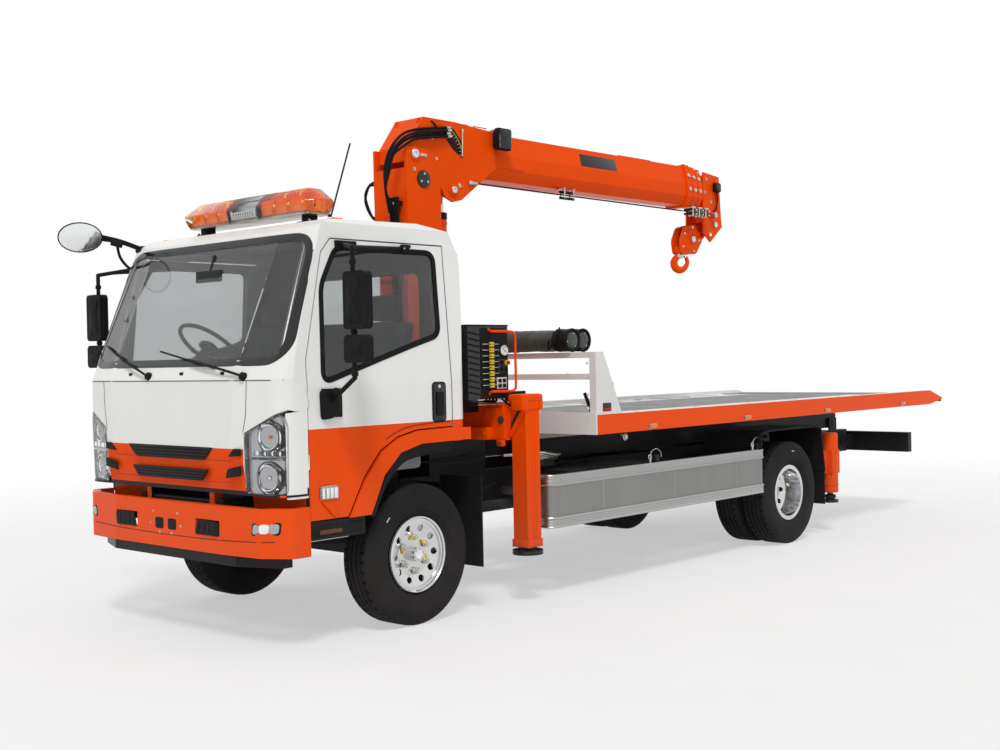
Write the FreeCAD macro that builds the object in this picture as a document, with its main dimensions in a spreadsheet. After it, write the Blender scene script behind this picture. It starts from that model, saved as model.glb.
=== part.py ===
import FreeCAD, Part
import math
import os
import Sketcher
from FreeCAD import Placement, Rotation, Vector

# Cab-over tow truck with a sliding, tilting bed and a column crane behind the cab.
# Frame: +Z up, the cab faces -Y, +X is the truck's left, millimetres.
# The origin lies on the ground under the middle of the truck's length and width.

# alias, millimetres (degrees where it says so), what it is
SIZES = [
    ("wheelbase", 4175, "front axle to rear axle"),
    ("front_overhang", 1130, "front axle to the bumper's face"),
    ("overall_length", 8190, "bumper's face to the bed's tail"),
    ("tyre_radius", 425, "outside radius of every tyre"),
    ("tyre_width", 235, "section width"),
    ("tyre_tread", 176, "width of the flat tread"),
    ("rim_radius", 228, "outside of the rim's flange"),
    ("rim_bore", 196, "inside of the rim's barrel"),
    ("rim_seat", 205, "where the tyre's bead sits"),
    ("rim_width", 184, "rim, flange to flange"),
    ("rim_lip", 9, "rim flange"),
    ("disc_thick", 12, "wheel disc"),
    ("disc_flat", 128, "flat middle of the wheel disc"),
    ("hand_circle", 160, "hand holes from the wheel's middle"),
    ("hand_hole", 21, "hand hole's radius"),
    ("nut_circle", 102, "wheel nuts from the wheel's middle"),
    ("nut_radius", 16, "wheel nut"),
    ("hub_radius", 80, "front hub"),
    ("front_bolt_face", 48, "front disc's bolt face outside the rim's middle"),
    ("fork_ear", 42, "thickness of the knuckle's ears"),
    ("front_track", 1680, "between the front tyres' middles"),
    ("rear_track", 1650, "between the middles of the rear pairs"),
    ("dual_spacing", 268, "between the two tyres of a rear pair"),
    ("frame_width", 850, "outside of the two rails"),
    ("frame_top", 820, "top of the rails above the ground"),
    ("rail_height", 215, "rail depth"),
    ("rail_flange", 70, "rail flange"),
    ("rail_web", 8, "rail plate"),
    ("frame_front", 930, "rails reach this far ahead of the front axle"),
    ("frame_rear", 2230, "rails reach this far behind the rear axle"),
    ("member_depth", 150, "crossmember depth"),
    ("member_width", 80, "crossmember width"),
    ("cab_half", 1000, "half the cab's width at the belt"),
    ("cab_top_half", 928, "half the cab's width at the roof"),
    ("belt_z", 1450, "where the cab's sides start to lean in"),
    ("roof_z", 2415, "top of the roof"),
    ("cab_rear", 400, "front axle to the back of the cab"),
    ("cab_wall", 25, "cab panel with its trim"),
    ("door_depth", 45, "door skin to its inner trim"),
    ("door_gap", 8, "seam round each door"),
    ("glass_inset", 4, "glass set in from the skin"),
    ("glass_thick", 6, "glass"),
    ("corner_round", 120, "cab corners seen from above"),
    ("roof_round", 90, "cab corners seen from the front"),
    ("roof_split_z", 2300, "seam under the roof panel"),
    ("tunnel_half", 500, "half the engine tunnel's width"),
    ("tunnel_z", 1060, "underside of the engine tunnel"),
    ("cab_pivot_ahead", 1000, "cab tilt pin ahead of the front axle"),
    ("cab_pivot_z", 800, "cab tilt pin above the ground"),
    ("cab_pivot_radius", 18, "cab tilt pin"),
    ("pin_clearance", 0.05, "radial running clearance of pins"),
    ("slide_clearance", 0.3, "between wear pads and what slides on them"),
    ("crane_y", 875, "front axle to the slewing axis"),
    ("leg_y", 914, "front axle to the middle of the front legs"),
    ("leg_x", 1010, "middle of a retracted front leg"),
    ("leg_side", 125, "front leg's square tube"),
    ("leg_top", 1350, "top of the leg's cap"),
    ("leg_bottom", 420, "lower end of the leg's tube"),
    ("jack_radius", 35, "front jack's rod"),
    ("foot_radius", 100, "front jack's foot"),
    ("foot_bottom", 320, "foot above the ground, retracted"),
    ("foot_thick", 28, "foot plate"),
    ("housing_low", 1060, "outrigger housing, underside"),
    ("housing_high", 1280, "outrigger housing, top"),
    ("housing_width", 200, "outrigger housing along the truck"),
    ("housing_half", 935, "half the housing's length"),
    ("housing_wall", 20, "outrigger housing's plate"),
    ("base_half", 430, "half the crane base's width"),
    ("base_depth", 540, "crane base along the truck"),
    ("pedestal_radius", 200, "slewing ring"),
    ("slew_z", 1420, "slewing ring's face"),
    ("column_half", 140, "half the column's width"),
    ("column_depth", 310, "column along the truck"),
    ("column_top", 2640, "top of the closed column"),
    ("fork_plate", 20, "fork plate"),
    ("fork_top", 3045, "top of the fork plates"),
    ("luff_pivot_y", 786, "front axle to the boom's foot pin"),
    ("luff_pivot_z", 2998, "boom's foot pin"),
    ("luff_pivot_radius", 30, "boom's foot pin"),
    ("ram_y", 1180, "front axle to both ram pins"),
    ("ram_low_z", 1800, "ram's lower pin"),
    ("ram_high_z", 2785, "ram's upper pin"),
    ("ram_pin_radius", 22, "ram pins"),
    ("ram_radius", 50, "ram barrel"),
    ("ram_rod_radius", 28, "ram rod"),
    ("ram_eye_radius", 42, "ram eyes"),
    ("ram_eye_half", 40, "half the width of the ram eyes"),
    ("boom_half", 122, "half the boom's width"),
    ("boom_top_half", 86, "half the width of the boom's top and bottom"),
    ("boom_top", 3240, "top of the boom"),
    ("boom_crease_high", 3085, "upper crease of the boom's side"),
    ("boom_crease_low", 2982, "lower crease of the boom's side"),
    ("boom_bottom", 2900, "underside of the boom"),
    ("boom_wall", 8, "boom plate"),
    ("stage_gap", 6, "between nested boom sections"),
    ("boom_end", 4190, "front axle to the end of the outer section"),
    ("stage_step", 100, "each section shows this much more"),
    ("stage_length", 2500, "length of an inner section"),
    ("collar_length", 70, "collar at each section's end"),
    ("collar_rise", 16, "collar stands out this far"),
    ("root_half", 140, "half the width of the boom's root"),
    ("hook_pin_radius", 14, "hook block's pin"),
    ("hook_pin_set", 30, "hook block's pin, from the last section's end"),
    ("hook_reach", 336, "hook's middle, ahead of the hook block's pin"),
    ("lamp_bar_half", 650, "half the light bar's length"),
    ("lamp_bar_front", 545, "light bar's front edge, ahead of the front axle"),
    ("lamp_bar_depth", 235, "light bar, front to rear"),
    ("lamp_bar_low", 2455, "light bar's underside"),
    ("lamp_bar_split", 2535, "where the light bar's dome starts"),
    ("lamp_bar_high", 2620, "light bar's top"),
    ("oval_half", 140, "half the oval mirror's width"),
    ("oval_tall", 100, "half the oval mirror's height"),
    ("oval_thick", 45, "oval mirror's case"),
    ("hook_bend", 52, "hook's bend"),
    ("hook_thick", 16, "hook's thickness, half"),
    ("root_plate", 18, "boom root plate"),
    ("bed_half", 1125, "half the bed's width"),
    ("bed_front", 1520, "front axle to the bed's front"),
    ("bed_low", 1058, "underside of the side rails"),
    ("bed_high", 1193, "top of the side rails"),
    ("bed_rail", 85, "side rail's width"),
    ("bed_floor_z", 1165, "top of the bed's floor"),
    ("bed_floor", 30, "bed floor with its ribs"),
    ("winch_tray", 420, "length of the lower floor that the winch stands on"),
    ("tray_step", 8, "the winch's floor below the deck"),
    ("bearer_count", 11.08, "bed's length over the spacing of its bearers"),
    ("tail_wedge", 280, "length of the bed's tapered tail"),
    ("tail_edge", 12, "thickness of the tail's edge"),
    ("runner_x", 380, "middle of the bed's runners"),
    ("runner_width", 60, "bed runner's width"),
    ("tilt_low", 850, "underside of the tilting frame"),
    ("tilt_high", 1000, "top of the tilting frame"),
    ("tilt_width", 70, "tilting frame's beam"),
    ("tilt_front", 1620, "front axle to the tilting frame's front"),
    ("tilt_rear", 6200, "front axle to the tilting frame's rear"),
    ("tilt_pivot_y", 6100, "front axle to the tilting frame's pin"),
    ("tilt_pivot_z", 900, "tilting frame's pin"),
    ("tilt_pivot_radius", 25, "tilting frame's pin"),
    ("headboard_top", 1620, "top of the headboard"),
    ("headboard_tube", 40, "headboard rails"),
    ("canvas_radius", 84, "each of the two canvas rolls"),
    ("guard_x", 1070, "outside of the side guards"),
    ("guard_low", 465, "underside of the side guards"),
    ("guard_high", 815, "top of the side guards"),
    ("guard_front", 1090, "front axle to the side guards' front"),
    ("guard_short", 450, "side guards end this far ahead of the rear axle"),
    ("tank_inner", 470, "tank and tool box, from the middle to their inner faces"),
    ("tank_outer", 960, "tank and tool box, from the middle to their outer faces"),
    ("tank_low", 480, "fuel tank's underside"),
    ("tank_high", 810, "fuel tank's top"),
    ("guard_thick", 30, "side guard panel"),
    ("bumper_low", 530, "bumper's underside"),
    ("bumper_high", 800, "bumper's top"),
    ("bumper_half", 1020, "half the bumper's width"),
    ("bumper_wall", 45, "bumper's depth"),
    ("bumper_wrap", 880, "bumper's ends ahead of the front axle"),
    ("kingpin_inset", 140, "steering pin inside the front tyre's middle"),
    ("kingpin_radius", 20, "steering pin"),
    ("beam_half_depth", 45, "half the front axle beam's width"),
    ("beam_low", 385, "front axle beam, underside"),
    ("beam_high", 465, "front axle beam, top"),
    ("spindle_radius", 34, "wheel spindles"),
    ("axle_radius", 60, "rear axle tube"),
    ("banjo_front", 215, "differential's face ahead of the rear axle"),
    ("rear_bar_reach", 2375, "rear axle to the front of the bar at the tail"),
    ("rear_bar_depth", 70, "bar at the tail, along the truck"),
    ("rear_jack_y", 825, "rear axle to the rear jacks"),
    ("rear_jack_x", 985, "rear jacks from the middle"),
    ("rear_jack_side", 86, "rear jack's tube"),
    ("rear_jack_radius", 26, "rear jack's rod"),
    ("rear_foot_radius", 72, "rear jack's foot"),
    ("rear_foot_bottom", 262, "rear foot above the ground, retracted"),
    ("mirror_x", 1290, "mirror tubes from the middle"),
    ("mirror_y", 775, "mirror tubes ahead of the front axle"),
    ("mirror_tube", 13, "mirror tube's radius"),
    ("mirror_head_width", 172, "door mirrors' width"),
    ("hinge_height", 80, "door hinges' height"),
    ("flare_stand", 14, "arch flares stand out from the cab's side"),
    ("steering_radius", 222, "steering wheel's radius"),
]


class Size:
    """A number that carries the sheet expression it was worked out from."""

    def __init__(self, value, text):
        self.value = float(value)
        self.text = text

    def __add__(self, other):
        return joined(self, "+", other)

    def __radd__(self, other):
        return joined(other, "+", self)

    def __sub__(self, other):
        return joined(self, "-", other)

    def __rsub__(self, other):
        return joined(other, "-", self)

    def __mul__(self, other):
        return joined(self, "*", other)

    def __rmul__(self, other):
        return joined(other, "*", self)

    def __truediv__(self, other):
        return joined(self, "/", other)

    def __neg__(self):
        return joined(0, "-", self)


def sized(value):
    """Any plain number as a Size."""
    if isinstance(value, Size):
        return value
    return Size(value, "%.9g" % value)


def joined(left, sign, right):
    """One arithmetic step on two sizes, as a value and as an expression."""
    left = sized(left)
    right = sized(right)
    if sign == "+":
        value = left.value + right.value
    elif sign == "-":
        value = left.value - right.value
    elif sign == "*":
        value = left.value * right.value
    else:
        value = left.value / right.value
    return Size(value, "(" + left.text + sign + right.text + ")")


doc = FreeCAD.newDocument("tow_truck")
sheet = doc.addObject("Spreadsheet::Sheet", "sizes")
for row, (alias, number, note) in enumerate(SIZES, 1):
    sheet.set("A%d" % row, alias)
    sheet.set("B%d" % row, str(number))
    sheet.setAlias("B%d" % row, alias)
    sheet.set("C%d" % row, note)
doc.recompute()


class Sheet:
    """Reads a named size from the sheet."""

    def __getattr__(self, alias):
        return Size(sheet.get(alias), "sizes." + alias)


S = Sheet()
NODES = {}
PLANES = {"XY": "XY_Plane", "XZ": "XZ_Plane", "YZ": "YZ_Plane"}
AXIS_TURN = {
    "X": Rotation(Vector(0, 1, 0), 90),
    "Y": Rotation(Vector(1, 0, 0), -90),
    "Z": Rotation(),
}


def bind(obj, prop, value):
    """Ties a property to its sheet expression."""
    obj.setExpression(prop, sized(value).text)


def place(obj, x, y, z, turn=None):
    """Puts an object at bound coordinates, with a fixed turn."""
    base = Vector(sized(x).value, sized(y).value, sized(z).value)
    obj.Placement = Placement(base, turn or Rotation())
    bind(obj, ".Placement.Base.x", x)
    bind(obj, ".Placement.Base.y", y)
    bind(obj, ".Placement.Base.z", z)
    return obj


def block(name, x, y, z):
    """A box between three pairs of bound coordinates."""
    box = doc.addObject("Part::Box", name)
    bind(box, "Length", x[1] - x[0])
    bind(box, "Width", y[1] - y[0])
    bind(box, "Height", z[1] - z[0])
    return place(box, x[0], y[0], z[0])


def rod(name, axis, across, span, radius):
    """A round bar along an axis; across holds its other two coordinates in XYZ order."""
    bar = doc.addObject("Part::Cylinder", name)
    bind(bar, "Radius", radius)
    bind(bar, "Height", span[1] - span[0])
    if axis == "X":
        return place(bar, span[0], across[0], across[1], AXIS_TURN[axis])
    if axis == "Y":
        return place(bar, across[0], span[0], across[1], AXIS_TURN[axis])
    return place(bar, across[0], across[1], span[0], AXIS_TURN[axis])


def strut(name, start, end, radius):
    """A round bar between any two points."""
    start = Vector(*[sized(c).value for c in start])
    end = Vector(*[sized(c).value for c in end])
    bar = doc.addObject("Part::Cylinder", name)
    bind(bar, "Radius", radius)
    bar.Height = (end - start).Length
    bar.Placement = Placement(start, Rotation(Vector(0, 0, 1), end - start))
    return bar


def origin_plane(body, role):
    """One of a body's own origin planes or axes."""
    for feature in body.Origin.OriginFeatures:
        if feature.Role == role:
            return feature
    raise RuntimeError("no " + role)


def outline(body, plane, points):
    """A closed sketch on a body's origin plane with every corner bound."""
    sketch = body.newObject("Sketcher::SketchObject", body.Name + "_outline")
    sketch.AttachmentSupport = [(origin_plane(body, PLANES[plane]), "")]
    sketch.MapMode = "FlatFace"
    corners = [Vector(sized(u).value, sized(v).value, 0) for u, v in points]
    count = len(corners)
    for i in range(count):
        sketch.addGeometry(Part.LineSegment(corners[i], corners[(i + 1) % count]), False)
    for i in range(count):
        sketch.addConstraint(Sketcher.Constraint("Coincident", i, 2, (i + 1) % count, 1))
    for i, (u, v) in enumerate(points):
        for kind, size in (("DistanceX", sized(u)), ("DistanceY", sized(v))):
            index = sketch.addConstraint(Sketcher.Constraint(kind, -1, 1, i, 1, size.value))
            sketch.setExpression("Constraints[%d]" % index, size.text)
    return sketch


def edges_at(shape, middles):
    """Names of the edges whose middles are given."""
    found = []
    for number, edge in enumerate(shape.Edges, 1):
        for middle in middles:
            if (edge.CenterOfMass - middle).Length < 0.05:
                found.append("Edge%d" % number)
    return found


def lifted(plane, u, v, w):
    """A sketch point and a height over its plane as a point in space."""
    if plane == "XY":
        return Vector(u, v, w)
    if plane == "XZ":
        return Vector(u, w, v)
    return Vector(w, u, v)


def prism(name, plane, points, span, rounds=(), lean=0):
    """A polygon padded between two bound coordinates; rounds is (radius, corner numbers).

    A lean, on the XY plane only, is how far each rise of one leads the pad along Y.
    """
    body = doc.addObject("PartDesign::Body", name)
    sketch = outline(body, plane, points)
    pad = body.newObject("PartDesign::Pad", name + "_pad")
    pad.Profile = sketch
    bind(pad, "Length", span[1] - span[0])
    if lean:
        pad.UseCustomVector = True
        pad.Direction = Vector(0, lean, 1)
        pad.AlongSketchNormal = True
    if plane == "XZ":
        bind(sketch, ".AttachmentOffset.Base.z", -sized(span[1]))
    else:
        bind(sketch, ".AttachmentOffset.Base.z", span[0])
    middle = (sized(span[0]).value + sized(span[1]).value) / 2
    for radius, corners in rounds:
        doc.recompute()
        base = body.Tip
        spots = [points[i] for i in corners]
        middles = [lifted(plane, sized(u).value, sized(v).value, middle) for u, v in spots]
        half_lean = lean * (sized(span[1]).value - sized(span[0]).value) / 2
        middles = [spot + Vector(0, half_lean, 0) for spot in middles]
        fillet = body.newObject("PartDesign::Fillet", name + "_round")
        fillet.Base = (base, edges_at(base.Shape, middles))
        bind(fillet, "Radius", radius)
        body.Tip = fillet
    return body


def turned(name, plane, points, axis):
    """A profile turned a full circle about the sketch's own axis."""
    body = doc.addObject("PartDesign::Body", name)
    sketch = outline(body, plane, points)
    turn = body.newObject("PartDesign::Revolution", name + "_turn")
    turn.Profile = sketch
    turn.ReferenceAxis = (sketch, [axis])
    turn.Angle = 360
    return body


def fuse(name, *parts):
    """Several shapes as one; shapes that do not touch stay separate solids."""
    if len(parts) == 1:
        return parts[0]
    whole = doc.addObject("Part::MultiFuse", name)
    whole.Shapes = list(parts)
    return whole


def common(name, *parts):
    """What several shapes share."""
    shared = doc.addObject("Part::MultiCommon", name)
    shared.Shapes = list(parts)
    return shared


def cut(name, base, *tools):
    """A shape less one or more others."""
    left = doc.addObject("Part::Cut", name)
    left.Base = base
    left.Tool = fuse(name + "_tools", *tools)
    return left


def mirrored(name, source):
    """The same shape on the truck's right side."""
    other = doc.addObject("Part::Mirroring", name)
    other.Source = source
    other.Base = Vector(0, 0, 0)
    other.Normal = Vector(1, 0, 0)
    return other


def pair(name, left):
    """A left piece and its mirror image in one node."""
    return fuse(name, left, mirrored(name + "_right", left))


def node(label, part):
    """Names a finished sub-part and lists it for export."""
    part.Label = label
    NODES[label] = part
    return part


front_y = S.front_overhang - S.overall_length / 2
rear_y = front_y + S.wheelbase
KINGPIN_X = S.front_track / 2 - S.kingpin_inset


def behind(distance):
    """A place measured rearwards from the front axle."""
    return front_y + distance


def ahead(distance):
    """A place measured forwards from the front axle."""
    return front_y - distance


def past_rear(distance):
    """A place measured rearwards from the rear axle."""
    return rear_y + distance


def tilt_brackets():
    """The pin that the bed tilts on, its ears on the rails, and the rests under the bed's front."""
    low = S.runner_x - S.tilt_width / 2
    pin = (behind(S.tilt_pivot_y), S.tilt_pivot_z)
    ear = block("tilt_ear", (S.frame_width / 2, S.frame_width / 2 + 15),
                (pin[0] - 70, pin[0] + 70), (S.frame_top - 60, S.tilt_pivot_z + 45))
    tilt_pin = rod("tilt_pin", "X", pin, (-S.frame_width / 2 - 20, S.frame_width / 2 + 20),
                   S.tilt_pivot_radius)
    rest = block("tilt_rest", (low + 5, low + S.tilt_width - 5),
                 (behind(1640), behind(1760)), (S.frame_top, S.tilt_low - S.slide_clearance))
    return fuse("tilt_brackets", pair("tilt_ears", ear), tilt_pin, pair("tilt_rests", rest))


def chassis():
    """Rails, crossmembers with the bed's brackets, engine with gearbox, shaft and radiator."""
    half = S.frame_width / 2
    low = S.frame_top - S.rail_height
    lip = S.rail_web
    inner = half - S.rail_web
    rail_front = ahead(S.frame_front)
    rail_rear = rear_y + S.frame_rear
    channel = [
        (half - S.rail_flange, low), (half, low), (half, S.frame_top),
        (half - S.rail_flange, S.frame_top), (half - S.rail_flange, S.frame_top - lip),
        (inner, S.frame_top - lip), (inner, low + lip), (half - S.rail_flange, low + lip),
    ]
    left = prism("rail", "XZ", channel, (rail_front, rail_rear))
    node("frame_rails", pair("frame_rails", left))

    middle = S.frame_top - S.rail_height / 2
    high = middle + S.member_depth / 2
    bars = []
    for number, place_y in enumerate((-880, 1320, 2350, 3450, 4900, 5650, 6300)):
        start = behind(place_y)
        bars.append(block("member_%d" % number, (-inner, inner), (start, start + S.member_width),
                          (high - S.member_depth, high)))
    pivot_y = ahead(S.cab_pivot_ahead)
    pin = rod("cab_pin", "X", (pivot_y, S.cab_pivot_z), (-half, half), S.cab_pivot_radius)
    bracket = block("cab_bracket", (half - 60, half), (pivot_y - 25, rail_front), (low + 40, 822))
    bars.append(fuse("cab_trunnion", pin, pair("cab_brackets", bracket)))
    node("frame_crossmembers", fuse("frame_crossmembers", *bars, tilt_brackets()))

    engine = block("engine_block", (-290, 290), (behind(-360), behind(450)), (500, 1000))
    gearbox = block("gearbox", (-170, 170), (behind(450), behind(1150)), (430, 770))
    mount = block("engine_mount", (-inner, inner), (behind(-60), behind(60)), (low + lip, low + lip + 50))
    shaft = rod("propshaft", "Y", (0, 500), (behind(1150), past_rear(-S.banjo_front)), 45)
    core = block("radiator_core", (-340, 340), (ahead(560), ahead(480)), (470, 850))
    side_tank = block("radiator_side", (-inner, inner), (ahead(560), ahead(480)),
                      (low + lip, S.frame_top - lip))
    radiator = fuse("radiator", core, side_tank)
    node("engine", fuse("engine", engine, gearbox, mount, shaft, radiator))


def front_axle():
    """Beam axle, leaf springs and steering pins."""
    knee = KINGPIN_X
    beam = block("beam", (-knee, knee), (front_y - S.beam_half_depth, front_y + S.beam_half_depth),
                 (S.beam_low, S.beam_high))
    boss = rod("beam_boss", "Z", (knee, front_y), (S.beam_low, S.beam_high), S.beam_half_depth)
    pin = rod("kingpin", "Z", (knee, front_y), (S.beam_low - 45, S.beam_high + 45),
              S.kingpin_radius)
    ends = pair("beam_ends", fuse("beam_end", boss, pin))
    node("front_axle", fuse("front_axle", beam, ends, springs("front", front_y, S.beam_high, 620)))


def springs(name, centre_y, seat_z, reach):
    """A pair of leaf springs on their hangers, seated on an axle."""
    half = S.frame_width / 2
    frame_low = S.frame_top - S.rail_height
    leaf = [
        (centre_y - reach, seat_z + 55), (centre_y - 300, seat_z + 12), (centre_y - 60, seat_z),
        (centre_y + 60, seat_z), (centre_y + 300, seat_z + 12), (centre_y + reach, seat_z + 55),
        (centre_y + reach, seat_z + 80), (centre_y + 300, seat_z + 45),
        (centre_y + 60, seat_z + 60), (centre_y - 60, seat_z + 60),
        (centre_y - 300, seat_z + 45), (centre_y - reach, seat_z + 80),
    ]
    inside = half - S.rail_flange + 2
    stack = prism(name + "_leaves", "YZ", leaf, (inside, inside + 64))
    hangers = []
    for number, side in enumerate((-1, 1)):
        middle = centre_y + side * reach
        hangers.append(block("%s_hanger_%d" % (name, number), (inside, inside + 64),
                             (middle - 45, middle + 45), (seat_z + 50, frame_low)))
    return pair(name + "_springs", fuse(name + "_spring", stack, *hangers))


def rear_axle():
    """Driven axle tube, differential, springs and the spindles of the twin wheels."""
    centre_z = S.tyre_radius
    hub_x = S.rear_track / 2
    tube = rod("axle_tube", "X", (rear_y, centre_z), (-(hub_x - 215), hub_x - 215), S.axle_radius)
    stub = rod("axle_stub", "X", (rear_y, centre_z), (-(hub_x + 70), hub_x + 70),
               S.axle_radius - 12)
    banjo = rod("banjo", "Y", (0, centre_z), (past_rear(-S.banjo_front), past_rear(150)), 170)
    leaves = springs("rear", rear_y, centre_z + S.axle_radius - 2, 680)
    node("rear_axle", fuse("rear_axle", tube, stub, banjo, leaves))


def sorted_pair(one, other):
    """Two coordinates, low one first."""
    if sized(one).value < sized(other).value:
        return (one, other)
    return (other, one)


def placed_tyre(name, x, y):
    """A tyre turned about the axle's line."""
    half = S.tyre_width / 2
    tread = S.tyre_tread / 2
    bead = S.rim_width / 2 - S.rim_lip - S.slide_clearance
    flank = S.rim_seat + (S.tyre_radius - S.rim_seat) * 0.55
    profile = [
        (-bead, S.rim_seat), (bead, S.rim_seat), (bead, S.rim_radius), (half, flank),
        (half - 8, S.tyre_radius - 24), (tread, S.tyre_radius), (-tread, S.tyre_radius),
        (8 - half, S.tyre_radius - 24), (-half, flank), (-bead, S.rim_radius),
    ]
    tyre = turned(name, "XY", profile, "H_Axis")
    return place(tyre, x, y, S.tyre_radius)


def placed_rim(name, near, x, y, bolt_face):
    """A rim whose disc meets the hub at bolt_face from the rim's middle, towards near."""
    half = S.rim_width / 2
    lip = half - S.rim_lip
    well = S.rim_seat - S.slide_clearance
    thick = S.disc_thick
    barrel = [
        (-half, S.rim_bore), (half, S.rim_bore), (half, S.rim_radius), (lip, S.rim_radius),
        (lip, well), (-lip, well), (-lip, S.rim_radius), (-half, S.rim_radius),
    ]
    ring = place(turned(name + "_barrel", "XY", barrel, "H_Axis"), x, y, S.tyre_radius)
    joint = half - 25
    disc = [
        (near * bolt_face, 40), (near * bolt_face, S.disc_flat), (near * joint, S.rim_bore + 1),
        (near * (joint + thick), S.rim_bore + 1), (near * (bolt_face + thick), S.disc_flat),
        (near * (bolt_face + thick), 40),
    ]
    if bolt_face.value > 100:
        disc[2] = (near * joint, S.rim_bore + 1)
        disc[3] = (near * (joint - thick), S.rim_bore + 1)
        disc[4] = (near * (bolt_face - thick), S.disc_flat)
        disc[5] = (near * (bolt_face - thick), 40)
    plate = place(turned(name + "_disc", "XY", disc, "H_Axis"), x, y, S.tyre_radius)
    holes = []
    reach = sorted_pair(x, x + near * (half + 60))
    for number in range(10):
        angle = math.radians(36 * number)
        spot = (y + S.hand_circle * math.cos(angle), S.tyre_radius + S.hand_circle * math.sin(angle))
        holes.append(rod("%s_hand_%d" % (name, number), "X", spot, reach, S.hand_hole))
    return cut(name, fuse(name + "_body", ring, plate), *holes)


def wheel_studs(name, x_span, y):
    """The ring of six wheel nuts."""
    nuts = []
    for number in range(6):
        angle = math.radians(60 * number + 30)
        spot = (y + S.nut_circle * math.cos(angle), S.tyre_radius + S.nut_circle * math.sin(angle))
        nuts.append(rod("%s_nut_%d" % (name, number), "X", spot, x_span, S.nut_radius))
    return nuts


def front_wheel(side, sign):
    """One steered wheel: rim, hub with its cap, wheel nuts and tyre."""
    face = sign * S.front_track / 2
    rim = placed_rim("rim_front_" + side, sign, face, front_y, S.front_bolt_face)
    outer = face + sign * (S.front_bolt_face + S.disc_thick)
    hub = rod("hub_front_" + side, "X", (front_y, S.tyre_radius),
              sorted_pair(face - sign * 50, outer), S.hub_radius)
    cap = rod("cap_front_" + side, "X", (front_y, S.tyre_radius),
              sorted_pair(outer, outer + sign * 48), 44)
    hole = rod("hub_bore_" + side, "X", (front_y, S.tyre_radius),
               sorted_pair(face - sign * 60, outer + sign * 34),
               S.spindle_radius + S.pin_clearance)
    nuts = wheel_studs("front_" + side, sorted_pair(outer - sign * 2, outer + sign * 30), front_y)
    node("rim_front_" + side, cut("rim_front_" + side, fuse("wheel_" + side, rim, hub, cap, *nuts),
                                  hole))
    node("tyre_front_" + side, placed_tyre("tyre_front_" + side, face, front_y))


def rear_wheels(side, sign):
    """One twin wheel: two rims back to back on a hub, and two tyres."""
    middle = sign * S.rear_track / 2
    step = sign * S.dual_spacing / 2
    face = S.dual_spacing / 2
    rims = [placed_rim("rim_outer_" + side, -sign, middle + step, rear_y, face),
            placed_rim("rim_inner_" + side, sign, middle - step, rear_y, face)]
    centre = (rear_y, S.tyre_radius)
    drum = rod("drum_" + side, "X", centre, sorted_pair(middle, middle - sign * 205),
               S.disc_flat)
    hub = rod("hub_rear_" + side, "X", centre, sorted_pair(middle, middle + sign * 95), 66)
    hole = rod("hub_rear_bore_" + side, "X", centre,
               sorted_pair(middle - sign * 215, middle + sign * 72),
               S.axle_radius - 12 + S.pin_clearance)
    nuts = wheel_studs("rear_" + side, sorted_pair(middle, middle + sign * 45), rear_y)
    node("rims_rear_" + side, cut("rims_rear_" + side, fuse("twin_" + side, *rims, drum, hub, *nuts),
                                  hole))
    tyres = [placed_tyre("tyre_outer_" + side, middle + step, rear_y),
             placed_tyre("tyre_inner_" + side, middle - step, rear_y)]
    node("tyres_rear_" + side, fuse("tyres_rear_" + side, *tyres))


def knuckle(side, sign):
    """A steering knuckle: a fork round the beam's end, and the wheel's spindle."""
    knee = sign * KINGPIN_X
    top = S.beam_high + S.fork_ear
    bottom = S.beam_low - S.fork_ear
    levels = ((S.beam_high + S.slide_clearance, top), (bottom, S.beam_low - S.slide_clearance))
    parts = []
    for number, level in enumerate(levels):
        parts.append(rod("knuckle_eye_%s_%d" % (side, number), "Z", (knee, front_y), level, 40))
        parts.append(block("knuckle_ear_%s_%d" % (side, number), sorted_pair(knee, knee + sign * 60),
                           (front_y - 40, front_y + 40), level))
    parts.append(block("knuckle_plate_" + side, sorted_pair(knee + sign * 52, knee + sign * 74),
                       (front_y - 60, front_y + 60), (bottom, top)))
    reach = sign * (S.front_track / 2 + S.front_bolt_face + 40)
    parts.append(rod("spindle_" + side, "X", (front_y, S.tyre_radius),
                     sorted_pair(knee + sign * 60, reach), S.spindle_radius))
    hole = rod("knuckle_hole_" + side, "Z", (knee, front_y), (bottom - 10, top + 10),
               S.kingpin_radius + S.pin_clearance)
    node("knuckle_" + side, cut("knuckle_" + side, fuse("knuckle_solid_" + side, *parts), hole))


def wheels():
    """Both sides' knuckles and wheels."""
    for side, sign in (("left", 1), ("right", -1)):
        knuckle(side, sign)
        front_wheel(side, sign)
        rear_wheels(side, sign)


def hexagon(grow):
    """The boom's section, grown or shrunk all round."""
    side = S.boom_half + grow
    narrow = S.boom_top_half + grow * 0.8
    return [
        (-narrow, S.boom_bottom - grow), (narrow, S.boom_bottom - grow),
        (side, S.boom_crease_low), (side, S.boom_crease_high),
        (narrow, S.boom_top + grow), (-narrow, S.boom_top + grow),
        (-side, S.boom_crease_high), (-side, S.boom_crease_low),
    ]


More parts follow.
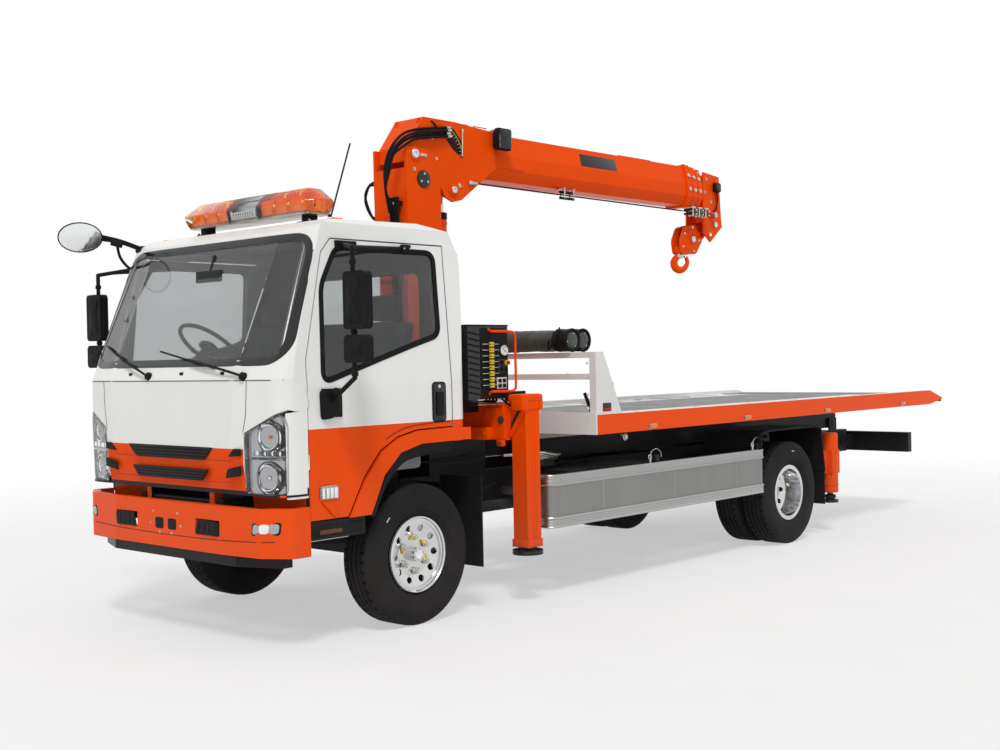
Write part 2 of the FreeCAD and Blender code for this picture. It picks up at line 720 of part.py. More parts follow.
def boom():
    """The boom's root, its outer section and three nested sections with their collars."""
    pin = (behind(S.luff_pivot_y), S.luff_pivot_z)
    ram = (behind(S.ram_y), S.ram_high_z)
    end = behind(S.boom_end)
    side = [
        (740, 2950), (740, 3050), (900, 3268), (1200, 3268), (1640, 3240), (1640, 2985),
        (1265, 2720), (1180, 2700), (1100, 2730), (1000, 2890),
    ]
    hollow = [
        (700, 2600), (765, 3040), (912, 3248), (1200, 3248), (1700, 3218), (1700, 2600),
    ]
    solid = prism("root_solid", "YZ", [(behind(y), z) for y, z in side],
                  (-S.root_half, S.root_half))
    inside = S.root_half - S.root_plate
    space = prism("root_space", "YZ", [(behind(y), z) for y, z in hollow], (-inside, inside))
    pin_hole = rod("root_hole", "X", pin, (-200, 200), S.luff_pivot_radius + S.pin_clearance)
    shell = cut("root_shell", solid, space, pin_hole)
    boss = rod("ram_boss", "X", ram, (S.ram_eye_half + 1, S.root_half + 12), S.ram_pin_radius + 8)
    outer = prism("boom_outer", "XZ", hexagon(0), (behind(1420), end))
    inner = prism("boom_inner", "XZ", hexagon(-S.boom_wall), (behind(1400), end + 10))
    node("boom_base", fuse("boom_base", shell, pair("ram_bosses", boss), cut("boom_tube", outer, inner),
                           collar("boom_base", end, 0)))
    step = S.boom_wall + S.stage_gap
    for number in (1, 2, 3):
        shrink = step * number
        tip = end + S.stage_step * number
        tube = prism("stage_%d_outer" % number, "XZ", hexagon(-shrink),
                     (tip - S.stage_length, tip))
        space = prism("stage_%d_inner" % number, "XZ", hexagon(-(shrink + S.boom_wall)),
                      (tip - S.stage_length - 10, tip + 10))
        parts = [cut("stage_%d_tube" % number, tube, space)]
        pads = prism("stage_%d_pad" % number, "XZ",
                     hexagon(-(shrink - S.stage_gap + S.slide_clearance)),
                     (tip - S.stage_length, tip - S.stage_length + 60))
        parts.append(cut("stage_%d_pads" % number, pads, space))
        if number < 3:
            parts.append(collar("stage_%d" % number, tip, shrink))
        else:
            parts += boom_tip(tip)
        node("boom_stage_%d" % number, fuse("boom_stage_%d" % number, *parts))


def collar(name, tip, shrink):
    """The thick end of a boom section, with wear pads round the next section."""
    outer = prism(name + "_collar", "XZ", hexagon(S.collar_rise - shrink),
                  (tip - S.collar_length, tip))
    hole = prism(name + "_mouth", "XZ",
                 hexagon(-(S.boom_wall + S.stage_gap - S.slide_clearance) - shrink),
                 (tip - S.collar_length - 10, tip + 10))
    return cut(name + "_collar_ring", outer, hole)


def boom_tip(tip):
    """The head at the boom's tip: two cheeks, an end plate and the sheave pin."""
    half = S.boom_half - 3 * (S.boom_wall + S.stage_gap)
    cheek = [
        (tip - 60, S.boom_top - 20), (tip + 190, S.boom_top - 45), (tip + 220, 2800),
        (tip + 230, 2745), (tip + 40, 2600), (tip - 70, 2680), (tip - 70, 2760),
    ]
    left = prism("tip_cheek", "YZ", cheek, (half, half + 16))
    plate = block("tip_plate", (-half, half), (tip, tip + 16), (2780, S.boom_top - 60))
    sheave = rod("tip_sheave", "X", (tip + 120, 2760), (-half, half), 75)
    pin = rod("tip_pin", "X", hook_pin(), (-half, half), S.hook_pin_radius)
    return [pair("tip_cheeks", left), plate, sheave, pin]


def hook_pin():
    """Where the hook block hangs: its place along the truck and its height."""
    return (behind(S.boom_end) + 3 * S.stage_step + S.hook_pin_set, 2665)


def hook_block():
    """Hook block on its link: two cheeks, a sheave, and the hook below."""
    pin_y, pin_z = hook_pin()
    link = block("hook_link", (-14, 14), (pin_y - 225, pin_y + 24), (pin_z - 24, pin_z + 24))
    hole = rod("hook_link_hole", "X", (pin_y, pin_z), (-40, 40),
               S.hook_pin_radius + S.pin_clearance)
    cheek = [
        (pin_y - 395, 2605), (pin_y - 330, 2705), (pin_y - 175, 2745), (pin_y - 50, 2626),
        (pin_y - 160, 2495), (pin_y - 375, 2490),
    ]
    cheeks = pair("hook_cheeks", prism("hook_cheek", "YZ", cheek, (24, 38)))
    sheave = rod("hook_sheave", "X", (pin_y - 215, 2615), (-24, 24), 95)
    swivel = rod("hook_swivel", "Z", (0, pin_y - S.hook_reach), (2455, 2530), 26)
    bend = doc.addObject("Part::Torus", "hook_bend")
    bind(bend, "Radius1", S.hook_bend)
    bind(bend, "Radius2", S.hook_thick)
    bend.Angle3 = 300
    place(bend, 0, pin_y - S.hook_reach, 2380, Rotation(Vector(0, 1, 0), 90))
    shank = rod("hook_shank", "Z", (0, pin_y - S.hook_reach), (2380 + S.hook_bend - 10, 2460), 17)
    node("hook_block", fuse("hook_block", cut("hook_link_eye", link, hole), cheeks, sheave, swivel,
                            bend, shank))


def crane_column():
    """Slewing column: foot flange, closed box, fork plates and the ram's lower lugs."""
    axis = behind(S.crane_y)
    low_y = axis - S.column_depth / 2
    high_y = axis + S.column_depth / 2
    foot = rod("column_foot", "Z", (0, axis), (S.slew_z + S.slide_clearance, S.slew_z + 40),
               S.pedestal_radius - 10)
    box = block("column_box", (-S.column_half, S.column_half), (low_y, high_y),
                (S.slew_z + 30, S.column_top))
    plate = [
        (low_y - 10, 2500), (high_y, 2500), (high_y, 2800), (high_y - 115, S.fork_top),
        (low_y - 15, S.fork_top), (low_y - 15, 2900),
    ]
    inside = S.root_half + S.stage_gap
    fork = pair("fork", prism("fork_side", "YZ", plate, (inside, inside + S.fork_plate)))
    seat = block("fork_seat", (-inside - 5, inside + 5), (low_y, high_y), (2500, S.column_top))
    front = block("fork_front", (-inside - 5, inside + 5), (low_y - 15, low_y - 3), (2500, S.fork_top - 145))
    pin = rod("luff_pin", "X", (behind(S.luff_pivot_y), S.luff_pivot_z),
              (-inside - S.fork_plate - 10, inside + S.fork_plate + 10), S.luff_pivot_radius)
    lug = block("ram_lug", (S.ram_eye_half + 3, S.ram_eye_half + 23),
                (high_y - 5, behind(S.ram_y) + 40), (S.ram_low_z - 60, S.ram_low_z + 60))
    low_pin = rod("ram_low_pin", "X", (behind(S.ram_y), S.ram_low_z),
                  (-S.ram_eye_half - 30, S.ram_eye_half + 30), S.ram_pin_radius)
    node("crane_column", fuse("crane_column", foot, box, fork, seat, front, pin, pair("ram_lugs", lug),
                              low_pin))


def luff_ram():
    """The ram between column and boom root: barrel and rod, each with its eye."""
    place_y = behind(S.ram_y)
    eye_hole = S.ram_pin_radius + S.pin_clearance
    top = S.ram_high_z - 150
    neck = rod("ram_neck", "Z", (0, place_y), (S.ram_low_z, S.ram_low_z + 75), S.ram_eye_half - 3)
    barrel = rod("ram_barrel", "Z", (0, place_y), (S.ram_low_z + 66, top), S.ram_radius)
    bore = rod("ram_bore", "Z", (0, place_y), (S.ram_low_z + 80, top + 10),
               S.ram_rod_radius + S.pin_clearance)
    span = (-S.ram_eye_half, S.ram_eye_half)
    low_eye = rod("ram_eye_low", "X", (place_y, S.ram_low_z), span, S.ram_eye_radius)
    hole = rod("ram_eye_hole", "X", (place_y, S.ram_low_z), (-60, 60), eye_hole)
    node("luff_barrel", cut("luff_barrel", fuse("barrel", barrel, neck, low_eye), bore, hole))
    shaft = rod("ram_rod", "Z", (0, place_y), (S.ram_low_z + 90, S.ram_high_z - 30),
                S.ram_rod_radius)
    high_eye = rod("ram_eye_high", "X", (place_y, S.ram_high_z), span, S.ram_eye_radius)
    node("luff_rod", fuse("luff_rod", shaft, high_eye))


def crane_base():
    """Base on the rails with the outrigger housing through it and the slewing pedestal."""
    axis = behind(S.crane_y)
    leg = behind(S.leg_y)
    base = block("base_box", (-S.base_half, S.base_half),
                 (axis - S.base_depth / 2, axis + S.base_depth / 2), (S.frame_top, S.housing_high))
    half_width = S.housing_width / 2
    tube = block("housing", (-S.housing_half, S.housing_half), (leg - half_width, leg + half_width),
                 (S.housing_low, S.housing_high))
    wall = S.housing_wall
    tunnel = block("housing_bore", (-1200, 1200), (leg - half_width + wall, leg + half_width - wall),
                   (S.housing_low + wall, S.housing_high - wall))
    pedestal = rod("pedestal", "Z", (0, axis), (S.housing_high, S.slew_z), S.pedestal_radius)
    node("crane_base", cut("crane_base", fuse("base", base, tube, pedestal), tunnel))


def outriggers():
    """Front legs on their sliding beams, and their jacks."""
    leg = behind(S.leg_y)
    wall = S.housing_wall
    half = S.leg_side / 2
    low = S.housing_low + wall + S.slide_clearance
    high = S.housing_high - wall - S.slide_clearance
    reach = S.housing_width / 2 - wall - 5
    beam = block("beam_bar", (10, S.leg_x - half + 1), (leg - reach, leg + reach), (low, high))
    tube = block("leg_tube", (S.leg_x - half, S.leg_x + half), (leg - half, leg + half),
                 (S.leg_bottom, S.leg_top - 15))
    cap = block("leg_cap", (S.leg_x - half - 12, S.leg_x + half + 8), (leg - half - 10, leg + half + 10),
                (S.leg_top - 90, S.leg_top))
    bore = rod("leg_bore", "Z", (S.leg_x, leg), (S.leg_bottom - 10, S.leg_top - 40),
               S.jack_radius + S.pin_clearance)
    left = cut("leg_left", fuse("leg_body", beam, tube, cap), bore)
    node("outrigger_beam_left", left)
    node("outrigger_beam_right", mirrored("outrigger_beam_right", left))
    shaft = rod("jack_shaft", "Z", (S.leg_x, leg), (S.foot_bottom + 10, S.leg_top - 60), S.jack_radius)
    foot = rod("jack_foot", "Z", (S.leg_x, leg), (S.foot_bottom, S.foot_bottom + S.foot_thick),
               S.foot_radius)
    ring = rod("jack_collar", "Z", (S.leg_x, leg),
               (S.foot_bottom + S.foot_thick, S.foot_bottom + S.foot_thick + 22), 58)
    jack = fuse("jack_left", shaft, foot, ring)
    node("jack_left", jack)
    node("jack_right", mirrored("jack_right", jack))

    rear = past_rear(S.rear_jack_y)
    x = S.rear_jack_x
    side = S.rear_jack_side / 2
    tube = block("rear_tube", (x - side, x + side), (rear - side, rear + side), (350, 870))
    plate = block("rear_plate", (S.frame_width / 2, x - side), (rear - 30, rear + 30), (620, 760))
    bore = rod("rear_bore", "Z", (x, rear), (340, 840), S.rear_jack_radius + S.pin_clearance)
    housing = cut("rear_housing", fuse("rear_leg", tube, plate), bore)
    node("rear_jack_housings", pair("rear_jack_housings", housing))
    shaft = rod("rear_shaft", "Z", (x, rear), (S.rear_foot_bottom + 5, 820), S.rear_jack_radius)
    foot = rod("rear_foot", "Z", (x, rear), (S.rear_foot_bottom, S.rear_foot_bottom + 22),
               S.rear_foot_radius)
    jack = fuse("rear_jack_left", shaft, foot)
    node("rear_jacks", pair("rear_jacks", jack))


def bed():
    """Tilting frame on its pin, sliding bed, headboard, winch and canvas roll."""
    pin = (behind(S.tilt_pivot_y), S.tilt_pivot_z)
    low = S.runner_x - S.tilt_width / 2
    beam = block("tilt_beam", (low, low + S.tilt_width), (behind(S.tilt_front), behind(S.tilt_rear)),
                 (S.tilt_low, S.tilt_high))
    beams = pair("tilt_beams", beam)
    ties = [block("tilt_tie_%d" % i, (-low - 2, low + 2), (behind(y), behind(y) + 90),
                  (S.tilt_low + 20, S.tilt_high - 20)) for i, y in enumerate((1700, 3300, 4900))]
    hole = rod("tilt_hole", "X", pin, (-900, 900), S.tilt_pivot_radius + S.pin_clearance)
    node("tilt_frame", cut("tilt_frame", fuse("tilt_solid", beams, *ties), hole))

    front = behind(S.bed_front)
    tail = S.overall_length / 2
    rail_points = [
        (front, S.bed_low), (tail - S.tail_wedge, S.bed_low),
        (tail, (S.bed_low + S.bed_high) / 2 - 25), (tail, (S.bed_low + S.bed_high) / 2 - 13),
        (tail - S.tail_wedge, S.bed_high), (front, S.bed_high),
    ]
    rail = prism("bed_rail", "YZ", rail_points, (S.bed_half - S.bed_rail, S.bed_half))
    node("bed_rails", pair("bed_rails", rail))
    inside = S.bed_half - S.bed_rail
    floor_low = S.bed_floor_z - S.bed_floor
    tray = front + S.winch_tray
    tray_z = S.bed_floor_z - S.tray_step
    floor_points = [
        (front, floor_low), (tail - S.tail_wedge, floor_low),
        (tail, (S.bed_low + S.bed_high) / 2 - 25), (tail, (S.bed_low + S.bed_high) / 2 - 13),
        (tail - S.tail_wedge, S.bed_floor_z), (tray, S.bed_floor_z), (tray, tray_z), (front, tray_z),
    ]
    floor = prism("bed_plate", "YZ", floor_points, (-inside, inside))
    pitch = (tail - front) / S.bearer_count
    bearers = [block("bed_bearer_%d" % i, (-inside, inside), (start + 60, start + 110),
                     (floor_low - 50, floor_low))
               for i, start in enumerate([front + pitch * i for i in range(11)])]
    runner = block("bed_runner", (S.runner_x - S.runner_width / 2, S.runner_x + S.runner_width / 2),
                   (front + 60, tail - S.tail_wedge - 60), (S.tilt_high + S.slide_clearance, floor_low))
    node("bed_floor", fuse("bed_floor", floor, pair("bed_runners", runner), *bearers))
    apron = block("bed_apron", (-S.bed_half, S.bed_half), (front - 12, front), (S.bed_low, S.bed_high + 14))

    post_points = [
        (front, S.bed_high), (front + 290, S.bed_high), (front + 270, S.bed_high + 30),
        (front + 85, S.headboard_top), (front, S.headboard_top),
    ]
    post = prism("headboard_post", "YZ", post_points, (S.bed_half - 60, S.bed_half - 5))
    tube = S.headboard_tube
    bars = [block("headboard_bar_%d" % i, (-S.bed_half + 10, S.bed_half - 10),
                  (front + 10, front + 10 + tube), (z - tube, z))
            for i, z in enumerate((S.headboard_top, S.headboard_top - 148))]
    shelf = block("canvas_shelf", (-620, 920), (front + 10, front + 210),
                  (S.headboard_top - 8, S.headboard_top - S.slide_clearance))
    node("headboard", fuse("headboard", apron, pair("headboard_posts", post), shelf, *bars))

    drum = rod("winch_drum", "X", (front + 230, S.bed_floor_z + 90), (-170, 170), 65)
    ends = [block("winch_end_%d" % i, x, (front + 130, front + 330), (tray_z, S.bed_floor_z + 180))
            for i, x in enumerate(((-195, -170), (170, 195)))]
    motor = rod("winch_motor", "X", (front + 230, S.bed_floor_z + 90), (195, 330), 55)
    node("winch", fuse("winch", drum, motor, *ends))
    roll = rod("canvas", "X", (front + 30, S.headboard_top + S.canvas_radius), (-600, 905),
               S.canvas_radius)
    second = rod("canvas_2", "X", (front + 30 + 1.7 * S.canvas_radius, S.headboard_top + S.canvas_radius),
                 (-600, 905), S.canvas_radius)
    node("canvas_roll", fuse("canvas_roll", roll, second))


def bumper():
    """Front bumper with its openings, and the spoiler under it."""
    face = -S.overall_length / 2
    wall = S.bumper_wall
    wrap = ahead(S.bumper_wrap)
    half = S.bumper_half
    plan = [
        (-half, wrap), (-half, face + 130), (-half + 160, face + 30), (-half + 480, face),
        (half - 480, face), (half - 160, face + 30), (half, face + 130), (half, wrap),
        (half - wall, wrap), (half - wall, face + 150), (half - 190, face + 30 + wall),
        (half - 490, face + wall), (-half + 490, face + wall), (-half + 190, face + 30 + wall),
        (-half + wall, face + 150), (-half + wall, wrap),
    ]
    band = prism("bumper_band", "XY", plan, (S.bumper_low, S.bumper_high), ((60, (1, 2, 5, 6)),))
    slots = []
    for number, x in enumerate(((300, 530), (-530, -300))):
        slots.append(block("bumper_slot_%d" % number, x, (face - 20, face + 100), (628, 717)))
    stay = block("bumper_stay", (S.frame_width / 2 - 60, S.frame_width / 2 - 5),
                 (face + wall, ahead(S.cab_pivot_ahead) - 25), (725, 785))
    sweep = [
        (-900, face + 150), (-620, face + 40), (620, face + 40), (900, face + 150),
        (900, face + 215), (590, face + 120), (-590, face + 120), (-900, face + 215),
    ]
    spoiler = prism("spoiler", "XY", sweep, (465, S.bumper_low))
    node("front_bumper", fuse("front_bumper", cut("bumper_skin", band, *slots),
                              pair("stays", stay), spoiler))


def side_gear():
    """Side guards, fuel tank, boxes, mudguards, flaps and the bar at the rear."""
    half = S.frame_width / 2
    front = behind(S.guard_front)
    rear = past_rear(-S.guard_short)
    thick = S.guard_thick
    x = S.guard_x
    plan = [
        (x - 230, front), (x, front), (x, rear), (x - thick, rear), (x - thick, front + thick),
        (x - 230, front + thick),
    ]
    panel = prism("guard_panel", "XY", plan, (S.guard_low, S.guard_high), ((70, (1,)),))
    arms = [block("guard_arm_%d" % i, (half, x - thick), (y, y + 50), (640, 690))
            for i, y in enumerate((front + 210, behind(2650), rear - 125))]
    node("side_guards", pair("side_guards", fuse("guard_left", panel, *arms)))

    inner = S.tank_inner
    outer = S.tank_outer
    low = S.tank_low
    high = S.tank_high
    tank = prism("fuel_tank", "XZ", [(inner, low), (outer, low), (outer, high), (inner, high)],
                 (behind(1450), behind(2450)), ((60, (0, 1, 2, 3)),))
    straps = [block("tank_strap_%d" % i, (half, inner + 10), (behind(y), behind(y) + 60),
                    (low + 140, high - 30))
              for i, y in enumerate((1600, 2250))]
    box = block("tool_box", (-outer, -inner), (behind(1450), behind(2200)), (low - 10, high - 10))
    box_arm = block("box_arm", (-inner - 10, -half), (behind(1600), behind(2050)),
                    (low + 160, high - 50))
    air_tank = rod("air_tank", "Y", (-700, 640), (behind(2700), behind(3350)), 130)
    tank_arm = block("air_arm", (-600, -half), (behind(2950), behind(3050)), (640, 700))
    node("side_tanks", fuse("side_tanks", tank, box, box_arm, air_tank, tank_arm, *straps))

    edge = [
        (-520, 640), (-475, 940), (-385, 962), (425, 962), (505, 930), (565, 560),
        (553, 558), (493, 922), (421, 950), (-381, 950), (-465, 932), (-508, 640),
    ]
    arch = prism("mudguard", "YZ", [(past_rear(y), z) for y, z in edge], (570, 1085))
    gap = S.slide_clearance
    notch = block("mudguard_notch", (x - thick - gap, 1200), (past_rear(-600), rear + gap),
                  (400, S.guard_high + gap))
    arch = cut("mudguard_arch", arch, notch)
    stays = [block("mudguard_stay_%d" % i, (half, 600), (past_rear(y), past_rear(y) + 30), (700, 760))
             for i, y in enumerate((-503, 515))]
    flap_arm = block("flap_arm", (half, 640), (behind(492), behind(512)), (760, 800))
    rear_flap = block("rear_flap", (590, 1075), (past_rear(558), past_rear(568)), (275, 600))
    front_flap = block("front_flap", (620, 985), (behind(512), behind(522)), (285, 850))
    guard = fuse("mudguard_left", arch, flap_arm, rear_flap, front_flap, *stays)
    node("mudguards", pair("mudguards", guard))

    bar_y = past_rear(S.rear_bar_reach)
    bar = block("rear_bar", (-1000, 1000), (bar_y, bar_y + S.rear_bar_depth), (600, 790))
    arm = block("rear_bar_arm", (half - 65, half - 5), (past_rear(S.frame_rear), bar_y), (640, 760))
    node("rear_bar", fuse("rear_bar", bar, pair("rear_bar_arms", arm)))


def control_box():
    """The crane's control cabinet beside the cab, on its bracket."""
    cabinet = block("cabinet", (600, 900), (behind(505), behind(880)), (1330, 1800))
    bracket = block("cabinet_foot", (S.base_half, 700), (behind(640), behind(800)), (1240, 1330))
    other = block("cabinet_right", (-900, -700), (behind(505), behind(700)), (1330, 1620))
    other_foot = block("cabinet_right_foot", (-760, -S.base_half), (behind(640), behind(690)), (1240, 1330))
    node("control_cabinet", fuse("control_cabinet", cabinet, bracket, other, other_foot))


# The cab's side outline: behind the front axle, above the ground, and which way is inwards.
CAB_SIDE = [
    (-1055, 860, 1, 1), (-1096, 1120, 1, 0), (-1092, 1500, 1, 0), (-1060, 1580, 1, -0.3),
    (-748, 2338, 1, -0.8), (-610, 2398, 0.3, -1), (100, 2415, -0.1, -1), (318, 2372, -0.5, -1),
    (390, 2230, -1, -0.4), (400, 2000, -1, 0), (400, 1092, -1, 1), (-20, 1088, 0, 1),
    (-185, 1045, -0.6, 0.8), (-335, 925, -0.8, 0.6), (-440, 710, -1, 1), (-868, 710, 1, 1),
    (-872, 860, 1, 1),
]
# The heights where the cab's front leans more, and how far it leans back for each rise.
CAB_LEANS = [(500, 1500, 0), (1500, 1580, 0.4), (1580, 2600, 0.41)]
# A door's outline: behind the front axle, above the ground, and which way is outwards.
DOOR_EDGE = [
    (-862, 718, -1, -1), (-592, 718, 0.6, -1), (-470, 930, 0.8, -0.6), (-345, 1072, 0.7, -0.7),
    (-205, 1146, 0.3, -1), (-50, 1178, 0, -1), (250, 1184, 1, -1), (250, 2278, 1, 1),
    (-628, 2278, -0.6, 1), (-700, 2200, -1, 0.4), (-862, 1590, -1, 0.3),
]
# A door window: behind the front axle, above the ground.
WINDOW_EDGE = [
    (-742, 1485), (-345, 1602), (-60, 1685), (165, 1745), (165, 2225), (-590, 2225), (-712, 2010),
]


def cab_nose(name, inset):
    """The cab's rounded front corners, which lean back with the windscreen."""
    half = S.cab_half - inset
    reach = behind(1500)
    nose = ahead(1096) + inset
    parts = []
    for number, (low, high, lean) in enumerate(CAB_LEANS):
        points = [(-half, nose + 60), (-600, nose), (600, nose), (half, nose + 60),
                  (half, reach), (-half, reach)]
        rounds = ((S.corner_round - inset, (0, 3)),)
        parts.append(prism("%s_%d" % (name, number), "XY", points, (low, high), rounds, lean))
        nose = nose + lean * (high - low)
    return fuse(name, *parts)


def cab_form(name, inset):
    """The cab's closed outer form, shrunk all round by an inset."""
    side = [(behind(y) + dy * inset, z + dz * inset) for y, z, dy, dz in CAB_SIDE]
    profile = prism(name + "_side", "YZ", side, (-1100, 1100))
    half = S.cab_half - inset
    top_half = S.cab_top_half - inset
    rear = behind(S.cab_rear) - inset
    box = [(-half, ahead(1300)), (half, ahead(1300)), (half, rear), (-half, rear)]
    plan = prism(name + "_plan", "XY", box, (500, 2600), ((S.roof_round - inset, (2, 3)),))
    section = [
        (-half, 600), (half, 600), (half, S.belt_z), (top_half, S.roof_z - 40),
        (top_half - 60, S.roof_z + 5 - inset), (-top_half + 60, S.roof_z + 5 - inset),
        (-top_half, S.roof_z - 40), (-half, S.belt_z),
    ]
    across = prism(name + "_across", "XZ", section, (ahead(1300), behind(600)))
    form = common(name + "_form", profile, plan, across, cab_nose(name + "_nose", inset))
    tunnel = block(name + "_tunnel", (-S.tunnel_half - inset, S.tunnel_half + inset),
                   (ahead(1030) - inset, rear + 100), (500, S.tunnel_z + inset))
    return cut(name, form, tunnel)


def cab_width(name, inset):
    """A bar of the cab's width less an inset on each side, past its floor and roof."""
    half = S.cab_half - inset
    slope = (S.cab_half - S.cab_top_half) / (S.roof_z - 40 - S.belt_z)
    top = half - slope * (2600 - S.belt_z)
    section = [(-half, 400), (half, 400), (half, S.belt_z), (top, 2600), (-top, 2600), (-half, S.belt_z)]
    return prism(name, "XZ", section, (ahead(1300), behind(600)))


def door_prism(name, grow, span):
    """The door's outline as a slab, grown all round."""
    points = [(behind(y) + dy * grow, z + dz * grow) for y, z, dy, dz in DOOR_EDGE]
    return prism(name, "YZ", points, span)


def door_hinges(name, radius, leaf):
    """Two hinge pins at the door's front edge, each with a leaf to the pillar on its lower half."""
    parts = []
    for number, low in enumerate((1000, 1340)):
        x = S.cab_half - 3
        y = behind(-862.5)
        middle = low + S.hinge_height / 2
        high = low + S.hinge_height
        parts.append(rod("%s_%d" % (name, number), "Z", (x, y), (low, high), radius))
        if leaf:
            plate = block("%s_leaf_%d" % (name, number), (x - 5, x + 2.5), (y - 12, y), (low, middle))
            parts.append(plate)
        else:
            parts.append(rod("%s_wide_%d" % (name, number), "Z", (x, y), (low - 2, middle + 2), radius * 2))
    return fuse(name + "_set", *parts)


def cab():
    """Cab panels, glass, doors, lamps, grille, steps, arch flares, dash and seats."""
    skin = cab_form("cab_skin", sized(0))
    inside = cab_form("cab_inside", S.cab_wall)
    shell = cut("cab_shell", skin, inside)
    glass_shell = cut("glass_shell", cab_form("glass_out", S.glass_inset),
                      cab_form("glass_in", S.glass_inset + S.glass_thick))

    screen = prism("screen", "XZ", [(-930, 1606), (930, 1606), (858, 2292), (-858, 2292)],
                   (ahead(1250), ahead(560)), ((85, (0, 1, 2, 3)),))
    rear_window = prism("rear_window", "XZ", [(-600, 1650), (600, 1650), (600, 2150), (-600, 2150)],
                        (behind(300), behind(500)), ((60, (0, 1, 2, 3)),))
    grille_hole = block("grille_hole", (-700, 700), (ahead(1250), ahead(1045)), (885, 1118))
    lamp_points = [(704, 872), (1030, 872), (1030, 1300), (985, 1335), (704, 1206)]
    lamp = prism("lamp", "XZ", lamp_points, (ahead(1250), ahead(880)))
    lamps = pair("lamps", lamp)
    hole = cut("door_hole", door_prism("door_hole_slab", S.door_gap, (800, 1100)),
               cab_width("hole_inside", S.door_depth + S.door_gap))
    body = cut("cab_body", shell, screen, rear_window, grille_hole, lamps, pair("door_holes", hole))

    inner = S.cab_half - S.cab_wall
    door_rear = behind(250) + S.door_gap
    roof_zone = block("roof_zone", (-1200, 1200), (ahead(1300), behind(600)),
                      (S.roof_split_z, S.roof_split_z + 500))
    rear_zone = block("rear_zone", (-1200, 1200), (door_rear, behind(600)), (400, S.roof_split_z))
    floor_zone = fuse("floor_zone",
                      block("floor_ahead", (-inner, inner), (ahead(1030), ahead(850)), (400, 1200)),
                      block("floor_behind", (-1100, 1100), (ahead(860), door_rear), (400, 1200)))
    foot = rod("aerial_foot", "Z", (850, ahead(556)), (2330, 2412), 14)
    whip = strut("aerial_whip", (850, ahead(552), 2400), (850, ahead(390), 2850), 4)
    aerial = cut("aerial", fuse("aerial_whole", foot, whip), inside)
    node("cab_roof", fuse("cab_roof", common("cab_roof_panel", body, roof_zone), aerial))
    node("cab_back", common("cab_back", body, rear_zone))
    lug_top = S.tunnel_z + S.cab_wall / 2
    lug = block("cab_lug", (300, 345), (ahead(1030), ahead(970)), (S.cab_pivot_z - 24, lug_top))
    lug_hole = rod("cab_lug_hole", "X", (ahead(S.cab_pivot_ahead), S.cab_pivot_z), (-500, 500),
                   S.cab_pivot_radius + S.pin_clearance)
    lugs = cut("cab_lugs", pair("cab_lug_pair", lug), lug_hole)
    node("cab_floor", fuse("cab_floor", common("cab_floor_pan", body, floor_zone), lugs))
    front = cut("cab_front_panel", body, roof_zone, rear_zone, floor_zone)
    node("cab_front", fuse("cab_front", front, pair("hinges", door_hinges("hinge_pin", 3, True))))

    node("cab_glass", fuse("cab_glass", common("windscreen", glass_shell, screen),
                           common("rear_glass", glass_shell, rear_window)))
    slots = []
    for number, (x, low, high) in enumerate(((415, 1060, 1108), (365, 940, 985))):
        slots.append(prism("grille_slot_%d" % number, "XZ",
                           [(-x, high), (-x + 60, low), (x - 60, low), (x, high)],
                           (ahead(1250), ahead(1000))))
    node("grille", cut("grille", common("grille_panel", shell, grille_hole), *slots))
    lamp_shell = cut("lamp_shell", skin, cab_form("lamp_inside", sized(60)))
    marker = cut("marker_lamp", block("marker", (815, 875), (ahead(538), ahead(475)), (2330, 2416)), skin)
    node("cab_lamps", pair("cab_lamps", fuse("cab_lamps_left",
                                             common("headlamp", lamp_shell, lamp), marker)))

    window = prism("window", "YZ", [(behind(y), z) for y, z in WINDOW_EDGE], (700, 1100))
    leaf = cut("door_leaf", common("door_full", skin, door_prism("door_slab", 0, (800, 1100))),
               cab_width("door_inside", S.door_depth))
    left = cut("door_left", leaf, window, door_hinges("hinge_hole", 3.3, False))
    node("door_left", left)
    node("door_right", mirrored("door_right", left))
    pane = common("door_glass_left", glass_shell, window)
    node("door_glass_left", pane)
    node("door_glass_right", mirrored("door_glass_right", pane))

    sill = block("sill", (820, 992), (behind(-868), behind(-462)), (608, 710))
    flare_points = [
        (400, 1170), (-50, 1170), (-205, 1138), (-345, 1064), (-470, 922), (-588, 712),
        (-430, 712), (-322, 930), (-190, 1050), (-20, 1092), (400, 1096),
    ]
    flare = prism("flare", "YZ", [(behind(y), z) for y, z in flare_points],
                  (S.cab_half, S.cab_half + S.flare_stand))
    flare = cut("arch_flare", flare, door_prism("flare_cut", S.door_gap + 3, (900, 1100)))
    node("cab_skirts", pair("cab_skirts", fuse("cab_skirt", sill, flare)))
    interior(inside, lamps)
    roof_gear(skin)
    mirrors(skin)


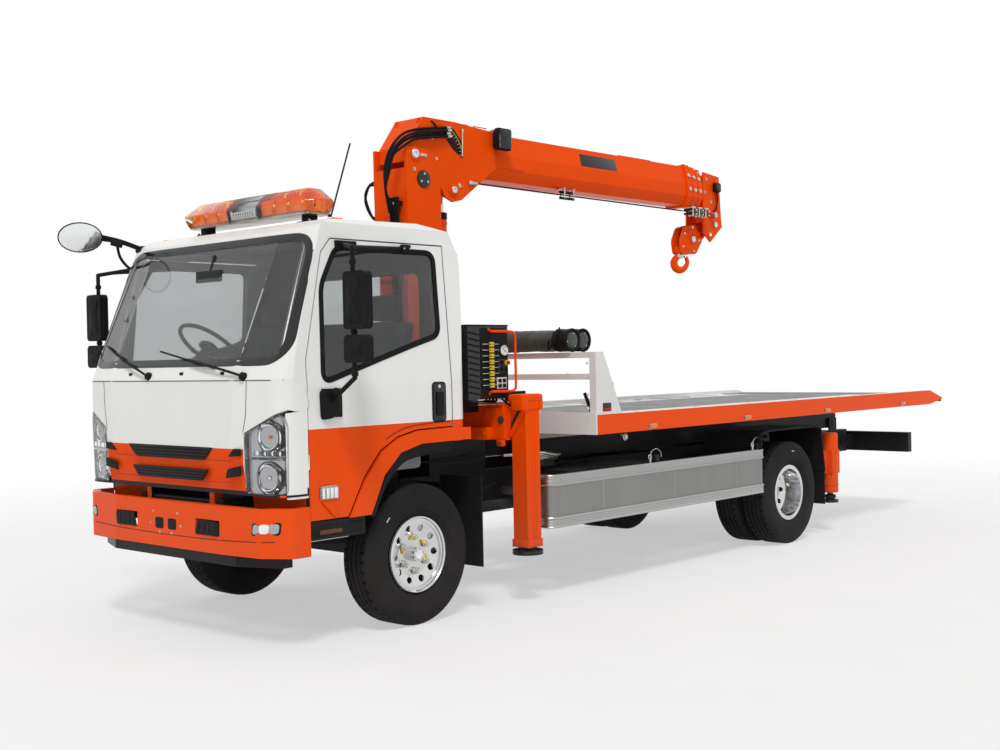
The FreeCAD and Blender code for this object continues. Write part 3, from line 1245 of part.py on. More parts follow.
def interior(inside, lamps):
    """The dash with its steering wheel, and the seats."""
    dash_points = [(-1100, 1345), (-1100, 1480), (-980, 1500), (-730, 1475), (-700, 1400), (-760, 1345)]
    dash = prism("dash_top", "YZ", [(behind(y), z) for y, z in dash_points], (-900, 900))
    console = block("dash_console", (-330, 330), (ahead(1100), ahead(790)), (S.tunnel_z, 1345))
    dash = cut("dash", common("dash_in_cab", fuse("dash_whole", dash, console), inside), lamps)
    driver = -560
    hub = (driver, ahead(400), 1700)
    column = strut("steering_column", (driver, ahead(760), 1400), hub, 24)
    rim = doc.addObject("Part::Torus", "steering_rim")
    bind(rim, "Radius1", S.steering_radius)
    bind(rim, "Radius2", 14)
    place(rim, *hub, Rotation(Vector(1, 0, 0), -40))
    spokes = rod("steering_spokes", "X", (hub[1], hub[2]),
                 (driver - S.steering_radius, driver + S.steering_radius), 9)
    fittings = fuse("dash_and_wheel", dash, column, fuse("steering_wheel", rim, spokes))
    plinth = common("seat_plinth", block("seat_box", (-880, 880), (behind(-380), behind(120)), (900, 1290)),
                    inside)
    parts = [fittings, plinth]
    cushion_points = [(-420, 1290), (-420, 1430), (60, 1410), (60, 1290)]
    back_points = [(20, 1412), (130, 2010), (225, 2010), (150, 1290), (60.3, 1290), (60.3, 1412)]
    for number, (low, high) in enumerate(((-800, -330), (-310, 220), (240, 760))):
        cushion = prism("cushion_%d" % number, "YZ", [(behind(y), z) for y, z in cushion_points],
                        (low, high), ((45, (1,)),))
        back = prism("seat_back_%d" % number, "YZ", [(behind(y), z) for y, z in back_points],
                     (low, high), ((40, (1, 2)),))
        parts.append(fuse("seat_%d" % number, cushion, back))
    node("cab_interior", fuse("cab_interior", *parts))


def roof_gear(skin):
    """The light bar, with a hipped dome, on its two feet."""
    half = S.lamp_bar_half
    front = ahead(S.lamp_bar_front)
    rear = front + S.lamp_bar_depth
    low = S.lamp_bar_low
    split = S.lamp_bar_split
    high = S.lamp_bar_high
    corners = [(-half, front), (half, front), (half, rear), (-half, rear)]
    base = prism("lightbar_base", "XY", corners, (low, split), ((45, (0, 1, 2, 3)),))
    ends = [(-half, split), (half, split), (half - 100, high), (100 - half, high)]
    slopes = [(front, split), (rear, split), (rear - 40, high), (front + 75, high)]
    dome = common("lightbar_dome", prism("lightbar_ends", "XZ", ends, (front - 10, rear + 10)),
                  prism("lightbar_slopes", "YZ", slopes, (-half - 10, half + 10)),
                  prism("lightbar_plan", "XY", corners, (split - 10, high + 10),
                        ((45, (0, 1, 2, 3)),)))
    foot = block("lightbar_foot", (half - 180, half - 90), (front + 50, rear - 35), (2380, low))
    node("lightbar", cut("lightbar", fuse("lightbar_whole", base, dome, pair("lightbar_feet", foot)),
                         skin))


def tube_run(name, points, radius):
    """A tube through a list of points, with a ball at each bend."""
    parts = []
    for number in range(len(points) - 1):
        parts.append(strut("%s_%d" % (name, number), points[number], points[number + 1], radius))
    for number, point in enumerate(points[1:-1]):
        ball = doc.addObject("Part::Sphere", "%s_bend_%d" % (name, number))
        bind(ball, "Radius", radius)
        place(ball, *point)
        parts.append(ball)
    return fuse(name, *parts)


def mirrors(skin):
    """The door mirrors on their tube arms, and the oval mirror above the windscreen."""
    x = S.mirror_x
    y = ahead(S.mirror_y)
    radius = S.mirror_tube
    head_left = x - 57
    head_right = head_left + S.mirror_head_width
    heads = []
    for number, (low, high) in enumerate(((1580, 1730), (1760, 2070))):
        corners = [(head_left, low), (head_right, low), (head_right, high), (head_left, high)]
        heads.append(prism("mirror_head_%d" % number, "XZ", corners, (y - 25, y + 35),
                           ((28, (0, 1, 2, 3)),)))
    arm = tube_run("mirror_arm", [(990, ahead(700), 1360), (x, y, 1500), (x, y, 2200),
                                  (925, ahead(530), 2255)], radius)
    brace = tube_run("mirror_brace", [(x - 60, y + 40, 2209), (925, ahead(60), 2255)], radius - 4)
    low_pad = block("mirror_low_pad", (990, 1012), (ahead(770), ahead(630)), (1280, 1440))
    high_pad = block("mirror_high_pad", (925, 955), (ahead(600), ahead(450)), (2225, 2272))
    rear_pad = block("mirror_rear_pad", (925, 950), (ahead(90), ahead(30)), (2235, 2272))
    left = cut("mirrors_left", fuse("mirror_set", *heads, arm, brace, low_pad, high_pad, rear_pad), skin)
    node("mirrors_left", left)
    node("mirrors_right", mirrored("mirrors_right", left))
    turn = oval_turn()
    middle = (-1052, ahead(1035), 2420)
    oval = doc.addObject("Part::Ellipsoid", "nose_mirror_head")
    bind(oval, "Radius1", S.oval_thick)
    bind(oval, "Radius2", S.oval_tall)
    bind(oval, "Radius3", S.oval_half)
    place(oval, *middle, turn)
    face = doc.addObject("Part::Box", "nose_mirror_face")
    face.Length = 400
    face.Width = 400
    face.Height = 100
    corner = turn.multVec(Vector(-200, -200, 0))
    place(face, middle[0] + corner.x, middle[1] + corner.y, middle[2] + corner.z, turn)
    arms = [strut("nose_mirror_arm_%d" % i, (-1022, ahead(942), 2432 - 24 * i),
                  (-880, ahead(690), z), 9) for i, z in enumerate((2352, 2340))]
    case = cut("nose_mirror_case", oval, face)
    node("nose_mirror", cut("nose_mirror", fuse("nose_mirror_whole", case, *arms), skin))


def oval_turn():
    """How the oval mirror is turned: its glass looks outwards, ahead and down."""
    out = Vector(0.85, -0.4, -0.33)
    across = Vector(0.4, 0.85, 0)
    return Rotation(across.cross(out), across, out, "ZYX")


def finish():
    """Recomputes, checks every object and writes the sub-parts."""
    doc.recompute()
    broken = [obj.Name for obj in doc.Objects if "Invalid" in obj.State or "Error" in obj.State]
    for label, part in NODES.items():
        if part.Shape.isNull() or not part.Shape.isValid():
            broken.append(label)
    if broken:
        raise RuntimeError("these pieces failed: " + ", ".join(broken))
    os.makedirs("parts", exist_ok=True)
    for label, part in NODES.items():
        part.Shape.exportStep("parts/%s.step" % label)
    print("%d sub-parts written" % len(NODES))


chassis()
front_axle()
rear_axle()
wheels()
crane_base()
crane_column()
luff_ram()
boom()
hook_block()
outriggers()
bed()
bumper()
side_gear()
control_box()
cab()
finish()
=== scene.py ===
import math

import bmesh
import bpy
from bpy.props import FloatProperty, FloatVectorProperty, IntProperty, PointerProperty
from mathutils import Matrix, Vector, noise
from mathutils.bvhtree import BVHTree


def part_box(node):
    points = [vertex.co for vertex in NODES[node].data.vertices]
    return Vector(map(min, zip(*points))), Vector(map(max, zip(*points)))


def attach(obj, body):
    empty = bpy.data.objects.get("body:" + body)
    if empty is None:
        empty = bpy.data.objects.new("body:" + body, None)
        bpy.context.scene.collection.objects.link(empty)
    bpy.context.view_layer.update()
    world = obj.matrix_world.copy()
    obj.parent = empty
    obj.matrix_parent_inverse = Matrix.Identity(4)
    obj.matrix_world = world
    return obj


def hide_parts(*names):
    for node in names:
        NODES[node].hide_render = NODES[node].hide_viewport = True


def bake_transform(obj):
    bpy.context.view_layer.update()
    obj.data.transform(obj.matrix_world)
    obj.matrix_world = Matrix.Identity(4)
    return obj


bl_info = {
    "name": "Tow Truck Dresser",
    "version": (1, 0, 0),
    "blender": (4, 5, 0),
    "location": "View3D > Sidebar > Tow Truck",
    "description": "Paints and details a crane tow truck with a sliding bed",
    "category": "Object",
}

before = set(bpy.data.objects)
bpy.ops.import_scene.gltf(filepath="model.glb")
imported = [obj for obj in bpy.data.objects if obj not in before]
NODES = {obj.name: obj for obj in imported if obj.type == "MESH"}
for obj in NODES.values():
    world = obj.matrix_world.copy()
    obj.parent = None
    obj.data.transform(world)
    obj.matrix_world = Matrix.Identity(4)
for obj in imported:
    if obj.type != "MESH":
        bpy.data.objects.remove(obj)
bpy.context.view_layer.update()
FRONT_AXLE = sum(corner.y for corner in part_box("tyre_front_left")) / 2
HUB = sum(corner.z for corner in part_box("tyre_front_left")) / 2
REAR_AXLE = sum(corner.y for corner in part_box("tyres_rear_left")) / 2
BELT = 1.22
ROPE_SIDE = 0.145
SIDES = (("left", 1), ("right", -1))
CAB_MIDDLE = (0.0, FRONT_AXLE - 0.32, 1.62)


def behind(distance):
    """A place along the truck, measured rearwards from the front axle."""
    return FRONT_AXLE + distance


def spot(x, distance, z):
    """A point: across the truck, rearwards from the front axle, and above the ground."""
    return Vector((x, behind(distance), z))


# ---------------------------------------------------------------- finishes

def grain(tree, place, scale, detail=3.0, stretch=None):
    """A noise over the piece, stretched along an axis where stretch says so."""
    if stretch:
        mapping = tree.nodes.new("ShaderNodeMapping")
        mapping.inputs["Scale"].default_value = stretch
        tree.links.new(place, mapping.inputs["Vector"])
        place = mapping.outputs["Vector"]
    texture = tree.nodes.new("ShaderNodeTexNoise")
    texture.inputs["Scale"].default_value = scale
    texture.inputs["Detail"].default_value = detail
    tree.links.new(place, texture.inputs["Vector"])
    return texture.outputs["Fac"]


def ramp(tree, factor, low, high, start=0.3, end=0.7):
    """Two colours along a factor."""
    blend = tree.nodes.new("ShaderNodeValToRGB")
    blend.color_ramp.elements[0].position = start
    blend.color_ramp.elements[0].color = (*low, 1)
    blend.color_ramp.elements[1].position = end
    blend.color_ramp.elements[1].color = (*high, 1)
    tree.links.new(factor, blend.inputs["Fac"])
    return blend.outputs["Color"]


def measure(tree, kind, one, two=None):
    """One step of arithmetic on sockets or numbers."""
    step = tree.nodes.new("ShaderNodeMath")
    step.operation = kind
    for number, value in enumerate((one, two)):
        if value is None:
            continue
        if isinstance(value, (int, float)):
            step.inputs[number].default_value = value
        else:
            tree.links.new(value, step.inputs[number])
    return step.outputs["Value"]


def mixed(tree, factor, one, two):
    """Colour one where the factor is 0, two where it is 1."""
    mix = tree.nodes.new("ShaderNodeMix")
    mix.data_type = "RGBA"
    tree.links.new(factor, mix.inputs["Factor"])
    for name, value in (("A", one), ("B", two)):
        socket = [s for s in mix.inputs if s.name == name and s.type == "RGBA"][0]
        if isinstance(value, tuple):
            socket.default_value = (*value, 1)
        else:
            tree.links.new(value, socket)
    return [s for s in mix.outputs if s.type == "RGBA"][0]


def tones(colour, spread):
    """A colour made a little darker and a little lighter."""
    dark = tuple(c * (1 - spread) for c in colour)
    pale = tuple(min(1.0, c * (1 + spread)) for c in colour)
    return dark, pale


class Finish:
    """A finish in the making, with the places on the piece that its patterns use."""

    def __init__(self, name, **sockets):
        self.material = bpy.data.materials.new(name)
        self.material.use_nodes = True
        self.tree = self.material.node_tree
        self.shader = self.tree.nodes["Principled BSDF"]
        self.coordinates_node = self.tree.nodes.new("ShaderNodeTexCoord")
        self.place = self.coordinates_node.outputs["Object"]
        for socket, value in sockets.items():
            self.shader.inputs[socket.replace("_", " ")].default_value = value

    def coordinates(self):
        """Across, along and up, as three sockets."""
        split = self.tree.nodes.new("ShaderNodeSeparateXYZ")
        self.tree.links.new(self.place, split.inputs["Vector"])
        return split.outputs["X"], split.outputs["Y"], split.outputs["Z"]

    def colour(self, socket):
        self.tree.links.new(socket, self.shader.inputs["Base Color"])

    def tone(self, colour, spread, patch=2.5, stretch=None):
        """A colour with soft patches."""
        return ramp(self.tree, grain(self.tree, self.place, patch, 4.0, stretch), *tones(colour, spread))

    def dusted(self, colour, low=0.35, high=1.0, dust=(0.2, 0.17, 0.14), amount=0.5):
        """Road dust on what lies low, broken up by a noise."""
        height = self.coordinates()[2]
        drop = self.tree.nodes.new("ShaderNodeMapRange")
        drop.inputs["From Min"].default_value = low
        drop.inputs["From Max"].default_value = high
        drop.inputs["To Min"].default_value = amount
        drop.inputs["To Max"].default_value = 0.0
        self.tree.links.new(height, drop.inputs["Value"])
        cloud = grain(self.tree, self.place, 6.0, 6.0)
        factor = measure(self.tree, "MULTIPLY", drop.outputs["Result"], cloud)
        return mixed(self.tree, factor, colour, dust)

    def gloss(self, rough, swing=0.08, patch=9.0):
        """Roughness that wanders a little."""
        change = self.tree.nodes.new("ShaderNodeMapRange")
        change.inputs["To Min"].default_value = max(0.0, rough - swing)
        change.inputs["To Max"].default_value = min(1.0, rough + swing)
        self.tree.links.new(grain(self.tree, self.place, patch, 5.0), change.inputs["Value"])
        self.tree.links.new(change.outputs["Result"], self.shader.inputs["Roughness"])

    def relief(self, height, strength, depth=0.001):
        """A fine unevenness from any height."""
        bump = self.tree.nodes.new("ShaderNodeBump")
        bump.inputs["Strength"].default_value = strength
        bump.inputs["Distance"].default_value = depth
        self.tree.links.new(height, bump.inputs["Height"])
        self.tree.links.new(bump.outputs["Normal"], self.shader.inputs["Normal"])


def painted(name, colour, rough=0.34, coat=0.06, spread=0.035, dust=0.3, shine=0.12):
    """Sprayed paint under clear coat, with a trace of orange peel and road dust low down."""
    finish = Finish(name, Coat_Weight=coat, Coat_Roughness=0.1, IOR=1.45, Specular_IOR_Level=shine)
    finish.colour(finish.dusted(finish.tone(colour, spread), amount=dust))
    finish.gloss(rough, 0.05)
    finish.relief(grain(finish.tree, finish.place, 260.0, 2.0), 0.04)
    return finish.material


def moulded(name, colour, rough=0.55, spread=0.15, stipple=900.0, strength=0.18, dust=0.25):
    """Moulded plastic or rubber with a stippled face."""
    finish = Finish(name, IOR=1.45, Specular_IOR_Level=0.1)
    finish.colour(finish.dusted(finish.tone(colour, spread, 5.0), amount=dust))
    finish.gloss(rough, 0.1)
    finish.relief(grain(finish.tree, finish.place, stipple, 2.0), strength)
    return finish.material


def metallic(name, colour, rough=0.3, spread=0.08, stretch=None, scratch=60.0, strength=0.05, swing=0.07):
    """Bare metal with a direction to its grinding or polish."""
    finish = Finish(name, Metallic=1.0)
    finish.colour(finish.tone(colour, spread, 6.0, stretch))
    finish.gloss(rough, swing, 14.0)
    finish.relief(grain(finish.tree, finish.place, scratch, 3.0, stretch), strength, 0.0005)
    return finish.material


def clear(name, colour, rough=0.03, through=1.0, spread=0.03, glow=0.0):
    """Glass or a lamp's lens."""
    finish = Finish(name, Transmission_Weight=through, IOR=1.45)
    finish.colour(finish.tone(colour, spread, 1.5))
    finish.gloss(rough, min(rough, 0.01), 3.0)
    if glow:
        finish.shader.inputs["Emission Color"].default_value = (*colour, 1)
        finish.shader.inputs["Emission Strength"].default_value = glow
    return finish.material


def woven(name, colour, rough=0.85, thread=520.0, spread=0.25, sheen=0.3):
    """Cloth: two crossed waves make the weave."""
    finish = Finish(name, Sheen_Weight=sheen, Roughness=rough)
    tree = finish.tree
    waves = []
    for direction in ("X", "Z"):
        wave = tree.nodes.new("ShaderNodeTexWave")
        wave.bands_direction = direction
        wave.inputs["Scale"].default_value = thread
        wave.inputs["Distortion"].default_value = 0.6
        tree.links.new(finish.place, wave.inputs["Vector"])
        waves.append(wave.outputs["Fac"])
    cloth = measure(tree, "MULTIPLY", *waves)
    folds = grain(tree, finish.place, 7.0, 6.0)
    finish.colour(ramp(tree, folds, *tones(colour, spread), 0.35, 0.65))
    finish.relief(measure(tree, "ADD", cloth, folds), 0.35, 0.0015)
    return finish.material


def shell_paint(name, low, high, split, trim, under=None):
    """Cab paint outside, in two colours that meet at a height, and trim on the faces that look inwards."""
    finish = Finish(name, Coat_Weight=0.06, Coat_Roughness=0.08, IOR=1.45, Specular_IOR_Level=0.12)
    tree = finish.tree
    up = finish.coordinates()[2]
    above = measure(tree, "GREATER_THAN", up, split)
    outer = mixed(tree, above, finish.tone(low, 0.03), finish.tone(high, 0.02))
    outer = finish.dusted(outer, amount=0.22)
    arm = tree.nodes.new("ShaderNodeVectorMath")
    arm.operation = "SUBTRACT"
    arm.inputs[1].default_value = CAB_MIDDLE
    tree.links.new(finish.place, arm.inputs[0])
    facing = tree.nodes.new("ShaderNodeVectorMath")
    facing.operation = "DOT_PRODUCT"
    normal = finish.coordinates_node.outputs["Normal"]
    tree.links.new(normal, facing.inputs[0])
    tree.links.new(arm.outputs[0], facing.inputs[1])
    inside = measure(tree, "LESS_THAN", facing.outputs["Value"], 0.0)
    lining = finish.tone(trim, 0.1, 4.0)
    if under:
        split_normal = tree.nodes.new("ShaderNodeSeparateXYZ")
        tree.links.new(normal, split_normal.inputs["Vector"])
        downwards = measure(tree, "LESS_THAN", split_normal.outputs["Z"], -0.4)
        outer = mixed(tree, measure(tree, "MULTIPLY", downwards, measure(tree, "LESS_THAN", up, 1.2)), outer,
            under)
        lining = mixed(tree, measure(tree, "LESS_THAN", up, 1.172), lining, under)
    finish.colour(mixed(tree, inside, outer, lining))
    finish.gloss(0.3, 0.05)
    finish.relief(grain(tree, finish.place, 240.0, 2.0), 0.03)
    return finish.material


def seen_share(tree):
    """One for rays from the camera, straight, mirrored or through glass; nought for the rest."""
    paths = tree.nodes.new("ShaderNodeLightPath")
    share = paths.outputs["Is Camera Ray"]
    for kind in ("Is Glossy Ray", "Is Transmission Ray"):
        share = measure(tree, "MAXIMUM", share, paths.outputs[kind])
    return share


def shared(tree, share, one, two, output):
    """Mixes two shaders into an output."""
    blend = tree.nodes.new("ShaderNodeMixShader")
    tree.links.new(share, blend.inputs["Fac"])
    tree.links.new(one.outputs[0], blend.inputs[1])
    tree.links.new(two.outputs[0], blend.inputs[2])
    tree.links.new(blend.outputs[0], tree.nodes[output].inputs["Surface"])


COAT = {"Coat_Weight": 0.06, "Coat_Roughness": 0.1, "IOR": 1.45, "Specular_IOR_Level": 0.12}


def sprayed(finish, colour, relief=0.04, gloss=0.36):
    """Gives a paint its colour, its shine and its fine relief."""
    finish.colour(colour)
    finish.gloss(gloss, 0.06)
    finish.relief(grain(finish.tree, finish.place, 240.0, 2.0), relief)
    return finish.material


def edged_paint(name, face, edge, limit):
    """Bed rails: one colour on top and the other on the outer side."""
    finish = Finish(name, **COAT)
    across = finish.coordinates()[0]
    outer = measure(finish.tree, "GREATER_THAN", measure(finish.tree, "ABSOLUTE", across), limit)
    return sprayed(finish, mixed(finish.tree, outer, finish.tone(face, 0.04), finish.tone(edge, 0.03)), 0.03)


def split_paint(name, low, high, split):
    """Two paints on one part, which meet at a height."""
    finish = Finish(name, **COAT)
    above = measure(finish.tree, "GREATER_THAN", finish.coordinates()[2], split)
    colour = mixed(finish.tree, above, finish.tone(low, 0.2), finish.tone(high, 0.03))
    return sprayed(finish, finish.dusted(colour, amount=0.2))


def bumper_paint(name, inside, face, low):
    """Paint on the bumper's face; black on the spoiler below it and on the parts behind it."""
    finish = Finish(name, **COAT)
    tree = finish.tree
    across, along, up = finish.coordinates()
    inner = measure(tree, "LESS_THAN", measure(tree, "ABSOLUTE", across), 0.86)
    inner = measure(tree, "MULTIPLY", inner, measure(tree, "GREATER_THAN", along, -4.048))
    dark = measure(tree, "MAXIMUM", inner, measure(tree, "LESS_THAN", up, low))
    colour = mixed(tree, dark, finish.tone(face, 0.03), finish.tone(inside, 0.2))
    return sprayed(finish, finish.dusted(colour, amount=0.15), gloss=0.34)


def jack_metal(name, foot, split):
    """A bright jack rod above its black foot."""
    finish = Finish(name, Specular_IOR_Level=0.4)
    above = measure(finish.tree, "GREATER_THAN", finish.coordinates()[2], split)
    finish.colour(mixed(finish.tree, above, finish.tone(foot, 0.3), finish.tone((0.5, 0.5, 0.5), 0.1, 9.0)))
    finish.tree.links.new(above, finish.shader.inputs["Metallic"])
    finish.gloss(0.4, 0.1)
    finish.relief(grain(finish.tree, finish.place, 150.0, 3.0), 0.15)
    return finish.material


def make_finishes(colours):
    """Every finish on the truck, by name."""
    orange = tuple(colours.orange)
    white = tuple(colours.white)
    black = tuple(colours.black)
    trim = tuple(colours.trim)
    return {"orange": painted("orange_paint", orange, coat=0.02, shine=0.06),
        "white": painted("white_paint", white, coat=0.03, spread=0.02, dust=0.1, shine=0.08),
        "black": painted("chassis_paint", black, rough=0.45, spread=0.3, dust=0.2),
        "iron": moulded("cast_iron", (0.045, 0.045, 0.048), rough=0.7, stipple=300.0, strength=0.5,
        dust=0.3), "cab": shell_paint("cab_paint", orange, white, BELT, trim, under=black),
        "nose": shell_paint("nose_paint", black, white, 0.905, trim),
        "skirt": split_paint("arch_paint", black, orange, 0.712),
        "rail": edged_paint("bed_rail_paint", tuple(colours.bed), orange, 1.1235),
        "bed": painted("bed_paint", tuple(colours.bed), rough=0.36, spread=0.04),
        "deck": painted("deck_paint", tuple(colours.bed), rough=0.5, spread=0.08),
        "plastic": moulded("black_plastic", (0.012, 0.012, 0.013), dust=0.1),
        "gloss_black": painted("gloss_black", (0.012, 0.012, 0.013), rough=0.18, coat=0.6, dust=0.1),
        "rubber": moulded("rubber", (0.012, 0.012, 0.013), rough=0.75, stipple=240.0, strength=0.3),
        "tyre": moulded("tyre_rubber", (0.014, 0.014, 0.015), rough=0.7, stipple=130.0, strength=0.25,
        dust=0.12), "wheel": metallic("polished_wheel", (0.66, 0.66, 0.67), rough=0.18, strength=0.03,
        swing=0.04), "zinc": metallic("zinc_plate", (0.55, 0.53, 0.48), rough=0.35, spread=0.2),
        "steel": metallic("ground_steel", (0.6, 0.6, 0.61), rough=0.2, stretch=(1, 1, 0.1)),
        "chrome": metallic("bright_reflector", (0.85, 0.86, 0.87), rough=0.08, spread=0.03, strength=0.01,
        swing=0.02), "aluminium": metallic("guard_aluminium", (0.27, 0.27, 0.265), rough=0.45, spread=0.06,
        stretch=(0.6, 0.6, 0.1)), "bright": metallic("guard_rail_aluminium", (0.42, 0.42, 0.415), rough=0.32,
        # The pillar finish is opaque dark gloss paint: painted shade standing in for the dark cab seen
        # through the glass at the pillars.
        stretch=(1, 0.1, 1)), "pillar_painted_shade": painted("pillar_painted_shade", (0.07, 0.071, 0.073), rough=0.12,
        coat=0.3, dust=0.0, shine=0.4), "glass": clear("tinted_glass", (0.6, 0.62, 0.62)),
        "lens": clear("lamp_lens", (0.93, 0.94, 0.95)), "lamp_bed": metallic("lamp_housing",
        (0.42, 0.425, 0.435), rough=0.22, spread=0.05), "white_plastic": moulded("white_plastic",
        (0.75, 0.75, 0.74), rough=0.4, spread=0.04, dust=0.0),
        "orange_lens": clear("orange_lens", (1.0, 0.3, 0.02), 0.03, 0.95, glow=0.03),
        "amber": clear("amber_lens", tuple(colours.amber), 0.08, 0.15, glow=0.06),
        "red": clear("red_lens", (0.55, 0.01, 0.01), 0.08, 0.3),
        "trim": moulded("cab_trim", trim, rough=0.7, stipple=500.0, strength=0.04, dust=0.0),
        "base": split_paint("base_paint", black, orange, 1.055),
        "bumper": bumper_paint("bumper_paint", black, orange, 0.531),
        "jack": jack_metal("jack_metal", black, 0.425), "dark_trim": moulded("dark_trim",
        (0.035, 0.035, 0.038), rough=0.65, stipple=500.0, strength=0.05, dust=0.0),
        "seat": woven("seat_cloth", (0.09, 0.09, 0.095)), "canvas": woven("waxed_canvas",
        tuple(colours.canvas), rough=0.6, thread=420.0, spread=0.35),
        "yellow": moulded("yellow_plastic", (0.8, 0.52, 0.02), rough=0.4, dust=0.0),
        "red_plastic": moulded("red_plastic", (0.6, 0.02, 0.02), rough=0.35, dust=0.0),
        "mirror": metallic("mirror_glass", (0.8, 0.81, 0.82), rough=0.09, spread=0.01, strength=0.0,
        swing=0.01), "tread": chequer("tread_plate", (0.13, 0.13, 0.135)),
        "bed_seam": painted("bed_seam_paint", (0.3, 0.3, 0.29), rough=0.5, spread=0.1),}


def chequer(name, colour):
    """Worn steel tread plate with raised lozenges."""
    finish = Finish(name, Metallic=0.6)
    tree = finish.tree
    heights = []
    for turn in (0.785, -0.785):
        mapping = tree.nodes.new("ShaderNodeMapping")
        mapping.inputs["Rotation"].default_value = (0, 0, turn)
        mapping.inputs["Scale"].default_value = (14.0, 42.0, 1.0)
        tree.links.new(finish.place, mapping.inputs["Vector"])
        cells = tree.nodes.new("ShaderNodeTexVoronoi")
        cells.inputs["Scale"].default_value = 1.0
        cells.inputs["Randomness"].default_value = 0.0
        tree.links.new(mapping.outputs["Vector"], cells.inputs["Vector"])
        heights.append(measure(tree, "LESS_THAN", cells.outputs["Distance"], 0.34))
    raised = measure(tree, "MAXIMUM", *heights)
    finish.colour(mixed(tree, measure(tree, "MULTIPLY", raised, 0.35), finish.tone(colour, 0.3, 4.0),
        (0.4, 0.4, 0.4)))
    finish.gloss(0.5, 0.12)
    finish.relief(raised, 0.5, 0.002)
    return finish.material


FINISHES = {}


# ---------------------------------------------------------------- making pieces

def rounded(part, edges, width, steps=2):
    """Rounds edges of a part."""
    bmesh.ops.bevel(
        part, geom=list(edges), offset=width, segments=steps, profile=0.6, affect="EDGES", clamp_overlap=True
    )


def smooth_line(points, steps, closed=False):
    """A smooth line through points."""
    points = [Vector(p) for p in points]
    if steps < 2:
        return points
    count = len(points)
    line = []
    for i in range(count if closed else count - 1):
        if closed:
            a, b, c, d = (points[(i + k) % count] for k in (-1, 0, 1, 2))
        else:
            b, c = points[i], points[i + 1]
            a = points[i - 1] if i else b * 2 - c
            d = points[i + 2] if i + 2 < count else c * 2 - b
        for k in range(steps):
            t = k / steps
            line.append(0.5 * (2 * b + (c - a) * t + (2 * a - 5 * b + 4 * c - d) * t ** 2
                + (3 * b - a - 3 * c + d) * t ** 3))
    if not closed:
        line.append(points[-1])
    return line


def softened(corners, radius, steps=5):
    """An outline's points with rounded corners, each as (u, v, outward u, outward v)."""
    count = len(corners)
    area = sum(corners[i][0] * corners[(i + 1) % count][1] - corners[(i + 1) % count][0] * corners[i][1]
        for i in range(count))
    sign = 1 if area > 0 else -1
    found = []
    for i in range(count):
        here = Vector(corners[i])
        back = Vector(corners[i - 1]) - here
        ahead = Vector(corners[(i + 1) % count]) - here
        reach = min(radius, back.length * 0.48, ahead.length * 0.48)
        start = here + back.normalized() * reach
        end = here + ahead.normalized() * reach
        for k in range(steps + 1):
            t = k / steps
            point = start * (1 - t) ** 2 + here * 2 * t * (1 - t) + end * t ** 2
            found.append(point)
    line = []
    for i, point in enumerate(found):
        run = found[(i + 1) % len(found)] - found[i - 1]
        run.normalize()
        line.append((point.x, point.y, run.y * sign, -run.x * sign))
    return line


def moved_in(line, inset=0.0):
    """A softened outline's plain points, moved inwards."""
    return [(u - a * inset, v - b * inset) for u, v, a, b in line]


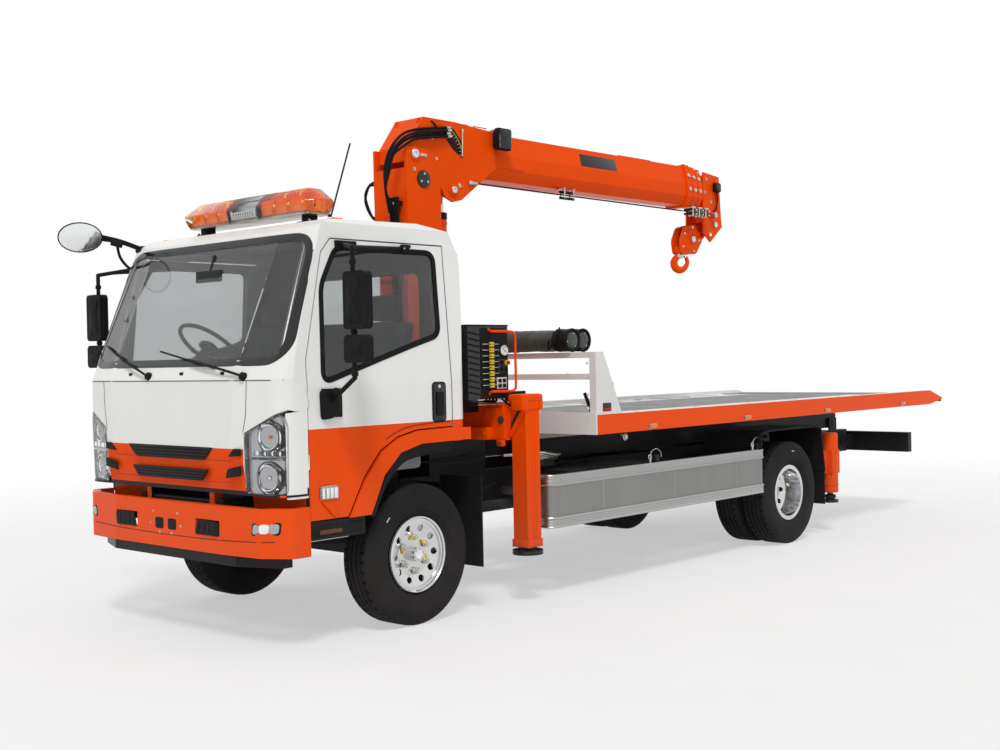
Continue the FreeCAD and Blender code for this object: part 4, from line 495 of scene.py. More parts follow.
class Kit:
    """One piece in the making: a mesh whose faces carry their finishes."""

    def __init__(self):
        self.mesh = bmesh.new()
        self.finishes = []

    def add(self, part, finish, place=None):
        """Takes over a part, in one finish."""
        if finish not in self.finishes:
            self.finishes.append(finish)
        number = self.finishes.index(finish)
        if place is not None:
            bmesh.ops.transform(part, matrix=place, verts=part.verts)
        bmesh.ops.recalc_face_normals(part, faces=part.faces)
        for face in part.faces:
            face.material_index = number
            face.smooth = True
        scrap = bpy.data.meshes.new("scrap")
        part.to_mesh(scrap)
        part.free()
        self.mesh.from_mesh(scrap)
        bpy.data.meshes.remove(scrap)

    def block(self, low, high, finish, edge=0.004, place=None):
        """A bar or plate with rounded edges between two corners."""
        low = Vector(low)
        high = Vector(high)
        size = high - low
        part = bmesh.new()
        form = Matrix.Translation((low + high) / 2) @ Matrix.Diagonal((*size, 1))
        bmesh.ops.create_cube(part, size=1, matrix=form)
        rounded(part, part.edges, min(edge, min(abs(s) for s in size) * 0.4))
        self.add(part, finish, place)

    def bar(self, start, end, radius, finish, sides=24, far=None, edge=0.15):
        """A round bar, or a cone where far gives the other radius; edge is a share of the radius."""
        start = Vector(start)
        end = Vector(end)
        run = end - start
        part = bmesh.new()
        bmesh.ops.create_cone(
            part, cap_ends=True, segments=sides, radius1=radius, radius2=radius if far is None else far,
            depth=run.length,
        )
        if edge and far is None:
            rims = [e for e in part.edges if any(len(f.verts) > 4 or sides < 5 for f in e.link_faces)]
            rounded(part, rims, min(radius * edge, run.length * 0.3))
        turn = run.to_track_quat("Z", "Y").to_matrix().to_4x4()
        self.add(part, finish, Matrix.Translation((start + end) / 2) @ turn)

    def turned(self, centre, along, profile, finish, steps=48):
        """A turned form; the profile holds (distance along the axis, radius)."""
        part = bmesh.new()
        rings = []
        for distance, radius in profile:
            if radius < 1e-6:
                rings.append([part.verts.new((0, 0, distance))])
                continue
            rings.append([part.verts.new((radius * math.cos(math.tau * k / steps),
                radius * math.sin(math.tau * k / steps), distance)) for k in range(steps)])
        for one, two in zip(rings, rings[1:]):
            for k in range(steps):
                corners = [one[k % len(one)], one[(k + 1) % len(one)], two[(k + 1) % len(two)],
                    two[k % len(two)]]
                kept = list(dict.fromkeys(corners))
                if len(kept) > 2:
                    part.faces.new(kept)
        turn = Vector(along).to_track_quat("Z", "Y").to_matrix().to_4x4()
        self.add(part, finish, Matrix.Translation(Vector(centre)) @ turn)

    def slab(self, outline, axis, near, far, finish, edge=0.003):
        """A plate square to an axis; the outline holds the other two coordinates in XYZ order."""
        number = "XYZ".index(axis)
        part = bmesh.new()
        verts = []
        for u, v in outline:
            corner = [u, v]
            corner.insert(number, near)
            verts.append(part.verts.new(corner))
        face = part.faces.new(verts)
        move = [0, 0, 0]
        move[number] = far - near
        grown = bmesh.ops.extrude_face_region(part, geom=[face])
        bmesh.ops.translate(part, vec=move, verts=[g for g in grown["geom"] if isinstance(g,
            bmesh.types.BMVert)])
        if edge:
            rounded(part, part.edges, min(edge, abs(far - near) * 0.4))
        self.add(part, finish)

    def plate(self, corners, radius, axis, near, far, finish, edge=0.003, inset=0.0):
        """A plate with rounded corners; inset shrinks it."""
        self.slab(moved_in(softened(corners, radius), inset), axis, near, far, finish, edge)

    def pipe(self, points, radius, finish, sides=12, steps=6, closed=False):
        """A round tube along a smooth line through points."""
        line = smooth_line(points, steps, closed)
        count = len(line)
        part = bmesh.new()
        side = None
        rings = []
        for i, point in enumerate(line):
            back = line[i - 1] if (i or closed) else point
            ahead = line[(i + 1) % count] if (i + 1 < count or closed) else point
            run = (ahead - back).normalized()
            if side is None:
                side = run.orthogonal().normalized()
            side = (side - run * side.dot(run)).normalized()
            other = run.cross(side)
            rings.append([part.verts.new(point + side * (radius * math.cos(math.tau * k / sides)) + other
                * (radius * math.sin(math.tau * k / sides))) for k in range(sides)])
        for i in range(count if closed else count - 1):
            one, two = rings[i], rings[(i + 1) % count]
            for k in range(sides):
                part.faces.new((one[k], one[(k + 1) % sides], two[(k + 1) % sides], two[k]))
        if not closed:
            part.faces.new(rings[0])
            part.faces.new(rings[-1])
        self.add(part, finish)

    def skin(self, rows, finish, closed=False):
        """A skin over rows of points."""
        part = bmesh.new()
        grid = [[part.verts.new(point) for point in row] for row in rows]
        for one, two in zip(grid, grid[1:]):
            for k in range(len(one) if closed else len(one) - 1):
                n = (k + 1) % len(one)
                part.faces.new((one[k], one[n], two[n], two[k]))
        self.add(part, finish)

    def bolt(self, at, along, radius, finish="zinc", height=None):
        """A hexagon head on its washer."""
        at = Vector(at)
        along = Vector(along).normalized()
        height = height or radius * 0.8
        self.bar(at, at + along * height * 0.25, radius * 1.35, finish, 20)
        self.bar(at + along * height * 0.2, at + along * height, radius, finish, 6)

    def pin(self, at, along, radius, finish="zinc"):
        """A pin's head with a bevelled rim and a hollow in its middle."""
        self.turned(at, along, [(0, radius), (radius * 0.35, radius), (radius * 0.5, radius * 0.85),
            (radius * 0.5, radius * 0.35), (radius * 0.35, radius * 0.25), (radius * 0.35, 0)], finish, 28)


def made(name, kit, body, replaces=(), sharp=35, thick=0.0):
    """Turns a kit into a piece, which rides on its body if one is named."""
    mesh = bpy.data.meshes.new(name)
    kit.mesh.to_mesh(mesh)
    kit.mesh.free()
    for finish in kit.finishes:
        mesh.materials.append(FINISHES[finish])
    mesh.shade_smooth()
    mesh.set_sharp_from_angle(angle=math.radians(sharp))
    piece = bpy.data.objects.new(name, mesh)
    bpy.context.scene.collection.objects.link(piece)
    if thick:
        wall = piece.modifiers.new("thickness", "SOLIDIFY")
        wall.thickness = thick
        wall.offset = 0
    if body:
        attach(piece, body)
    if replaces:
        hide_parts(*replaces)
    return piece


def surface_of(*names):
    """What a line meets on some CAD nodes."""
    whole = bmesh.new()
    for name in names:
        whole.from_mesh(NODES[name].data)
    tree = BVHTree.FromBMesh(whole)
    whole.free()
    return tree


def denser(line, group, steps=14):
    """The same outline with more points on each straight run between its rounded corners."""
    found = []
    for i, here in enumerate(line):
        found.append(here)
        if i % group == group - 1:
            ahead = line[(i + 1) % len(line)]
            found += [tuple(a + (b - a) * k / steps for a, b in zip(here, ahead)) for k in range(1, steps)]
    return found


def touch(tree, start, along, fallback):
    """Where a line from start meets a surface, or the fallback's distance along it."""
    found = tree.ray_cast(Vector(start), Vector(along))[0]
    if found is None:
        found = Vector(start) + Vector(along) * fallback
    return found


# ---------------------------------------------------------------- what a user may change

class TowTruckColours(bpy.types.PropertyGroup):
    """Colours of the truck"""

    orange: FloatVectorProperty(
        name="Orange", description="Lower cab, crane and bumper", subtype="COLOR", size=3,
        min=0, max=1, default=(0.9, 0.078, 0.0),
    )
    white: FloatVectorProperty(
        name="White", description="Upper cab", subtype="COLOR", size=3, min=0, max=1,
        default=(0.86, 0.86, 0.84),
    )
    bed: FloatVectorProperty(
        name="Bed white", description="Bed rails, headboard and deck", subtype="COLOR", size=3,
        min=0, max=1, default=(0.78, 0.78, 0.76),
    )
    black: FloatVectorProperty(
        name="Chassis black", description="Frame, axles and tanks", subtype="COLOR", size=3,
        min=0, max=1, default=(0.01, 0.01, 0.011),
    )
    trim: FloatVectorProperty(
        name="Cab trim", description="Lining inside the cab", subtype="COLOR", size=3,
        min=0, max=1, default=(0.28, 0.28, 0.285),
    )
    amber: FloatVectorProperty(
        name="Amber", description="Indicators, markers and beacons", subtype="COLOR", size=3,
        min=0, max=1, default=(1.0, 0.24, 0.01),
    )
    canvas: FloatVectorProperty(
        name="Canvas", description="The rolled cover", subtype="COLOR", size=3,
        min=0, max=1, default=(0.02, 0.032, 0.02),
    )


class TowTruckSizes(bpy.types.PropertyGroup):
    """Sizes of the trim"""

    tread: FloatProperty(
        name="Tread depth", description="How deep the tread's grooves are", unit="LENGTH",
        min=0.004, max=0.02, default=0.012,
    )
    lugs: IntProperty(
        name="Lugs", description="Blocks around a tyre", min=24, max=60, default=44,
    )
    seal: FloatProperty(
        name="Seal width", description="Rubber seal around the glass", unit="LENGTH",
        min=0.01, max=0.05, default=0.026,
    )
    hose: FloatProperty(
        name="Hose radius", description="Hydraulic hoses on the crane", unit="LENGTH",
        min=0.006, max=0.02, default=0.0095,
    )
    rope: FloatProperty(
        name="Rope radius", description="Wire rope on the winch", unit="LENGTH",
        min=0.004, max=0.012, default=0.006,
    )


NODE_FINISHES = {
    "black": ("frame_rails", "frame_crossmembers", "side_tanks", "rear_bar", "tilt_frame", "winch"),
    "iron": ("engine", "front_axle", "rear_axle", "knuckle_left", "knuckle_right"),
    "base": ("crane_base",),
    "orange": ("grille", "crane_column", "boom_base", "boom_stage_1",
               "boom_stage_2", "boom_stage_3", "hook_block", "luff_barrel", "outrigger_beam_left",
               "outrigger_beam_right", "rear_jack_housings"),
    "aluminium": ("side_guards",),
    "deck": ("bed_floor",),
    "bumper": ("front_bumper",),
    "skirt": ("cab_skirts",),
    "nose": ("cab_front",),
    "plastic": ("mudguards", "nose_mirror", "mirrors_left", "mirrors_right"),
    "gloss_black": ("control_cabinet",),
    "cab": ("cab_roof", "cab_back", "cab_floor", "door_left", "door_right"),
    "glass": ("cab_glass", "door_glass_left", "door_glass_right"),
    "lens": ("cab_lamps",),
    "trim": ("cab_interior",),
    "amber": ("lightbar",),
    "wheel": ("rim_front_left", "rim_front_right", "rims_rear_left", "rims_rear_right"),
    "tyre": ("tyre_front_left", "tyre_front_right", "tyres_rear_left", "tyres_rear_right"),
    "steel": ("luff_rod",),
    "jack": ("jack_left", "jack_right", "rear_jacks"),
    "rail": ("bed_rails",),
    "bed": ("headboard",),
    "canvas": ("canvas_roll",),
}


class TRUCK_OT_stage(bpy.types.Operator):
    """Sets up the floor, the soft light, the pale surroundings and the camera"""

    bl_idname = "truck.stage"
    bl_label = "Stage"

    def execute(self, context):
        scene = context.scene
        scene.view_settings.view_transform = "Standard"
        part = bmesh.new()
        bmesh.ops.create_grid(part, x_segments=24, y_segments=24, size=40)
        mesh = bpy.data.meshes.new("floor")
        part.to_mesh(mesh)
        part.free()
        floor = bpy.data.objects.new("floor", mesh)
        scene.collection.objects.link(floor)
        mesh.materials.append(self.floor_finish())

        world = bpy.data.worlds.new("surroundings")
        scene.world = world
        world.use_nodes = True
        tree = world.node_tree
        light = tree.nodes["Background"]
        light.inputs["Color"].default_value = (1, 1, 1, 1)
        light.inputs["Strength"].default_value = 0.55
        seen = tree.nodes.new("ShaderNodeBackground")
        seen.inputs["Color"].default_value = (1, 1, 1, 1)
        seen.inputs["Strength"].default_value = 1.0
        shared(tree, seen_share(tree), light, seen, "World Output")

        sun = bpy.data.objects.new("sun", bpy.data.lights.new("sun", "SUN"))
        sun.data.energy = 1.5
        sun.data.angle = math.radians(12)
        sun.rotation_euler = Vector((-0.41, 0.41, -0.82)).to_track_quat("-Z", "Y").to_euler()
        scene.collection.objects.link(sun)

        camera = bpy.data.objects.new("camera", bpy.data.cameras.new("camera"))
        camera.location = (6.4996, -8.285, 1.5852)
        camera.rotation_euler = [math.radians(a) for a in (89.28125, 1.17171, 42.43786)]
        camera.data.lens = 46.219
        camera.data.sensor_width = 36
        camera.data.clip_end = 200
        scene.collection.objects.link(camera)
        scene.camera = camera
        return {"FINISHED"}

    @staticmethod
    def floor_finish():
        """Pale floor that runs out into the surroundings."""
        finish = Finish("floor_paint", Roughness=0.9)
        tree = finish.tree
        finish.colour(ramp(tree, grain(tree, finish.place, 1.3, 5.0), (0.8, 0.8, 0.79), (0.84, 0.84, 0.83)))
        across, along, up = finish.coordinates()
        away = measure(tree, "SQRT", measure(tree, "ADD", measure(tree, "MULTIPLY", across, across),
            measure(tree, "MULTIPLY", along, along)))
        fade = tree.nodes.new("ShaderNodeMapRange")
        fade.interpolation_type = "SMOOTHSTEP"
        fade.inputs["From Min"].default_value = 3.5
        fade.inputs["From Max"].default_value = 12.0
        fade.inputs["To Min"].default_value = 0.5
        tree.links.new(away, fade.inputs["Value"])
        glow = tree.nodes.new("ShaderNodeEmission")
        glow.inputs["Strength"].default_value = 1.0
        share = measure(tree, "MULTIPLY", fade.outputs["Result"], seen_share(tree))
        shared(tree, share, finish.shader, glow, "Material Output")
        return finish.material


class TRUCK_OT_paint(bpy.types.Operator):
    """Makes every finish and puts each on the parts that wear it"""

    bl_idname = "truck.paint"
    bl_label = "Paint"

    def execute(self, context):
        FINISHES.update(make_finishes(context.scene.truck_colours))
        done = set()
        for finish, names in NODE_FINISHES.items():
            for name in names:
                mesh = NODES[name].data
                if not mesh.materials:
                    mesh.materials.append(None)
                for number in range(len(mesh.materials)):
                    mesh.materials[number] = FINISHES[finish]
                mesh.shade_smooth()
                mesh.set_sharp_from_angle(angle=math.radians(30))
                done.add(name)
        left = sorted(set(NODES) - done)
        if left:
            raise RuntimeError(f"no finish for {left}")
        return {"FINISHED"}


# ---------------------------------------------------------------- wheels

TYRE_PROFILE = (
    (0.082, 0.229), (0.098, 0.245), (0.108, 0.27), (0.1115, 0.274), (0.1125, 0.283), (0.1175, 0.318),
    (0.1172, 0.345), (0.115, 0.366), (0.113, 0.368), (0.1085, 0.392), (0.1, 0.412), (0.089, 0.4225),
)
TREAD_COLUMNS = (
    (0.082, 0.424, 1.0), (0.064, 0.4245, 1.0), (0.061, 0.4245, 1.0), (0.059, 0.4245, 2.0),
    (0.051, 0.4245, 2.0), (0.049, 0.4247, 0.3), (0.03, 0.425, 0.3), (0.027, 0.425, 0.3),
    (0.025, 0.425, 2.0), (0.017, 0.425, 2.0), (0.015, 0.425, 0.3), (0.005, 0.425, 0.3),
)


def tyre(kit, middle, y, tread, lugs):
    """One tyre with ribs and cross grooves around the axle line."""
    half = [(x, r, 0.0) for x, r in TYRE_PROFILE] + list(TREAD_COLUMNS)
    across = half + [(-x, r, cutting) for x, r, cutting in reversed(half)]
    steps = lugs * 6
    rows = []
    for k in range(steps):
        row = []
        for x, r, cutting in across:
            slant = 1 if abs(x) > 0.055 else 3
            groove = (k + (0 if x > 0 else slant)) % 6 == 0
            depth = tread if cutting == 2.0 else tread * cutting * groove
            turn = math.tau * (k + 0.5 * (abs(x) < 0.055) * (x > 0)) / steps
            reach = r - depth
            row.append((middle + x, y + reach * math.cos(turn), HUB + reach * math.sin(turn)))
        rows.append(row)
    rows.append(rows[0])
    kit.skin(rows, "tyre")


class TRUCK_OT_tyres(bpy.types.Operator):
    """Moulds the tyres with ribs, cross grooves and sidewall rings"""

    bl_idname = "truck.tyres"
    bl_label = "Tyres"

    def execute(self, context):
        sizes = context.scene.truck_sizes
        for side, sign in SIDES:
            kit = Kit()
            tyre(kit, sign * 0.84, FRONT_AXLE, sizes.tread, sizes.lugs)
            self.dash(kit, sign * 0.9575, FRONT_AXLE, 2.4)
            made(f"front_tyre_{side}", kit, f"front_{side}_wheel", [f"tyre_front_{side}"], 28)
            kit = Kit()
            for middle in (0.691, 0.959):
                tyre(kit, sign * middle, REAR_AXLE, sizes.tread, sizes.lugs)
            self.dash(kit, sign * 1.0765, REAR_AXLE, 1.49)
            made(f"rear_tyres_{side}", kit, f"rear_{side}_wheels", [f"tyres_rear_{side}"], 28)
        return {"FINISHED"}

    @staticmethod
    def dash(kit, x, y, turn):
        """A balance mark on the sidewall."""
        arc = [Vector((x, y + 0.345 * math.cos(t), HUB + 0.345 * math.sin(t))) for t in (turn - 0.05, turn,
            turn + 0.05)]
        kit.pipe(arc, 0.0035, "white_plastic", 8, 4)


class TRUCK_OT_wheel_trim(bpy.types.Operator):
    """Fits nut pointers, valves, rim rings and hub bolts"""

    bl_idname = "truck.wheel_trim"
    bl_label = "Wheel trim"

    def execute(self, context):
        for side, sign in SIDES:
            for end, y, disc, hub, rim in (("front", FRONT_AXLE, 0.9, 0.948, 0.936),
                    ("rear", REAR_AXLE, 0.84, 0.92, 1.04)):
                kit = Kit()
                out = Vector((sign, 0, 0))
                for k in range(6):
                    turn = math.radians(30 + 60 * k)
                    y_nut = y + 0.102 * math.cos(turn)
                    z_nut = HUB + 0.102 * math.sin(turn)
                    at = Vector((sign * (disc + 0.003), y_nut, z_nut))
                    kit.bar(at, at + out * 0.01, 0.0215, "zinc", 24)
                    tip = turn + 1.9
                    tag = [(y_nut + 0.042 * math.cos(tip), z_nut + 0.042 * math.sin(tip)),
                        (y_nut + 0.021 * math.cos(tip + 0.9), z_nut + 0.021 * math.sin(tip + 0.9)),
                        (y_nut + 0.021 * math.cos(tip - 0.9), z_nut + 0.021 * math.sin(tip - 0.9))]
                    kit.slab(tag, "X", sign * (disc + 0.003), sign * (disc + 0.011), "yellow", 0.0015)
                    kit.bar(at + out * 0.01, at + out * 0.029, 0.0168, "zinc", 6)
                    kit.bar(at + out * 0.027, at + out * 0.031, 0.012, "zinc", 20)
                for k in range(12):
                    turn = math.tau * (k + 0.5) / 12
                    cap_ring = 0.034 if end == "front" else 0.05
                    at = Vector((sign * (hub - 0.004), y + cap_ring * math.cos(turn),
                        HUB + cap_ring * math.sin(turn)))
                    if k % 2 == 0:
                        kit.bar(at, at + out * 0.007, 0.0055, "zinc", 6)
                ring = [(0, 0.2265), (0.006, 0.2285), (0.01, 0.2265), (0.012, 0.22), (0.006, 0.215),
                    (0, 0.215)]
                kit.turned((sign * (rim - 0.002), y, HUB), out, ring, "wheel", 72)
                kit.turned((sign * (hub - 0.001), y, HUB), out,
                    [(0, 0.028), (0.002, 0.027), (0.003, 0.02), (0.0015, 0.017), (0.0015, 0)], "chrome", 32)
                valve = Vector((sign * (rim - 0.035), y + 0.198 * math.cos(2.2), HUB + 0.198 * math.sin(2.2)))
                kit.pipe([valve, valve + out * 0.016, valve + out * 0.03 + Vector((0, 0.01, -0.006))],
                    0.0042, "zinc", 10, 4)
                body = f"front_{side}_wheel" if end == "front" else f"rear_{side}_wheels"
                made(f"{end}_wheel_trim_{side}", kit, body)
        return {"FINISHED"}


# ---------------------------------------------------------------- cab

def laid_band(kit, line, reach, inward, outward, proud, finish):
    """A strip along an outline on a surface; reach turns (u, v) into a point and its outward direction."""
    rows = []
    ladder = ((-inward, 0.0), (-inward * 0.7, proud), (outward * 0.7, proud), (outward, 0.0))
    for u, v, out_u, out_v in line:
        row = []
        for offset, height in ladder:
            point, away = reach(u + out_u * offset, v + out_v * offset)
            row.append(point + away * (height + 0.0008))
        rows.append(row)
    rows.append(rows[0])
    kit.skin(rows, finish)


WINDSCREEN = ((-0.93, 1.606), (0.93, 1.606), (0.858, 2.292), (-0.858, 2.292))
BORDER = ((-0.984, 1.574), (0.984, 1.574), (0.936, 2.318), (-0.936, 2.318))
REAR_WINDOW = ((-0.6, 1.65), (0.6, 1.65), (0.6, 2.15), (-0.6, 2.15))
DOOR_WINDOW = ((-0.742, 1.485), (-0.345, 1.602), (-0.06, 1.685), (0.165, 1.745), (0.165, 2.225),
    (-0.59, 2.225), (-0.712, 2.01))


class TRUCK_OT_glazing(bpy.types.Operator):
    """Lays the seals around the glass and fits wipers and washer jets"""

    bl_idname = "truck.glazing"
    bl_label = "Glazing"

    def execute(self, context):
        width = context.scene.truck_sizes.seal
        front = surface_of("cab_front", "cab_glass", "cab_roof")
        back = surface_of("cab_back", "cab_glass")
        kit = Kit()

        def ahead(x, z):
            away = Vector((0, -0.94, 0.34))
            for share in (1.0, 0.99, 0.98, 0.97, 0.96, 0.95, 0.94):
                found = front.ray_cast(Vector((x * share, -4.6, z)), Vector((0, 1, 0)))[0]
                if found and found.y < -3.55:
                    return found, away
            raise RuntimeError(f"nothing of the cab's front at {x}, {z}")

        def astern(x, z):
            return touch(back, (x, -2.2, z), (0, -1, 0), 0.36), Vector((0, 1, 0))

        inner = denser(softened(WINDSCREEN, 0.085, 10), 11)
        outer = denser(softened(BORDER, 0.17, 10), 11)
        # Inner band: opaque dark paint over the pillars beside the windscreen, painted shade for the dark cab
        # seen through glass there. Outer band: the black border.
        for finish, strip in (("pillar_painted_shade", ((-0.25, 0.001), (-0.2, 0.0022), (0.3, 0.0022),
                (0.75, 0.0022))), ("gloss_black", ((0.046, 0.001), (0.044, 0.004), (0.022, 0.0044),
                (0.003, 0.004), (0.0, 0.001)))):
            rows = []
            for one, two in zip(inner, outer):
                row = []
                for place, proud in strip:
                    if finish == "gloss_black":
                        point, away = ahead(two[0] - two[2] * place, two[1] - two[3] * place)
                    else:
                        point, away = ahead(one[0] + (two[0] - one[0]) * place,
                            one[1] + (two[1] - one[1]) * place)
                    row.append(point + away * proud)
                rows.append(row)
            kit.skin(rows + rows[:1], finish)
        for sign in (1, -1):
            seam = [ahead(sign * x, z)[0] for x, z in ((0.7, 1.212), (0.722, 1.3), (0.73, 1.4),
                (0.735, 1.492))]
            kit.pipe(seam, 0.0022, "dark_trim", 6, 4)
        kit.pipe([ahead(-0.975 + 1.95 * k / 30, 1.495)[0] for k in range(31)], 0.0025, "dark_trim", 6, 1)
        laid_band(kit, softened(REAR_WINDOW, 0.06, 8), astern, 0.01, width, 0.008, "rubber")
        for pivot, tip in (((-0.211, 1.522), (-0.841, 1.712)), ((0.708, 1.516), (-0.166, 1.667))):
            base, away = ahead(*pivot)
            end = ahead(*tip)[0]
            middle = ahead((pivot[0] + tip[0]) / 2, (pivot[1] + tip[1]) / 2)[0]
            kit.turned(base - away * 0.004, away, [(0, 0.026), (0.022, 0.022), (0.03, 0.012), (0.032, 0)],
                "plastic", 24)
            kit.pipe([base + away * 0.022, base.lerp(end, 0.2) + away * 0.04, middle + away * 0.034,
                base.lerp(end, 0.62) + away * 0.026], 0.0075, "plastic", 10, 5)
            blade = [base.lerp(end, 0.3 + 0.7 * k / 8) for k in range(9)]
            blade = [ahead(p.x, p.z)[0] + away * 0.01 for p in blade]
            kit.pipe(blade, 0.0055, "rubber", 8, 2)
            kit.pipe([p + away * 0.009 for p in blade[1:-1]], 0.004, "plastic", 8, 2)
        for x in (-0.42, 0.12, 0.52):
            base, away = ahead(x, 1.535)
            kit.block(base - Vector((0.016, 0.006, 0.008)), base + Vector((0.016, 0.012, 0.01)), "plastic",
                0.004)
        made("windscreen_trim", kit, "cab")
        for side, sign in SIDES:
            flank = surface_of(f"door_{side}", f"door_glass_{side}")
            kit = Kit()

            def outside(y, z):
                return touch(flank, (sign * 1.3, y, z), (-sign, 0, 0),
                    0.32), Vector((sign, 0, 0.08)).normalized()

            outline = [(behind(d), z) for d, z in DOOR_WINDOW]
            laid_band(kit, softened(outline, 0.055, 8), outside, 0.008, width, 0.006, "rubber")
            low = behind(0.083)
            high = behind(0.2)
            rim = softened([(low, 1.213), (high, 1.213), (high, 1.455), (low, 1.455)], 0.03, 6)
            skin = outside((low + high) / 2, 1.33)[0].x
            kit.slab(moved_in(rim), "X", skin - sign * 0.001, skin + sign * 0.004, "plastic", 0.002)
            kit.slab(moved_in(rim, 0.01), "X", skin + sign * 0.003, skin + sign * 0.0055, "gloss_black",
                0.001)
            kit.block((skin + sign * 0.005, low + 0.03, 1.25), (skin + sign * 0.02, high - 0.03, 1.395),
                "plastic", 0.007)
            kit.turned((skin + sign * 0.005, (low + high) / 2, 1.428), (sign, 0, 0),
                [(0, 0.011), (0.004, 0.011), (0.005, 0.009), (0.003, 0.008), (0.003, 0)], "steel", 24)
            face = outside(behind(-0.735), 0.861)[0].x
            lamp = [(behind(d), z) for d, z in ((-0.8, 0.822), (-0.67, 0.822), (-0.67, 0.904), (-0.8, 0.904))]
            point = [(behind(d), z) for d, z in ((-0.799, 0.83), (-0.672, 0.83), (-0.662, 0.745),
                (-0.68, 0.722), (-0.7, 0.73))]
            kit.plate(point, 0.016, "X", face - sign * 0.002, face + sign * 0.012, "orange", 0.005)
            kit.plate(lamp, 0.022, "X", face - sign * 0.002, face + sign * 0.01, "lamp_bed", 0.003)
            kit.plate(lamp, 0.022, "X", face + sign * 0.008, face + sign * 0.02, "lens", 0.006, 0.006)
            for k in range(4):
                kit.block((face + sign * 0.008, lamp[0][0] + 0.012 + k * 0.028, 0.834),
                    (face + sign * 0.014, lamp[0][0] + 0.036 + k * 0.028, 0.892), "chrome", 0.004)
            # A thin dark line along the door's crease: painted shade in the crease.
            crease_shade_line = [outside(behind(d), z)[0] + Vector((sign * 0.0012, 0, 0)) for d,
                z in ((-0.3, 1.135), (-0.15, 1.19), (0.05, 1.208), (0.235, 1.212))]
            kit.pipe(crease_shade_line, 0.0022, "dark_trim", 6, 5)
            made(f"door_trim_{side}", kit, f"{side}_door")
        return {"FINISHED"}


LAMP_EDGE = ((0.706, 0.874), (0.98, 0.874), (0.984, 1.255), (0.962, 1.314), (0.708, 1.203))


class TRUCK_OT_headlamps(bpy.types.Operator):
    """Builds the stacked headlamps behind their clear lenses, and the roof markers"""

    bl_idname = "truck.headlamps"
    bl_label = "Headlamps"

    def execute(self, context):
        kit = Kit()
        skin = surface_of("cab_lamps", "cab_front", "cab_floor")
        for _, sign in SIDES:
            outline = softened([(sign * x, z) for x, z in LAMP_EDGE], 0.028, 6)
            middle = Vector((sum(p[0] for p in outline), sum(p[1] for p in outline))) / len(outline)
            edge = []
            for u, v, a, b in outline:
                inward = Vector((u, v)).lerp(middle, 0.02)
                point = touch(skin, (inward.x, -4.6, inward.y), (0, 1, 0), 0.57)
                edge.append((u, point.y, v))
            plane = self.lean(edge)
            rows = [[(x, y + 0.001, z) for x, y, z in edge], [(x, y + 0.05, z) for x, y, z in edge]]
            kit.skin([row + row[:1] for row in rows], "lamp_bed")
            lens = []
            for share, proud in ((1.0, 0.0), (0.985, 0.006), (0.93, 0.009), (0.8, 0.01), (0.55, 0.011),
                    (0.0, 0.011)):
                row = []
                for x, y, z in edge:
                    x = middle.x + (x - middle.x) * share
                    z = middle.y + (z - middle.y) * share
                    row.append((x, plane(x, z) - proud, z))
                lens.append(row + row[:1])
            kit.skin(lens, "lens")
            bed = []
            for share in (1.0, 0.9, 0.5, 0.0):
                row = []
                for x, y, z in edge:
                    x = middle.x + (x - middle.x) * share * 0.995
                    z = middle.y + (z - middle.y) * share * 0.995
                    row.append((x, plane(x, z) + 0.048, z))
                bed.append(row + row[:1])
            kit.skin(bed, "lamp_bed")
            for x, z, radius, bulb in ((0.845, 0.962, 0.08, "chrome"), (0.86, 1.185, 0.078, "amber")):
                at = Vector((sign * x, plane(sign * x, z) + 0.03, z))
                bowl = [(-0.034, 0), (-0.032, radius * 0.35), (-0.022, radius * 0.7),
                    (-0.004, radius * 0.96), (0.006, radius), (0.01, radius * 1.06), (0.004, radius * 1.14),
                    (-0.012, radius * 1.16)]
                kit.turned(at, (sign * 0.1, -1, 0), bowl, "chrome", 44)
                kit.turned(at, (sign * 0.1, -1, 0), [(-0.03, 0.012), (-0.004, 0.011), (0.004, 0.006),
                    (0.005, 0)], bulb, 20)
                kit.turned(at, (sign * 0.1, -1, 0), [(-0.031, radius * 0.3), (-0.024, radius * 0.32),
                    (-0.024, radius * 0.26), (-0.031, radius * 0.24)], "lamp_bed", 30)
            lamp_y = plane(sign * 0.85, 1.07) + 0.016
            kit.block((sign * 0.722, lamp_y, 1.06), (sign * 0.962, lamp_y + 0.03, 1.074), "lamp_bed", 0.004)
            for k in range(4):
                x = 0.73 + k * 0.058
                kit.block((sign * x, lamp_y + 0.004, 1.08), (sign * (x + 0.048), lamp_y + 0.03, 1.112),
                    "chrome", 0.008)
            kit.slab(moved_in(softened([(sign * 0.815, 2.378), (sign * 0.875, 2.378), (sign * 0.87, 2.414),
                (sign * 0.82, 2.414)], 0.012, 4)), "Y", -3.503, -3.44, "amber", 0.01)
            low, high = -3.936, -3.834
            rows = []
            for y, x in ((low - 0.028, 0.972), (low - 0.016, 0.984), (low, 0.9925), (low + 0.04, 0.9985),
                    (high, 0.999), (high, 0.96)):
                rows.append([(sign * x, y, z) for z in (0.848, 0.862, 1.1, 1.318 + (y - low) * 0.12)])
            kit.skin(rows, "white")
        made("headlamps", kit, "cab", ["cab_lamps"])
        return {"FINISHED"}

    @staticmethod
    def lean(points):
        """The sloping face that lies nearest to some points, as a function of x and z."""
        rows = [(1.0, x, z) for x, y, z in points]
        square = Matrix([[sum(r[i] * r[k] for r in rows) for k in range(3)] for i in range(3)])
        right = Vector([sum(r[i] * p[1] for r, p in zip(rows, points)) for i in range(3)])
        flat = square.inverted() @ right
        return lambda x, z: flat[0] + flat[1] * x + flat[2] * z


